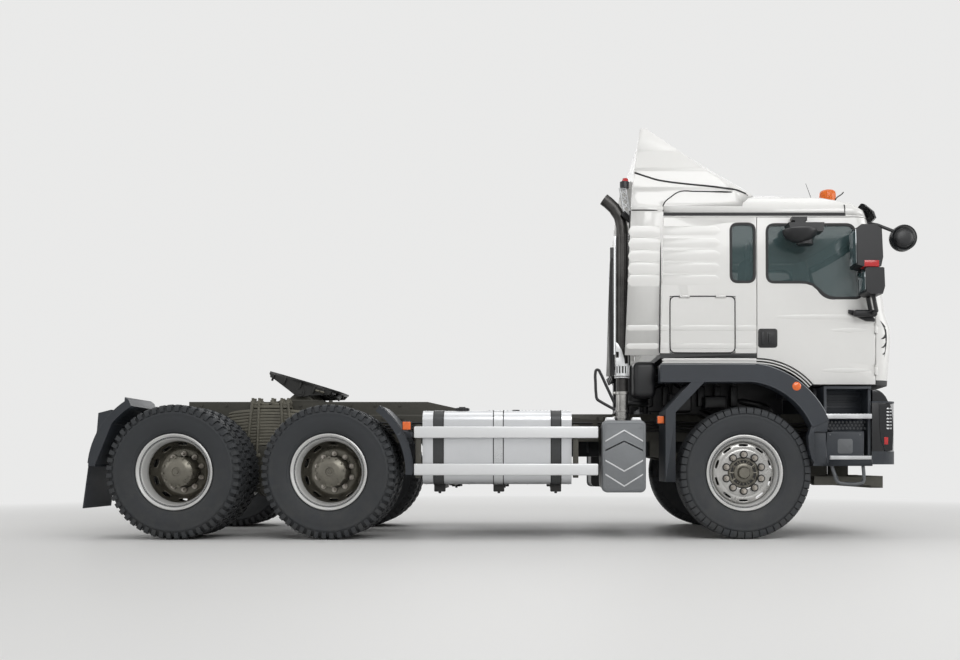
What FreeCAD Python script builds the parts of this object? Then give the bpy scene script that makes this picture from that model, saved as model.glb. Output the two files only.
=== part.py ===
import FreeCAD
import Part
import math
import os

# Three-axle road tractor with a sleeper cab, a leaf-sprung drive bogie and a fifth wheel.
# Millimetres. +X is forwards, +Y is the vehicle's left, +Z is up. The origin is on the
# ground, midway between the ends and the sides of the vehicle.

V = FreeCAD.Vector
SIDES = (("right", -1), ("left", 1))

# ---- axles and wheels -------------------------------------------------------------
FRONT_AXLE_X = 2190.0
WHEELBASE = 3780.0            # front axle to first drive axle
BOGIE_SPACING = 1400.0        # first to second drive axle
TWIN_INNER_Y = 585.0          # inner side wall of the inner drive tyres
FRONT_WIDTH = 2374.0          # over the front tyres
FRONT_TYRE_R = 604.0
DRIVE_TYRE_R = 613.0
TYRE_W = 315.0
TWIN_GAP = 35.0               # between the side walls of a pair of drive tyres
RIM_SEAT_R = 305.0
RIM_FLANGE_R = 347.0
RIM_HALF_W = 120.0
RIM_WALL = 12.0
DISC_T = 14.0
FRONT_DISC_OUT = 66.0         # bolting face of the front disc, outboard of the tyre centre
HUB_BORE_R = 140.0
BOLT_FACE_R = 205.0
KINGPIN_Y = 880.0
KINGPIN_R = 25.0
AXLE_EYE_WALL = 15.0
STEER_ARM = 200.0             # kingpin to track rod ball, straight rearwards
TRACK_ROD_R = 22.0
TRACK_ROD_DROP = 70.0         # track rod below the front axle line
SPINDLE_R = 45.0
DRIVE_SPINDLE_R = 60.0
RUNNING_FIT = 0.05            # radial clearance of everything that turns on a pin
SEAT_GAP = 0.3                # between curved faces that seat on each other
MOVING_GAP = 6.0              # least gap between pieces that move past each other
STEER_MARGIN = 14.0           # beyond the steered tyre's sweep

# ---- frame ------------------------------------------------------------------------
RAIL_TOP = 1177.0
RAIL_H = 270.0
RAIL_OUT = 381.0              # outer face of a side rail
RAIL_FLANGE = 85.0
RAIL_T = 10.0
FRAME_FRONT_X = 3420.0
REAR_OVERHANG = 570.0         # frame end behind the last axle
REAR_TAPER = 420.0            # length over which the frame end gets shallower
REAR_END_H = 170.0
SUBFRAME_H = 122.0
SUBFRAME_NOSE_X = -230.0
SUBFRAME_FULL_X = -780.0

# ---- fifth wheel ------------------------------------------------------------------
FIFTH_LEAD = 255.0            # coupling ahead of the bogie centre
FIFTH_PIVOT_Z = 1396.0
FIFTH_TOP = 116.0             # pivot to the top of the coupling plate
FIFTH_TILT = 16.5             # nose down at rest, degrees
FIFTH_HALF_W = 450.0
FIFTH_REAR = 385.0            # pivot to the tail of the plate
FIFTH_FRONT = 342.0           # pivot to the nose of the plate
FIFTH_PLATE_T = 22.0
FIFTH_PIN_R = 28.0
FIFTH_PIN_Y = 365.0
KINGPIN_JAW_R = 25.5          # bore of the jaw that holds a 2 inch trailer kingpin

# ---- cab --------------------------------------------------------------------------
CAB_HALF_W = 1120.0
CAB_WALL = 46.0
DOOR_T = 60.0
CAB_SPLIT_Z = 2962.0          # drip rail, where walls and roof meet
CAB_FRONT_Z = 1404.0          # lower edge ahead of the wheel arch
CAB_REAR_Z = 1652.0           # lower edge behind it
CAB_ARCH_X = 2304.0
CAB_ARCH_Z = 970.0
CAB_ARCH_R = 678.0
FRONT_BULGE = 64.0            # how far the front swells between the corners
CORNER_W = 140.0
CORNER_L = 150.0
PANEL_GAP = 7.0
GLASS_T = 8.0
GLASS_SET = 9.0               # glass behind the outer skin
TILT_X = 3440.0               # cab tilt pivot
TILT_Z = 1312.0
TILT_Y = 470.0
DOOR_REAR_X = 2311.0
DOOR_FRONT_X = 3391.0
DOOR_TOP_Z = 2944.0
DOOR_TOP_FRONT_X = 3322.0
DOOR_BELT_Z = 2012.0
HATCH_X0 = 1517.0
HATCH_X1 = 2104.0
HATCH_Z0 = CAB_REAR_Z + CAB_WALL + PANEL_GAP + 1
HATCH_Z1 = 2214.0
FLAP_Z0 = 1440.0
FLAP_Z1 = 2000.0
FLAP_HALF_W = 930.0
FLAP_T = 32.0
SCREEN_Z0 = 2072.0
SCREEN_Z1 = 2872.0
SCREEN_HALF_W = 985.0
SKIRT_Y = 1250.0              # outer face of sill, arches and steps

# Cab plan sections: height, front centre x, rear x, half width.
CAB_SECTIONS = (
    (CAB_FRONT_Z, 3603.0, 1414.0, CAB_HALF_W),
    (1802.0, 3633.0, 1427.0, CAB_HALF_W),
    (1930.0, 3629.0, 1431.0, CAB_HALF_W),
    (2058.0, 3583.0, 1433.0, CAB_HALF_W),
    (2588.0, 3512.0, 1446.0, CAB_HALF_W - 5.0),
    (CAB_SPLIT_Z, 3412.0, 1456.0, CAB_HALF_W - 14.0),
)
# Roof plan sections, from the drip rail up: height above it, front x, rear x, half width.
ROOF_SECTIONS = (
    (0.0, 3412.0, 1456.0, CAB_HALF_W - 14.0),
    (60.0, 3392.0, 1458.0, CAB_HALF_W - 18.0),
    (128.0, 3310.0, 1466.0, CAB_HALF_W - 48.0),
    (190.0, 3090.0, 1490.0, CAB_HALF_W - 120.0),
    (238.0, 2700.0, 1540.0, CAB_HALF_W - 260.0),
    (280.0, 2200.0, 1640.0, CAB_HALF_W - 560.0),
)

# ---- worked out from the sizes above ----------------------------------------------
TWIN_SPACING = TYRE_W + TWIN_GAP
OVERALL_WIDTH = 2 * (TWIN_INNER_Y + TYRE_W + TWIN_SPACING)
MID_AXLE_X = FRONT_AXLE_X - WHEELBASE
REAR_AXLE_X = MID_AXLE_X - BOGIE_SPACING
BOGIE_X = (MID_AXLE_X + REAR_AXLE_X) / 2
FIFTH_X = BOGIE_X + FIFTH_LEAD
FRAME_REAR_X = REAR_AXLE_X - REAR_OVERHANG
RAIL_BOTTOM = RAIL_TOP - RAIL_H
FRONT_TYRE_Y = FRONT_WIDTH / 2 - TYRE_W / 2
DRIVE_TYRE_Y = OVERALL_WIDTH / 2 - TYRE_W / 2
DRIVE_FACE_Y = DRIVE_TYRE_Y - TWIN_SPACING / 2
FRONT_OUT = FRONT_WIDTH / 2 - KINGPIN_Y


# ---- shape helpers ----------------------------------------------------------------
def block(x0, x1, y0, y1, z0, z1):
    lows = (min(x0, x1), min(y0, y1), min(z0, z1))
    return Part.makeBox(abs(x1 - x0), abs(y1 - y0), abs(z1 - z0), V(*lows))


def rod(start, end, r):
    line = V(*end) - V(*start)
    return Part.makeCylinder(r, line.Length, V(*start), line)


def tube(start, end, r, wall):
    return rod(start, end, r).cut(rod(start, end, r - wall))


def outline(points, place):
    """Closed face from points; a point of 4 numbers is an arc's middle and its end."""
    edges = []
    first = place(*points[0])
    last = first
    for point in points[1:] + [points[0]]:
        end = place(*point[-2:])
        if len(point) == 4:
            edges.append(Part.Arc(last, place(*point[:2]), end).toShape())
        elif (end - last).Length > 1e-6:
            edges.append(Part.LineSegment(last, end).toShape())
        last = end
    return Part.Face(Part.Wire(edges))


def side_prism(points, y0, y1):
    """Outline in x and z, from y0 to y1."""
    face = outline(points, lambda x, z: V(x, y0, z))
    return face.extrude(V(0, y1 - y0, 0))


def front_prism(points, x0, x1):
    """Outline in y and z, from x0 to x1."""
    face = outline(points, lambda y, z: V(x0, y, z))
    return face.extrude(V(x1 - x0, 0, 0))


def plan_prism(points, z0, z1):
    """Outline in x and y, from z0 to z1."""
    face = outline(points, lambda x, y: V(x, y, z0))
    return face.extrude(V(0, 0, z1 - z0))


def turned(points, x, z, side):
    """Solid of revolution about the axle line at x, z: points are (y outwards, radius)."""
    face = outline(points, lambda y, r: V(x, side * y, z + r))
    return face.revolve(V(x, 0, z), V(0, 1, 0), 360)


def mirrored(shape):
    return shape.mirror(V(0, 0, 0), V(0, 1, 0))


def both(shape):
    """The right-hand shape and its mirror image, which don't touch."""
    return [shape, mirrored(shape)]


def fused(shapes):
    shapes = list(shapes)
    whole = shapes[0].multiFuse(shapes[1:]) if len(shapes) > 1 else shapes[0]
    return whole.removeSplitter()


def group(shapes):
    return Part.makeCompound(list(shapes))


def arc_band(cx, cz, r0, r1, a0, a1, y0, y1):
    """Part of a ring about a cross-axis, between two angles in degrees."""
    def at(r, a):
        t = math.radians(a)
        return (cx + r * math.cos(t), cz + r * math.sin(t))

    mid = (a0 + a1) / 2
    points = [at(r0, a0), at(r1, a0), at(r1, mid) + at(r1, a1), at(r0, a1)]
    face_edges = points + [at(r0, mid) + at(r0, a0)]
    edges_closed = outline_closed(face_edges, lambda x, z: V(x, y0, z))
    return edges_closed.extrude(V(0, y1 - y0, 0))


def outline_closed(points, place):
    """As outline, for a list whose last point already comes back to the first."""
    edges = []
    last = place(*points[0])
    for point in points[1:]:
        end = place(*point[-2:])
        if len(point) == 4:
            edges.append(Part.Arc(last, place(*point[:2]), end).toShape())
        else:
            edges.append(Part.LineSegment(last, end).toShape())
        last = end
    return Part.Face(Part.Wire(edges))


def bent_tube(points, r):
    """Round bar along straight runs, with a ball at each bend."""
    pieces = []
    for start, end in zip(points, points[1:]):
        pieces.append(rod(start, end, r))
    for point in points[1:-1]:
        pieces.append(Part.makeSphere(r, V(*point)))
    return fused(pieces)


# ---- wheels -----------------------------------------------------------------------
def tyre(x, r, y, side):
    """One tyre: bead, bulged side wall, shoulder and crown."""
    half = TYRE_W / 2
    bead = RIM_HALF_W - 14
    seat = RIM_SEAT_R + SEAT_GAP
    lip = RIM_FLANGE_R + 5
    wide = (seat + r) / 2 + 6
    points = [
        (y - bead, seat), (y - bead, lip),
        (y - half, wide - 10, y - half + 12, r - 62),
        (y - half + 34, r - 8),
        (y, r, y + half - 34, r - 8),
        (y + half - 12, r - 62),
        (y + half, wide - 10, y + bead, lip), (y + bead, seat),
    ]
    return turned(points, x, r, side)


def rim(x, z, y, side, face, up):
    """One rim: flanged barrel and a dished disc; up is +1 if the disc bulges outwards."""
    out, bore = RIM_HALF_W, RIM_SEAT_R - RIM_WALL
    barrel = turned([
        (y - out, RIM_FLANGE_R), (y - out, bore), (y + out, bore), (y + out, RIM_FLANGE_R),
        (y + out - RIM_WALL, RIM_FLANGE_R), (y + out - RIM_WALL, RIM_SEAT_R),
        (y - out + RIM_WALL, RIM_SEAT_R), (y - out + RIM_WALL, RIM_FLANGE_R),
    ], x, z, side)
    back = face - up * DISC_T
    foot = y + up * 30.0
    disc = turned([
        (face, HUB_BORE_R), (face, BOLT_FACE_R + 20), (foot, bore + 2),
        (foot - up * DISC_T * 1.6, bore + 2), (back, BOLT_FACE_R + 10), (back, HUB_BORE_R),
    ], x, z, side)
    vents = []
    for n in range(10):
        a = math.radians(36 * n + 18)
        cx = x + 254 * math.cos(a)
        cz = z + 254 * math.sin(a)
        vents.append(rod((cx, side * (y - 260), cz), (cx, side * (y + 260), cz), 21))
    return barrel.fuse(disc.cut(group(vents)))


def front_wheel(side):
    """Rim with its hub, on the knuckle's spindle."""
    y, r = FRONT_TYRE_Y, FRONT_TYRE_R
    face = y + FRONT_DISC_OUT
    wheel = rim(FRONT_AXLE_X, r, y, side, face, 1)
    hub = turned([
        (KINGPIN_Y + 62, SPINDLE_R + RUNNING_FIT), (KINGPIN_Y + 62, 118),
        (face - DISC_T - 12, 118), (face - DISC_T - 12, BOLT_FACE_R - 6),
        (face - DISC_T, BOLT_FACE_R - 6), (face - DISC_T, HUB_BORE_R - SEAT_GAP),
        (face + 14, HUB_BORE_R - SEAT_GAP), (face + 14, 74), (face + 52, 74), (face + 52, 0),
        (face + 20, 0), (face + 20, SPINDLE_R + RUNNING_FIT),
    ], FRONT_AXLE_X, r, side)
    return fused([wheel, hub])


def drive_wheel(x, side):
    """Twin rims bolted face to face, with the drum and the planetary hub."""
    r, mid = DRIVE_TYRE_R, DRIVE_FACE_Y
    outer = rim(x, r, mid + TWIN_SPACING / 2, side, mid + DISC_T, -1)
    inner = rim(x, r, mid - TWIN_SPACING / 2, side, mid - DISC_T, 1)
    outer_face = mid + TWIN_SPACING / 2 + RIM_HALF_W
    hub = turned([
        (mid - 350, DRIVE_SPINDLE_R + RUNNING_FIT), (mid - 350, 216), (mid - 150, 216),
        (mid - 120, BOLT_FACE_R - 6), (mid - DISC_T, BOLT_FACE_R - 6),
        (mid - DISC_T, HUB_BORE_R - SEAT_GAP), (mid + DISC_T + 60, HUB_BORE_R - SEAT_GAP),
        (mid + DISC_T + 80, 128), (outer_face - 72, 128), (outer_face - 52, 108),
        (outer_face - 52, 0), (mid + 20, 0), (mid + 20, DRIVE_SPINDLE_R + RUNNING_FIT),
    ], x, r, side)
    return fused([outer, inner, hub])


def drive_tyres(x, side):
    pair = []
    for offset in (TWIN_SPACING / 2, -TWIN_SPACING / 2):
        pair.append(tyre(x, DRIVE_TYRE_R, DRIVE_FACE_Y + offset, side))
    return group(pair)


# ---- front axle and steering ------------------------------------------------------
def steer_sweep(side):
    """Everything that a steered tyre can reach, with a margin, outboard of the frame."""
    radius = math.hypot(FRONT_TYRE_R, FRONT_OUT) + STEER_MARGIN
    return Part.makeSphere(radius, V(FRONT_AXLE_X, side * KINGPIN_Y, FRONT_TYRE_R))


def front_axle():
    """Forged beam with kingpins, spring seats, leaf springs and their hangers."""
    x, z, k = FRONT_AXLE_X, FRONT_TYRE_R, KINGPIN_Y
    seat_z = z + 20
    beam = front_prism([
        (-k + 16, z - 42), (-k + 60, z - 42), (-560, z - 130), (560, z - 130), (k - 60, z - 42),
        (k - 16, z - 42), (k - 16, z + 42), (k - 90, z + 42), (545, z - 20), (-545, z - 20),
        (-k + 90, z + 42), (-k + 16, z + 42),
    ], x - 52, x + 52)
    parts = [beam]
    for _, side in SIDES:
        pin_y = side * k
        parts.append(rod((x, pin_y, z - 118), (x, pin_y, z + 118), KINGPIN_R))
        parts.append(rod((x, pin_y, z - 42), (x, pin_y, z + 42), KINGPIN_R + AXLE_EYE_WALL))
        y0, y1 = side * SPRING_IN, side * SPRING_OUT
        parts.append(block(x - 110, x + 110, y0, y1, z - 40, seat_z + 60))
        parts.append(side_prism([
            (x - 760, RAIL_BOTTOM - 100), (x - 760, RAIL_BOTTOM - 145),
            (x, seat_z + 50, x + 720, RAIL_BOTTOM - 145),
            (x + 720, RAIL_BOTTOM - 100), (x + 110, seat_z + 150), (x - 110, seat_z + 150),
        ], y0, y1))
        parts.append(block(x - 90, x + 90, y0, y1, seat_z + 120, seat_z + 175))
        for hanger_x in (x - 735, x + 695):
            parts.append(block(hanger_x - 45, hanger_x + 45, side * 330, y1,
                               RAIL_BOTTOM - 150, RAIL_BOTTOM))
    return fused(parts)


SPRING_IN = 362.0
SPRING_OUT = 452.0


def knuckle(side):
    """Steering knuckle: two lugs on the kingpin, the spindle and the track rod arm."""
    x, z, k = FRONT_AXLE_X, FRONT_TYRE_R, KINGPIN_Y
    lug = plan_prism([(x - 48, side * (k - 48)), (x + 48, side * (k - 48)),
                      (x + 48, side * (k + 60)), (x - 48, side * (k + 60))], z - 112, z - 48)
    upper = lug.copy()
    upper.translate(V(0, 0, 160))
    web = block(x - 60, x + 60, side * (k + 46), side * (k + 60), z - 112, z + 112)
    spindle = rod((x, side * (k + 46), z), (x, side * (FRONT_TYRE_Y + FRONT_DISC_OUT), z),
                  SPINDLE_R)
    arm_z = z - TRACK_ROD_DROP
    arm = block(x - STEER_ARM - 34, x - 40, side * (k - 22), side * (k + 22), arm_z - 42,
                arm_z - 26)
    whole = fused([lug, upper, web, spindle, arm])
    pin = rod((x, side * k, z - 130), (x, side * k, z + 130), KINGPIN_R + RUNNING_FIT)
    ball_x = x - STEER_ARM
    eye = rod((ball_x, side * k, arm_z - 60), (ball_x, side * k, arm_z), 12 + RUNNING_FIT)
    return whole.cut(pin).cut(eye)


def track_rod():
    """Rod across the vehicle behind the axle, with a ball pin down through each arm."""
    x, z = FRONT_AXLE_X - STEER_ARM, FRONT_TYRE_R - TRACK_ROD_DROP
    parts = [rod((x, -KINGPIN_Y + 8, z), (x, KINGPIN_Y - 8, z), TRACK_ROD_R)]
    for _, side in SIDES:
        y = side * KINGPIN_Y
        parts.append(rod((x, y, z - 18), (x, y, z + 26), 30))
        parts.append(rod((x, y, z - 52), (x, y, z - 18), 12))
    return fused(parts)


# ---- frame ------------------------------------------------------------------------
def side_rail(side):
    """Channel rail, open inwards, shallower towards its rear end."""
    x0, x1 = FRAME_REAR_X, FRAME_FRONT_X
    end_z = RAIL_BOTTOM + RAIL_H - REAR_END_H
    taper = x0 + REAR_TAPER
    outer = [(x0, end_z), (taper, RAIL_BOTTOM), (x1, RAIL_BOTTOM), (x1, RAIL_TOP),
             (x0, RAIL_TOP)]
    t = RAIL_T
    hollow = [(x0 - 1, end_z + t), (taper, RAIL_BOTTOM + t), (x1 + 1, RAIL_BOTTOM + t),
              (x1 + 1, RAIL_TOP - t), (x0 - 1, RAIL_TOP - t)]
    solid = side_prism(outer, side * RAIL_OUT, side * (RAIL_OUT - RAIL_FLANGE))
    inside = side_prism(hollow, side * (RAIL_OUT - t), side * (RAIL_OUT - RAIL_FLANGE - 1))
    return solid.cut(inside)


HANGER_X = -560.0              # crossmember that carries the shaft's centre bearing
CROSSMEMBERS = (
    # x, half length along x, top below the rail top, height
    (3330.0, 60.0, 14.0, 240.0),
    (430.0, 45.0, 14.0, 205.0),
    (HANGER_X, 45.0, 14.0, 240.0),
)


def frame():
    """Side rails, crossmembers, cab and tank brackets, and the front underrun arms."""
    parts = []
    web = RAIL_OUT - RAIL_T
    rows = CROSSMEMBERS + (
        (BOGIE_X, 110.0, 14.0, 242.0),
        (FRAME_REAR_X + 50, 40.0, 0.0, REAR_END_H),
    )
    for _, side in SIDES:
        parts.append(side_rail(side))
    for x, half, drop, high in rows:
        top = RAIL_TOP - drop
        parts.append(block(x - half, x + half, -web, web, top - high, top))
    for _, side in SIDES:
        parts += cab_bracket(side)
        parts += tank_brackets(side)
        parts += underrun_arm(side)
    return fused(parts)


def cab_bracket(side):
    """Two ears that carry the cab's tilt pin, on top of the rail's front end."""
    ears = []
    for y in (TILT_Y - 46, TILT_Y + 26):
        ears.append(side_prism([
            (TILT_X - 110, RAIL_TOP), (TILT_X + 30, RAIL_TOP), (TILT_X + 34, TILT_Z),
            (TILT_X, TILT_Z + 34, TILT_X - 34, TILT_Z),
        ], side * y, side * (y + 20)))
    foot = block(TILT_X - 110, TILT_X + 30, side * (RAIL_OUT - RAIL_FLANGE),
                 side * (TILT_Y + 46), RAIL_TOP - 30, RAIL_TOP)
    side_plate = block(TILT_X - 110, FRAME_FRONT_X, side * RAIL_OUT, side * (TILT_Y + 46),
                       RAIL_TOP - 120, RAIL_TOP - 30)
    pin = rod((TILT_X, side * (TILT_Y - 46), TILT_Z), (TILT_X, side * (TILT_Y + 46), TILT_Z),
              TILT_PIN_R)
    return ears + [foot, side_plate, pin]


TILT_PIN_R = 15.0
TANK_X0 = MID_AXLE_X + DRIVE_TYRE_R + 232
TANK_X1 = 612.0
TANK_Z0 = 500.0
TANK_Z1 = 1172.0
TANK_IN = 492.0
TANK_OUT = 1165.0
TANK_R = 95.0
STRAP_XS = (TANK_X0 + 145, (TANK_X0 + TANK_X1) / 2 + 11.5, TANK_X1 - 142)
GUARD_OUT = 1250.0
GUARD_T = 30.0
GUARD_H = 105.0
GUARD_ZS = (919.0, 583.0)
GUARD_X0 = MID_AXLE_X + DRIVE_TYRE_R + 163
GUARD_X1 = 848.0


def tank_brackets(side):
    """L-shaped arms under and behind the fuel tank."""
    arms = []
    for x in STRAP_XS:
        arms.append(side_prism([(x - 30, RAIL_BOTTOM - 360), (x + 30, RAIL_BOTTOM - 360),
                                (x + 30, RAIL_TOP - 20), (x - 30, RAIL_TOP - 20)],
                               side * RAIL_OUT, side * (TANK_IN - SEAT_GAP)))
        arms.append(block(x - 30, x + 30, side * RAIL_OUT, side * (TANK_OUT - 120),
                          TANK_Z0 - 45, TANK_Z0 - SEAT_GAP))
        arms.append(block(x - 30, x + 30, side * RAIL_OUT, side * (TANK_IN - SEAT_GAP),
                          TANK_Z0 - 45, RAIL_BOTTOM - 300))
    return arms


def underrun_arm(side):
    """Low arm each side of the front end, carrying the underrun beam."""
    y0, y1 = side * 300, side * RAIL_OUT
    arm = side_prism([(2849, 577), (2849, 530), (2950, 490), (3480, 462), (3480, 577),
                      (3380, 577), (3380, RAIL_BOTTOM), (3200, RAIL_BOTTOM), (3200, 577)],
                     y0, y1)
    beam = block(3370, 3480, 0, side * 1060, 465, 575)
    stub = block(2849, 3370, side * 960, side * 1060, 490, 570)
    tie = block(3100, 3180, y1, side * 1000, 500, 560)
    return [arm, beam, stub, tie]


def subframe():
    """Fifth wheel subframe: an angle on each rail, a mounting plate and two pedestals."""
    base = RAIL_TOP
    top = base + SUBFRAME_H
    x0 = FRAME_REAR_X + REAR_TAPER
    parts = []
    for _, side in SIDES:
        profile = [(x0, base), (SUBFRAME_NOSE_X, base), (SUBFRAME_FULL_X, top), (x0, top)]
        parts.append(side_prism(profile, side * RAIL_OUT, side * (RAIL_OUT - 12)))
        parts.append(block(x0, SUBFRAME_FULL_X, side * (RAIL_OUT - 80), side * RAIL_OUT,
                           top - 12, top))
        parts.append(pedestal(side, top))
    parts.append(block(FIFTH_X - 330, FIFTH_X + 330, -RAIL_OUT, RAIL_OUT, top - 12, top))
    return fused(parts)


def pedestal(side, top):
    """Bearing block under one side of the coupling, with the pivot pin."""
    y0, y1 = FIFTH_PIN_Y - 55, FIFTH_PIN_Y + 15
    body = side_prism([
        (FIFTH_X - 150, top), (FIFTH_X + 150, top), (FIFTH_X + 40, FIFTH_PIVOT_Z),
        (FIFTH_X, FIFTH_PIVOT_Z + 40, FIFTH_X - 40, FIFTH_PIVOT_Z),
    ], side * y0, side * y1)
    pin = rod((FIFTH_X, side * y0, FIFTH_PIVOT_Z), (FIFTH_X, side * (y1 + 40), FIFTH_PIVOT_Z),
              FIFTH_PIN_R)
    return body.fuse(pin)


def fifth_wheel():
    """Coupling plate with its throat, jaw and ribs, turned to its nose-down rest."""
    top, t = FIFTH_TOP, FIFTH_PLATE_T
    rear, front, half = FIFTH_REAR, FIFTH_FRONT, FIFTH_HALF_W
    plate = plan_prism([
        (-rear, 70), (-rear, 250), (-rear + 140, half - 70), (0, half), (front - 150, half - 50),
        (front, 250), (front, -250), (front - 150, -half + 50), (0, -half),
        (-rear + 140, -half + 70), (-rear, -250), (-rear, -70), (-60, -KINGPIN_JAW_R),
        (0, -KINGPIN_JAW_R), (KINGPIN_JAW_R, 0, 0, KINGPIN_JAW_R), (-60, KINGPIN_JAW_R),
    ], top - t, top)
    jaw = plan_prism([
        (-90, 90), (100, 90), (100, -90), (-90, -90), (-90, -55), (-60, -KINGPIN_JAW_R),
        (0, -KINGPIN_JAW_R), (KINGPIN_JAW_R, 0, 0, KINGPIN_JAW_R), (-60, KINGPIN_JAW_R),
        (-90, 55),
    ], top - t - 50, top - t)
    parts = [plate, jaw]
    for _, side in SIDES:
        ear_y = FIFTH_PIN_Y + 15 + MOVING_GAP
        ear = side_prism([
            (-rear + 40, top - t), (-rear + 60, top - t - 30), (-90, -25), (0, -45, 90, -10),
            (front - 60, top - t - 40), (front - 40, top - t),
        ], side * ear_y, side * (ear_y + 26))
        hole = rod((0, side * (ear_y - 5), 0), (0, side * (ear_y + 40), 0),
                   FIFTH_PIN_R + RUNNING_FIT)
        parts.append(ear.cut(hole))
        rib_y = FIFTH_PIN_Y - 55 - MOVING_GAP
        parts.append(block(-rear + 60, front - 60, side * (rib_y - 24), side * rib_y,
                           top - t - 42, top - t))
    whole = fused(parts)
    whole.translate(V(FIFTH_X, 0, FIFTH_PIVOT_Z))
    whole.rotate(V(FIFTH_X, 0, FIFTH_PIVOT_Z), V(0, 1, 0), FIFTH_TILT)
    return whole


# ---- bogie and driveline ----------------------------------------------------------
BOGIE_SPRING_OUT = TWIN_INNER_Y - 25
BOGIE_SPRING_IN = BOGIE_SPRING_OUT - 110
BOGIE_SPRING_TOP = RAIL_TOP + 50
AXLE_TUBE_R = 76.0
TRUNNION_Z = 465.0


def drive_axle(x):
    """Axle casing: banjo, tapering arms and spindles that the hubs run on."""
    z = DRIVE_TYRE_R
    inner = DRIVE_FACE_Y - 350 - MOVING_GAP
    casing = rod((x, -inner, z), (x, inner, z), AXLE_TUBE_R)
    spindle_y = DRIVE_FACE_Y + 12
    spindle = rod((x, -spindle_y, z), (x, spindle_y, z), DRIVE_SPINDLE_R)
    banjo = rod((x - 90, 0, z), (x + 120, 0, z), 205)
    nose = Part.makeCone(150, 80, 170, V(x + 120, 0, z), V(1, 0, 0))
    pads = []
    for _, side in SIDES:
        pads.append(block(x - 80, x + 80, side * BOGIE_SPRING_IN, side * BOGIE_SPRING_OUT,
                          z, z + AXLE_TUBE_R + 30))
    return fused([casing, spindle, banjo, nose] + pads)


def bogie_springs():
    """Leaf pack each side over the axles, on a trunnion under the frame."""
    seat = DRIVE_TYRE_R + AXLE_TUBE_R + 30
    reach = BOGIE_SPACING / 2
    parts = []
    for _, side in SIDES:
        y0, y1 = side * BOGIE_SPRING_IN, side * BOGIE_SPRING_OUT
        parts.append(side_prism([
            (BOGIE_X - reach - 70, seat), (BOGIE_X - reach + 60, seat),
            (BOGIE_X, seat + 130, BOGIE_X + reach - 60, seat), (BOGIE_X + reach + 70, seat),
            (BOGIE_X + reach + 70, seat + 40), (BOGIE_X + 400, BOGIE_SPRING_TOP),
            (BOGIE_X - 400, BOGIE_SPRING_TOP), (BOGIE_X - reach - 70, seat + 40),
        ], y0, y1))
        parts.append(block(BOGIE_X - 190, BOGIE_X + 190, side * (BOGIE_SPRING_IN - 6),
                           side * (BOGIE_SPRING_OUT + 4), BOGIE_SPRING_TOP, BOGIE_SPRING_TOP + 56))
        parts.append(side_prism([
            (BOGIE_X - 150, seat + 170), (BOGIE_X - 105, TRUNNION_Z),
            (BOGIE_X, TRUNNION_Z - 105, BOGIE_X + 105, TRUNNION_Z), (BOGIE_X + 150, seat + 170),
        ], y0, y1))
        parts.append(side_prism([
            (BOGIE_X - 90, TRUNNION_Z), (BOGIE_X, TRUNNION_Z - 90, BOGIE_X + 90, TRUNNION_Z),
            (BOGIE_X + 190, RAIL_BOTTOM), (BOGIE_X - 190, RAIL_BOTTOM),
        ], side * (RAIL_OUT - 60), side * (RAIL_OUT - 10)))
    end = BOGIE_SPRING_OUT + 12
    parts.append(rod((BOGIE_X, -end, TRUNNION_Z), (BOGIE_X, end, TRUNNION_Z), 62))
    return fused(parts)


ENGINE_X0 = 1330.0
ENGINE_X1 = 2760.0
GEARBOX_X0 = 500.0
GEARBOX_OUT_Z = 880.0


def engine():
    """Engine and gearbox as plain blocks at their real place, on cross mounts."""
    web = RAIL_OUT - RAIL_T
    block_low = block(ENGINE_X0, ENGINE_X1, -292, 292, 760, RAIL_TOP + 60)
    block_top = block(ENGINE_X0 + 60, 2250, -250, 250, RAIL_TOP + 60, 1540)
    gearbox = front_prism([(-170, 760), (170, 760), (240, 900), (200, 1130), (-200, 1130),
                           (-240, 900)], GEARBOX_X0, ENGINE_X0)
    feet = []
    for x in (ENGINE_X0 + 140, ENGINE_X1 - 200):
        feet.append(block(x - 50, x + 50, -web, web, RAIL_BOTTOM + 40, RAIL_BOTTOM + 110))
    beam_cut = block(FRONT_AXLE_X - 130, FRONT_AXLE_X + 130, -330, 330, 700, 780)
    return fused([block_low.cut(beam_cut), block_top, gearbox] + feet)


def propshafts():
    """Main shaft from gearbox to first drive axle and the short shaft between axles."""
    nose_x = MID_AXLE_X + 290
    line = V(GEARBOX_X0 - nose_x, 0, GEARBOX_OUT_Z - DRIVE_TYRE_R)
    start = V(nose_x, 0, DRIVE_TYRE_R) - line * 0.05
    main = Part.makeCylinder(62, line.Length * 1.1, start, line)
    main = main.common(block(nose_x, GEARBOX_X0, -200, 200, 300, 1200))
    short = rod((REAR_AXLE_X + 290, 0, DRIVE_TYRE_R), (MID_AXLE_X - 90, 0, DRIVE_TYRE_R), 58)
    top = RAIL_TOP - 14 - 240
    hanger = front_prism([(-90, 740), (90, 740), (60, top), (-60, top)], HANGER_X - 30,
                         HANGER_X + 30)
    return group([fused([main, hanger]), short])


# ---- tanks, boxes, guards ---------------------------------------------------------
def long_fillet(shape, r):
    edges = []
    for edge in shape.Edges:
        a, b = edge.Vertexes[0].Point, edge.Vertexes[-1].Point
        if abs(a.y - b.y) < 1e-6 and abs(a.z - b.z) < 1e-6:
            edges.append(edge)
    return shape.makeFillet(r, edges)


def fuel_tank():
    body = long_fillet(block(TANK_X0, TANK_X1, -TANK_OUT, -TANK_IN, TANK_Z0, TANK_Z1), TANK_R)
    neck = rod((TANK_X0 + 350, -TANK_OUT + 170, TANK_Z1 - 10),
               (TANK_X0 + 350, -TANK_OUT + 170, TANK_Z1 + 22), 50)
    return body.fuse(neck)


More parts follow.
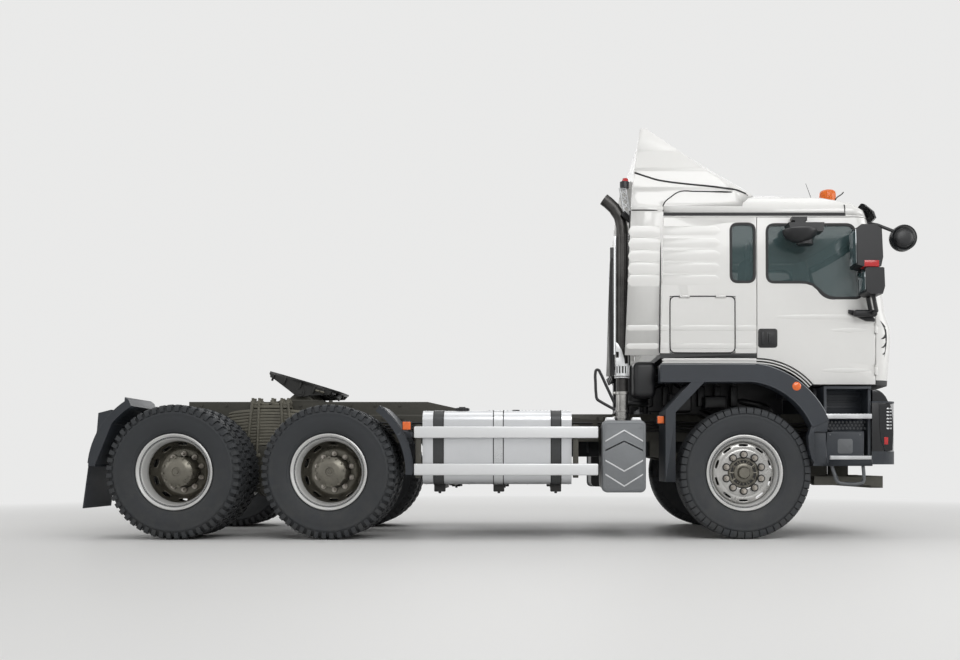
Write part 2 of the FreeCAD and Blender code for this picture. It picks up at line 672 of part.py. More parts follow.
def guard(side):
    """Two horizontal rails in front of the tank, on posts fixed to the tank's arms."""
    inner = GUARD_OUT - GUARD_T
    parts = []
    for z in GUARD_ZS:
        parts.append(block(GUARD_X0, GUARD_X1, side * inner, side * GUARD_OUT, z, z + GUARD_H))
    for x in (TANK_X0 - 34, TANK_X1 + 34):
        parts.append(block(x - 22, x + 22, side * (inner - 22), side * inner,
                           GUARD_ZS[1], GUARD_ZS[0] + GUARD_H))
        parts.append(block(x - 22, x + 22, side * RAIL_OUT, side * (inner - 22),
                           RAIL_BOTTOM + 20, RAIL_BOTTOM + 90))
    return fused(parts)


BOX_X0 = 884.0
BOX_X1 = 1282.0
BOX_Z0 = 427.0
BOX_Z1 = 1080.0
BOX_OUT = 1235.0
BOX_IN = 480.0


def side_box(side):
    """Box on a bracket from the rail: silencer on the right, batteries on the left."""
    body = long_fillet(block(BOX_X0, BOX_X1, side * BOX_OUT, side * BOX_IN, BOX_Z0, BOX_Z1), 34)
    bracket = block(BOX_X0 + 80, BOX_X1 - 80, side * RAIL_OUT, side * (BOX_IN + 10),
                    RAIL_BOTTOM + 30, RAIL_TOP - 130)
    return body.fuse(bracket)


AIR_TANK_X = -20.0
AIR_TANK_R = 120.0
STACK_X = 1090.0
STACK_Y = 950.0
STACK_R = 57.0
STACK_BEND_Z = 2960.0
STACK_TIP_X = 925.0
STACK_TIP_Z = 3165.0


def exhaust_stack():
    """Vertical pipe behind the cab with a turned-back open tip, its shield and its stay."""
    x, y, r = STACK_X, -STACK_Y, STACK_R
    pipe = rod((x, y, BOX_Z1), (x, y, STACK_BEND_Z), r)
    ball = Part.makeSphere(r, V(x, y, STACK_BEND_Z))
    tip = rod((x, y, STACK_BEND_Z), (STACK_TIP_X, y, STACK_TIP_Z), r)
    shield = block(x - 12, x + 72, y - 64, y + 64, 1520, 2850)
    stay = block(x - 90, x - 40, y - 14, RAIL_TO_STACK_Y, RAIL_TOP, RAIL_TOP + 60)
    post = block(x - 92, x - 62, y - 16, y + 16, RAIL_TOP, 2700)
    links = [block(x - 92, x, y - 16, y + 16, z, z + 40) for z in (1560, 2640)]
    whole = fused([pipe, ball, tip, shield, stay, post] + links)
    line = V(STACK_TIP_X - x, 0, STACK_TIP_Z - STACK_BEND_Z)
    start = V(STACK_TIP_X, y, STACK_TIP_Z) - line.normalize() * 120
    mouth = Part.makeCylinder(r - 4, 200, start, line)
    return whole.cut(mouth)


RAIL_TO_STACK_Y = -RAIL_OUT


def catwalk():
    """Tread plates over the rails behind the cab."""
    plate = block(-200, 620, -RAIL_OUT - 60, RAIL_OUT + 60, RAIL_TOP, RAIL_TOP + 40)
    return plate


def air_tanks():
    """Two compressed-air reservoirs along the frame, hung from a bar between the rails."""
    web = RAIL_OUT - RAIL_T
    z = RAIL_BOTTOM - AIR_TANK_R - 5
    bar_z = RAIL_TOP - 120
    parts = [block(AIR_TANK_X - 40, AIR_TANK_X + 40, -web, web, bar_z, bar_z + 60)]
    for _, side in SIDES:
        y = side * 235
        parts.append(rod((AIR_TANK_X - 270, y, z), (AIR_TANK_X + 270, y, z), AIR_TANK_R))
        parts.append(block(AIR_TANK_X - 40, AIR_TANK_X + 40, y - 28, y + 28, z, bar_z))
    return fused(parts)


# ---- mudguards --------------------------------------------------------------------
GUARD_R0 = 700.0
REAR_GUARD_IN = 640.0


def rear_mudguard(side):
    """Quarter guard behind the last axle, its arms and its hanging flap."""
    y0, y1 = side * REAR_GUARD_IN, side * OVERALL_WIDTH / 2
    x, z = REAR_AXLE_X, DRIVE_TYRE_R
    band = arc_band(x, z, GUARD_R0, GUARD_R0 + 62, 122, 176, y0, y1)
    top = side_prism([(x - 440, z + 545), (x - 428, z + 675), (x - 395, z + 650),
                      (x - 372, z + 592)], y0, y1)
    skirt = side_prism([(x - 550, z + 430), (x - 552, z + 562), (x - 667, z + 532),
                        (x - 680, z + 372), (x - 750, z + 60), (x - 700, z + 60)], y0, y1)
    flap = side_prism([(x - 744, z + 100), (x - 756, z + 100), (x - 814, 285), (x - 802, 285)],
                      side * (REAR_GUARD_IN + 20), side * (OVERALL_WIDTH / 2 - 10))
    arm = block(FRAME_REAR_X + 10, FRAME_REAR_X + 60, side * RAIL_OUT, y0,
                RAIL_TOP - 90, RAIL_TOP - 40)
    reach = block(x - 640, FRAME_REAR_X + 60, side * (REAR_GUARD_IN - 20), y0,
                  RAIL_TOP - 90, RAIL_TOP - 40)
    return fused([band, top, skirt, flap, arm, reach])


def mid_mudguard(side):
    """Curved guard ahead of the first drive axle, on a bar from the rail."""
    y0, y1 = side * REAR_GUARD_IN, side * (OVERALL_WIDTH / 2 - 2)
    x, z = MID_AXLE_X, DRIVE_TYRE_R
    band = arc_band(x, z, GUARD_R0, GUARD_R0 + 60, -2, 52, y0, y1)
    bar_x = x + 645
    bar = block(bar_x, bar_x + 50, side * RAIL_OUT, y0 + side * 30, z + 330, z + 380)
    return fused([band, bar])


ARCH_X = 2154.0
ARCH_Z = 757.0
ARCH_R = 675.0
ARCH_OUT_R = 838.0
ARCH_IN_Y = 1090.0
SILL_X0 = 1408.0
SILL_Z0 = 1424.0
SILL_Z1 = 1580.0


def front_mudguard(side):
    """Sill, wheel arch and the guard behind the front wheel, on two arms to the rail."""
    y0, y1 = side * ARCH_IN_Y, side * SKIRT_Y
    sill = block(SILL_X0, ARCH_X + 150, y0, y1, SILL_Z0, SILL_Z1)
    arch = arc_band(ARCH_X, ARCH_Z, ARCH_R, ARCH_OUT_R, 22.5, 82, y0, y1)
    slab = side_prism([(1686, SILL_Z0), (1455, 1175), (1455, 523), (1545, 523), (1545, 1150),
                       (1804, SILL_Z0)], side * 800, y1)
    shelf = block(1640, 1860, side * 800, y0, SILL_Z0, SILL_Z0 + 30)
    arm = block(1460, 1500, side * RAIL_OUT, side * 805, RAIL_TOP - 120, RAIL_TOP - 70)
    front_arm = block(2660, 2700, side * RAIL_OUT, side * 1100, 1330, 1370)
    front_post = block(2660, 2700, side * RAIL_OUT, side * (RAIL_OUT + 40), RAIL_TOP - 60, 1370)
    whole = fused([sill, arch, slab, shelf, arm, front_arm, front_post])
    return whole.cut(steer_sweep(side))


# ---- steps and bumper -------------------------------------------------------------
STEP_X0 = 2892.0
STEP_X1 = 3322.0
STEP_TOP = 1388.0
STEP_BOX_TOP = 980.0
STEP_BOTTOM = 667.0
TREAD_Z = 1096.0
STEP_IN = 790.0


def step_box(side):
    """Step well under the door: back wall, upper tread, closed box and a low stirrup."""
    y_in, y_out = side * STEP_IN, side * (SKIRT_Y - 12)
    back = block(STEP_X0, STEP_X1, y_in, side * (STEP_IN + 30), STEP_BOTTOM, STEP_TOP)
    front = block(STEP_X1 - 24, STEP_X1, y_in, side * (SKIRT_Y - 60), STEP_BOTTOM, STEP_TOP)
    shelf = block(STEP_X0, STEP_X1, y_in, side * (SKIRT_Y - 40), STEP_TOP - 22, STEP_TOP)
    tread = block(STEP_X0, STEP_X1, y_in, y_out, TREAD_Z, TREAD_Z + 40)
    box = block(STEP_X0 - 100, STEP_X1 - 70, y_in, side * (SKIRT_Y - 30), STEP_BOTTOM,
                STEP_BOX_TOP)
    low_tread = block(STEP_X0 + 48, STEP_X1 - 12, side * (SKIRT_Y - 130), side * SKIRT_Y,
                      725, 759)
    toe = block(STEP_X0 + 48, STEP_X1, side * (SKIRT_Y - 130), side * (SKIRT_Y - 8),
                STEP_BOTTOM, 725)
    rear = block(STEP_X0, STEP_X0 + 24, y_in, side * (SKIRT_Y - 40), STEP_BOX_TOP, STEP_TOP)
    riser = block(STEP_X0 + 24, STEP_X1 - 40, side * (SKIRT_Y - 150), side * (SKIRT_Y - 130),
                  STEP_BOX_TOP, TREAD_Z)
    y = side * (SKIRT_Y - 40)
    stirrup = bent_tube([(2960, y, STEP_BOTTOM + 10), (3025, y, 512), (3235, y, 505),
                         (3255, y, 560), (3245, y, STEP_BOTTOM + 10)], 13)
    arm = block(3120, 3180, side * RAIL_OUT, y_in, RAIL_BOTTOM + 30, RAIL_BOTTOM + 110)
    whole = fused([back, front, shelf, tread, box, low_tread, toe, rear, riser, stirrup, arm])
    arch = arc_band(ARCH_X, ARCH_Z, ARCH_R - 60, ARCH_OUT_R + 1, 10, 90,
                    side * (ARCH_IN_Y - 1), side * (SKIRT_Y + 20))
    return whole.cut(arch).cut(steer_sweep(side))


BUMPER_TOP = 1254.0
BUMPER_BOTTOM = 681.0
BUMPER_REAR_X = 3330.0
LAMP_Z0 = 800.0
LAMP_Z1 = 1240.0
LAMP_Y0 = 900.0
BUMPER_FRONT_X = 3640.0
BUMPER_HALF_W = 1200.0
BUMPER_WALL = 26.0
TOW_X = 3550.0
TOW_Z = 960.0
TOW_PIN_R = 22.0


def bumper_plan(front, half, inset, z0, z1):
    """Bumper in plan: bowed front, rounded corners, straight ends back to the steps."""
    fx, w = front - inset, half - inset
    cx, cw = fx - FRONT_BULGE, w - CORNER_W
    k = math.sqrt(0.5)
    return plan_prism([
        (BUMPER_REAR_X, -w), (cx - CORNER_L, -w),
        (cx - CORNER_L + CORNER_L * k, -cw - CORNER_W * k, cx, -cw), (fx, 0, cx, cw),
        (cx - CORNER_L + CORNER_L * k, cw + CORNER_W * k, cx - CORNER_L, w),
        (BUMPER_REAR_X, w),
    ], z0, z1)


def bumper():
    """Hollow bumper with lamp openings, a towing eye and arms to the frame."""
    front, half, wall = BUMPER_FRONT_X, BUMPER_HALF_W, BUMPER_WALL
    outer = bumper_plan(front, half, 0, BUMPER_BOTTOM, BUMPER_TOP)
    inner = bumper_plan(front, half, wall, BUMPER_BOTTOM - 1, BUMPER_TOP - wall)
    shell = outer.cut(inner)
    room = half - 110
    shell = shell.cut(block(BUMPER_REAR_X - 1, TILT_X + 70, -room, room, 0, 2000))
    for _, side in SIDES:
        shell = shell.cut(lamp_zone(side))
    parts = [shell.cut(block(3500, 3700, -280, 280, 860, 1000))]
    for _, side in SIDES:
        parts.append(block(FRAME_FRONT_X, front - wall - 4, side * 300, side * RAIL_OUT,
                           TOW_Z - 30, TOW_Z + 30))
    parts.append(block(TOW_X - 30, TOW_X + 20, -310, 310, TOW_Z - 30, TOW_Z + 30))
    parts.append(block(TOW_X - 60, TOW_X + 50, -50, 50, TOW_Z - 30, TOW_Z + 30))
    return fused(parts).cut(rod((TOW_X, 0, TOW_Z - 60), (TOW_X, 0, TOW_Z + 60), TOW_PIN_R))


def lamp_zone(side):
    """Corner block that the headlamp fills."""
    return block(3250, 3700, side * LAMP_Y0, side * 1300, LAMP_Z0, LAMP_Z1)


def headlamp(side):
    """Clear lens shell that closes the bumper's lamp opening."""
    front, half = BUMPER_FRONT_X, BUMPER_HALF_W
    outer = bumper_plan(front, half, 2, BUMPER_BOTTOM, BUMPER_TOP)
    inner = bumper_plan(front, half, BUMPER_WALL, BUMPER_BOTTOM - 1, BUMPER_TOP + 1)
    return outer.cut(inner).common(lamp_zone(side))


# ---- cab shell --------------------------------------------------------------------
def plan_wire(z, front, rear, half, inset):
    """Cab outline at one height: flat back and sides, round corners, bowed front."""
    fx, w = front - inset, half - inset
    cx, cw = fx - FRONT_BULGE, w - CORNER_W
    k = math.sqrt(0.5)
    bend_x, bend_y = cx - CORNER_L + CORNER_L * k, cw + CORNER_W * k
    points = [
        (rear + inset, -w), (cx - CORNER_L, -w), (bend_x, -bend_y, cx, -cw),
        (fx, 0, cx, cw), (bend_x, bend_y, cx - CORNER_L, w), (rear + inset, w),
    ]
    return outline(points, lambda x, y: V(x, y, z)).OuterWire


def cab_volume(inset, top_extra=0.0):
    """Everything inside the cab's skin, less the inset, from the front edge to the split."""
    wires = [plan_wire(z, front, rear, half, inset) for z, front, rear, half in CAB_SECTIONS]
    solid = Part.makeLoft(wires, True, True)
    if top_extra:
        _, front, rear, half = CAB_SECTIONS[-1]
        face = Part.Face(plan_wire(CAB_SPLIT_Z, front, rear, half, inset))
        solid = solid.fuse(face.extrude(V(0, 0, top_extra)))
    return solid


def below_cab(grow):
    """What lies under the cab: front step, wheel arch and the high rear, raised by grow."""
    y = CAB_HALF_W + 100
    rear = block(1000, CAB_ARCH_X, -y, y, CAB_FRONT_Z - 200, CAB_REAR_Z + grow)
    arch = rod((CAB_ARCH_X, -y, CAB_ARCH_Z), (CAB_ARCH_X, y, CAB_ARCH_Z), CAB_ARCH_R + grow)
    front = block(CAB_ARCH_X, 4000, -y, y, CAB_FRONT_Z - 200, CAB_FRONT_Z + grow)
    return fused([rear, arch, front])


def roof_volume(inset, drop=0.0):
    wires = []
    for up, front, rear, half in ROOF_SECTIONS:
        wires.append(plan_wire(CAB_SPLIT_Z + up - drop, front, rear, half, inset))
    return Part.makeLoft(wires, True, True)


def door_outline(grow, below=0.0):
    """Door edge in x and z; below opens the outline past the cab's lower edge."""
    bottom = CAB_FRONT_Z + PANEL_GAP + 2 - grow - below
    return [
        (DOOR_REAR_X - grow, bottom), (DOOR_FRONT_X + grow, bottom),
        (DOOR_FRONT_X + grow, DOOR_BELT_Z), (DOOR_TOP_FRONT_X + grow, DOOR_TOP_Z + grow),
        (DOOR_REAR_X - grow, DOOR_TOP_Z + grow),
    ]


def door_window():
    """Window opening in x and z, with its belt line stepping down to the front."""
    return [
        (2388, 2335), (2700, 2335), (2800, 2328, 2860, 2275), (2945, 2200, 3030, 2190),
        (3285, 2190), (3208, 2890), (2388, 2890),
    ]


REAR_WINDOW = (2058.0, 2280.0, 2338.0, 2896.0)


def side_zone(points, side, inner):
    """Prism through one side of the cab, from its inner limit out past the skin."""
    return side_prism(points, side * inner, side * (CAB_HALF_W + 80))


def rectangle(x0, x1, z0, z1):
    return [(x0, z0), (x1, z0), (x1, z1), (x0, z1)]


def screen_zone(grow):
    """Windscreen opening in y and z, with rounded corners."""
    w, z0, z1, r = SCREEN_HALF_W + grow, SCREEN_Z0 - grow, SCREEN_Z1 + grow, 70
    k = r * (1 - math.sqrt(0.5))
    return front_prism([
        (-w + r, z0), (w - r, z0), (w - k, z0 + k, w, z0 + r), (w - 22, z1 - r),
        (w - 22 - k, z1 - k, w - 22 - r, z1), (-w + 22 + r, z1),
        (-w + 22 + k, z1 - k, -w + 22, z1 - r), (-w, z0 + r), (-w + k, z0 + k, -w + r, z0),
    ], 3000, 3800)


# Hinges of everything that swings on the cab. Length along the pin, radii.
HINGE_L = 90.0
HINGE_R = 13.0
HINGE_PIN_R = 6.0
HINGE_EAR = 20.0


def hinge(place, along):
    """Ears with a pin, the knuckle between them, and the room each needs in the other."""
    start = V(*place)
    step = V(*along)

    def length(a, b, r):
        return Part.makeCylinder(r, b - a, start + step * a, step)

    ears = length(0, HINGE_EAR, HINGE_R).fuse(length(HINGE_L - HINGE_EAR, HINGE_L, HINGE_R))
    ears = ears.fuse(length(0, HINGE_L, HINGE_PIN_R))
    inner, outer = HINGE_EAR + 0.5, HINGE_L - HINGE_EAR - 0.5
    knuckle_ring = length(inner, outer, HINGE_R).cut(
        length(0, HINGE_L, HINGE_PIN_R + RUNNING_FIT))
    knuckle_room = length(HINGE_EAR - 4, HINGE_L - HINGE_EAR + 4, HINGE_R + 4)
    knuckle_room = knuckle_room.cut(length(0, HINGE_EAR, HINGE_R + 5))
    knuckle_room = knuckle_room.cut(length(HINGE_L - HINGE_EAR, HINGE_L, HINGE_R + 5))
    ear_room = length(-5, HINGE_EAR + 0.5, HINGE_R + 4).fuse(
        length(HINGE_L - HINGE_EAR - 0.5, HINGE_L + 5, HINGE_R + 4))
    pin_room = length(0, HINGE_L, HINGE_PIN_R + RUNNING_FIT)
    return {"ears": ears, "ring": knuckle_ring, "ring_room": knuckle_room,
            "ear_room": ear_room.fuse(pin_room)}


DOOR_HINGE_X = DOOR_FRONT_X + PANEL_GAP / 2
DOOR_HINGE_Y = CAB_HALF_W + 5.0
HATCH_HINGE_Y = CAB_HALF_W + 5.0
HATCH_HINGE_Z = HATCH_Z1 + PANEL_GAP / 2
FLAP_HINGE_X = 3593.0
FLAP_HINGE_Z = FLAP_Z1 + PANEL_GAP / 2
FLAP_HINGE_YS = (-545.0, 455.0)
FLAP_ROLL_R = 16.0             # room for the flap's top edge as it swings up


def door_hinges(side):
    places = [(DOOR_HINGE_X, side * DOOR_HINGE_Y, z) for z in (1500.0, 1880.0)]
    return [hinge(place, (0, 0, 1)) for place in places]


def hatch_hinges(side):
    places = [(x, side * HATCH_HINGE_Y, HATCH_HINGE_Z) for x in (1600.0, 1930.0)]
    return [hinge(place, (1, 0, 0)) for place in places]


def flap_hinges():
    places = [(FLAP_HINGE_X, y, FLAP_HINGE_Z) for y in FLAP_HINGE_YS]
    return [hinge(place, (0, 1, 0)) for place in places]


def seated(panel, hinges, carrier):
    """Adds hinges to a panel, as the carrier with the ears or as the swinging part."""
    for each in hinges:
        if carrier:
            panel = panel.cut(each["ring_room"]).fuse(each["ears"])
        else:
            panel = panel.cut(each["ear_room"]).fuse(each["ring"])
    return panel


def cab_skin(depth):
    """The cab's skin to a given depth, open at the top."""
    return cab_volume(0).cut(cab_volume(depth, 10.0))


def door(side):
    """Door as thick as the wall, with its window cut and its hinge knuckles."""
    panel = cab_skin(DOOR_T).common(side_zone(door_outline(0), side, 860))
    arch = rod((CAB_ARCH_X, side * 800, CAB_ARCH_Z), (CAB_ARCH_X, side * 1300, CAB_ARCH_Z),
               CAB_ARCH_R + PANEL_GAP)
    panel = panel.cut(arch).cut(side_zone(door_window(), side, 700))
    return seated(panel, door_hinges(side), False)


def glass_layer():
    return cab_volume(GLASS_SET).cut(cab_volume(GLASS_SET + GLASS_T, 10.0))


def door_glass(side, layer):
    return layer.common(side_zone(door_window(), side, 700))


def hatch(side):
    """Outer locker lid, hinged along its top edge."""
    zone = side_zone(rectangle(HATCH_X0, HATCH_X1, HATCH_Z0, HATCH_Z1), side, 900)
    panel = cab_skin(CAB_WALL).common(zone)
    return seated(panel, hatch_hinges(side), False)


def flap_zone(grow):
    return block(3300, 3800, -FLAP_HALF_W - grow, FLAP_HALF_W + grow, FLAP_Z0 - grow,
                 FLAP_Z1 + grow)


def front_flap():
    panel = cab_skin(FLAP_T).common(flap_zone(0))
    return seated(panel, flap_hinges(), False)


def cab_body():
    """Sides, back wall, front wall and pillars, with every opening cut."""
    shell = cab_skin(CAB_WALL).cut(below_cab(CAB_WALL))
    cuts = [screen_zone(0)]
    for _, side in SIDES:
        cuts.append(side_zone(door_outline(PANEL_GAP, 40), side, 860))
        cuts.append(side_zone(rectangle(HATCH_X0 - PANEL_GAP, HATCH_X1 + PANEL_GAP,
                                        HATCH_Z0 - PANEL_GAP, HATCH_Z1 + PANEL_GAP), side, 900))
        cuts.append(side_zone(rectangle(*REAR_WINDOW), side, 900))
    shell = shell.cut(group(cuts))
    recess = cab_skin(FLAP_T + MOVING_GAP).common(flap_zone(PANEL_GAP))
    w = FLAP_HALF_W + PANEL_GAP
    shell = shell.cut(recess)
    edges = [-w] + [edge for y in FLAP_HINGE_YS for edge in (y, y + HINGE_L)] + [w]
    for y0, y1 in zip(edges[::2], edges[1::2]):
        shell = shell.cut(rod((FLAP_HINGE_X, y0, FLAP_HINGE_Z),
                              (FLAP_HINGE_X, y1, FLAP_HINGE_Z), FLAP_ROLL_R))
    shell = seated(shell, flap_hinges(), True)
    for _, side in SIDES:
        shell = seated(shell, door_hinges(side) + hatch_hinges(side), True)
    return shell


def cab_floor():
    """Stepped floor with the two arms that turn on the tilt pins."""
    floor = cab_volume(0).cut(below_cab(0)).common(below_cab(CAB_WALL))
    for _, side in SIDES:
        floor = floor.cut(
            cab_skin(DOOR_T + 8).common(side_zone(door_outline(PANEL_GAP, 40), side, 860)))
    parts = [floor.cut(cab_skin(FLAP_T + MOVING_GAP).common(flap_zone(PANEL_GAP)))]
    for _, side in SIDES:
        parts.append(side_prism([
            (TILT_X - 60, CAB_FRONT_Z), (TILT_X - 34, TILT_Z),
            (TILT_X, TILT_Z - 34, TILT_X + 34, TILT_Z), (TILT_X + 60, CAB_FRONT_Z),
        ], side * (TILT_Y - 22), side * (TILT_Y + 22)))
    floor = fused(parts)
    for _, side in SIDES:
        floor = floor.cut(rod((TILT_X, side * (TILT_Y - 60), TILT_Z),
                              (TILT_X, side * (TILT_Y + 60), TILT_Z), TILT_PIN_R + RUNNING_FIT))
    return floor


def cab_roof():
    return roof_volume(0).cut(roof_volume(CAB_WALL, 34.0))


def cab_glass(layer):
    """Windscreen and the two small side windows."""
    panes = [layer.common(screen_zone(0))]
    for _, side in SIDES:
        panes.append(layer.common(side_zone(rectangle(*REAR_WINDOW), side, 900)))
    return group(panes)


# ---- wind deflectors --------------------------------------------------------------
# Deflector plan sections: height, nose x, tail x, half width.
DEFLECTOR_SECTIONS = (
    # z, nose, tail of the side plates, half width
    (3000.0, 2500.0, 1160.0, 1092.0),
    (3214.0, 2372.0, 1172.0, 1078.0),
    (3400.0, 2040.0, 1195.0, 1050.0),
    (3590.0, 1706.0, 1222.0, 1012.0),
    (3808.0, 1326.0, 1258.0, 960.0),
)
DEFLECTOR_T = 24.0
DEFLECTOR_TAIL_X = 1400.0      # where the middle of the deflector ends, ahead of its side plates


def deflector_volume(inset, tail, top_drop=0.0):
    wires = []
    for n, (z, nose, back, half) in enumerate(DEFLECTOR_SECTIONS):
        low = top_drop if n == len(DEFLECTOR_SECTIONS) - 1 else 0
        x, w, rear = nose - inset * 1.6, half - inset, back - tail
        straight = back + (nose - back) * 0.78
        span = x - straight
        points = [
            (rear, -w), (straight, -w), (straight + span * 0.72, -w * 0.84, x, -w * 0.48),
            (x + span * 0.10, 0, x, w * 0.48), (straight + span * 0.72, w * 0.84, straight, w),
            (rear, w),
        ]
        wires.append(outline(points, lambda a, b, z=z - low: V(a, b, z)).OuterWire)
    return Part.makeLoft(wires, True, True)


def rear_wall_x(z):
    """Back of the cab at one height."""
    low, high = CAB_SECTIONS[0], CAB_SECTIONS[-1]
    return low[2] + (high[2] - low[2]) * (z - low[0]) / (high[0] - low[0])


def wind_deflectors():
    """Roof deflector shell and the fins that carry the cab's sides rearwards."""
    roof = roof_volume(0)
    shell = deflector_volume(0, 0).cut(deflector_volume(DEFLECTOR_T, 60, DEFLECTOR_T))
    notch = deflector_volume(DEFLECTOR_T, 60, -1.0)
    shell = shell.cut(notch.common(block(900, DEFLECTOR_TAIL_X, -1200, 1200, 2900, 4000)))
    shell = shell.cut(roof).cut(block(1000, 3000, -1200, 1200, 2900, 3012))
    shell = shell.cut(block(rear_wall_x(3012) - 1, 3000, -1200, 1200, 3000, CAB_SPLIT_Z + 66))
    parts = [shell]
    for _, side in SIDES:
        y0, y1 = side * (CAB_HALF_W - 26), side * (CAB_HALF_W - 2)
        fin = side_prism([
            (1101, 1682), (rear_wall_x(1682) - 4, 1682), (rear_wall_x(2960) - 4, 2960),
            (rear_wall_x(2960) - 4, 3012), (1157, 3012),
        ], y0, y1)
        parts.append(fin)
        parts.append(side_prism([(1157, 3012), (rear_wall_x(3012) - 4, 3012),
                                 (rear_wall_x(3012) - 4, 3040), (1162, 3040)],
                                side * (CAB_HALF_W - 60), y1))
        for z in (1800, 2350, 2880):
            parts.append(block(1340, rear_wall_x(z) + 20, side * (CAB_HALF_W - 70), y0,
                               z, z + 50))
    body = cab_volume(0)
    return fused(parts).cut(body)


def sun_visor():
    """Tinted strip across the top of the windscreen, on three stays from the roof."""
    zone = block(3200, 3800, -1010, 1010, 2950, 3096)
    strip = roof_volume(-86).cut(roof_volume(-72)).common(zone)
    parts = [strip]
    for y in (-700, 0, 700):
        parts.append(block(3200, 3800, y - 12, y + 12, 3000, 3040).common(
            roof_volume(-74).cut(roof_volume(0))))
    return fused(parts)


RAMP_MIRROR = (3684.0, -1000.0, 2774.0)
RAMP_MIRROR_R = 120.0


def ramp_mirror():
    """Round mirror ahead of the right-hand corner, on a bent arm from the roof edge."""
    x, y, z = RAMP_MIRROR
    r = RAMP_MIRROR_R
    dome = Part.makeSphere(150, V(x, y + 76, z))
    head = rod((x, y - 62, z), (x, y + 20, z), r).common(dome)
    arm = bent_tube([(3300, y + 30, 2935), (3450, y, 2900), (3600, y, 2842), (x - 60, y, z)], 15)
    foot = block(3270, 3330, y - 10, y + 60, 2900, 2955)
    return fused([head, arm, foot]).cut(cab_volume(0)).cut(roof_volume(0))


BEACON_X = 3110.0
BEACON_Y = -600.0


def beacon():
    """Rotating lamp: a stem from the roof and a domed cover."""
    stem = rod((BEACON_X, BEACON_Y, 3080), (BEACON_X, BEACON_Y, 3195), 62)
    dome = rod((BEACON_X, BEACON_Y, 3195), (BEACON_X, BEACON_Y, 3330), 72)
    rim_edges = [e for e in dome.Edges if e.BoundBox.ZMin > 3329]
    return stem.cut(roof_volume(0)).fuse(dome.makeFillet(28, rim_edges))


MIRROR_IN = 1190.0
MIRROR_OUT = 1400.0


def door_mirrors(side):
    """Main and wide-angle mirror housings on two arms from the door."""
    y0, y1 = side * MIRROR_IN, side * MIRROR_OUT
    main = side_prism([(3135, 2450), (3200, 2436), (3345, 2440), (3362, 2520), (3350, 2770),
                       (3300, 2811), (3170, 2811), (3128, 2780)], y0, y1)
    wide = side_prism([(3203, 2410), (3215, 2215), (3260, 2192), (3360, 2195), (3379, 2260),
                       (3372, 2426), (3210, 2426)], y0, y1)
    link = block(3250, 3300, side * 1270, side * 1320, 2420, 2445)
    upper = rod((3268, side * 1085, 2840), (3262, side * 1240, 2795), 16)
    lower = bent_tube([(3330, side * 1095, 2045), (3340, side * 1290, 2060),
                       (3310, side * 1290, 2210)], 18)
    foot = side_prism([(3140, 2062), (3140, 2092), (3300, 2075), (3380, 2010), (3380, 1985),
                       (3300, 1990)], side * (CAB_HALF_W - 10), side * (CAB_HALF_W + 22))
    whole = fused([main, wide, link, upper, lower, foot]).cut(cab_volume(0))
    if side < 0:
        whole = group([whole, kerb_mirror()])
    return whole


def kerb_mirror():
    """Downward mirror above the right-hand door window."""
    bracket = block(2615, 2750, -CAB_HALF_W - 60, -CAB_HALF_W + 40, 2898, 2934)
    bracket = bracket.cut(cab_volume(0))
    housing = side_prism([(2550, 2850), (2565, 2768), (2860, 2768), (2868, 2850)],
                         -CAB_HALF_W - 190, -CAB_HALF_W - 40)
    bowl = rod((2710, -CAB_HALF_W - 115, 2662), (2710, -CAB_HALF_W - 115, 2768), 74)
    return fused([bracket.fuse(block(2640, 2730, -CAB_HALF_W - 60, -CAB_HALF_W - 41,
                                     2800, 2934)), housing, bowl])


# ---- inside the cab ---------------------------------------------------------------
SEAT_Y = 545.0


def interior():
    """Dashboard, steering column and wheel, seat frames and the bunk's base."""
    room = cab_volume(DOOR_T + 8).cut(below_cab(CAB_WALL))
    dash = side_prism([(3110, 1700), (3070, 1850), (3090, 2010), (3250, 2060), (3700, 2060),
                       (3700, 1700)], -1050, 1050)
    console = block(3000, 3700, -240, 240, 1440, 1705)
    column = rod((3220, SEAT_Y, 1900), (3010, SEAT_Y, 2130), 40)
    axis = V(-210, 0, 230).normalize()
    wheel = Part.makeTorus(215, 17, V(3010, SEAT_Y, 2130), axis)
    spokes = rod((3010, SEAT_Y - 210, 2130), (3010, SEAT_Y + 210, 2130), 14)
    parts = [dash.common(room), console.common(room), column, wheel, spokes]
    for _, side in SIDES:
        low = block(2330, 2800, side * (SEAT_Y - 210), side * (SEAT_Y + 210), 1500, 1990)
        parts.append(low.common(room))
        parts.append(block(2290, 2330, side * (SEAT_Y - 180), side * (SEAT_Y + 180), 1900, 2650))
    parts.append(block(1400, 2120, -1010, 1010, 1600, 1820).common(room))
    return fused(parts)


def seat_cushions():
    """Seat and back pads of both seats, their head rests and the bunk's mattress."""
    parts = []
    gap = SEAT_GAP
    for _, side in SIDES:
        y0, y1 = side * (SEAT_Y - 255), side * (SEAT_Y + 255)
        parts.append(block(2420, 2830, y0, y1, 1990 + gap, 2110))
        back = side_prism([(2330 + gap, 2000), (2415, 2000), (2415, 2120), (2450, 2200),
                           (2420, 2660), (2330 + gap, 2660)],
                          side * (SEAT_Y - 235), side * (SEAT_Y + 235))
        parts.append(back)
    parts.append(block(1500, 2110, -1000, 1000, 1820 + gap, 1960))
    return group(parts)


def rear_cab_mount():
    """Portal on the rails that the back of the cab rests on."""
    top = CAB_REAR_Z - MOVING_GAP
    parts = []
    for _, side in SIDES:
        parts.append(block(1440, 1500, side * (RAIL_OUT - 40), side * RAIL_OUT, RAIL_TOP, top))
    parts.append(block(1440, 1500, -RAIL_OUT, RAIL_OUT, top - 60, top))
    return fused(parts)


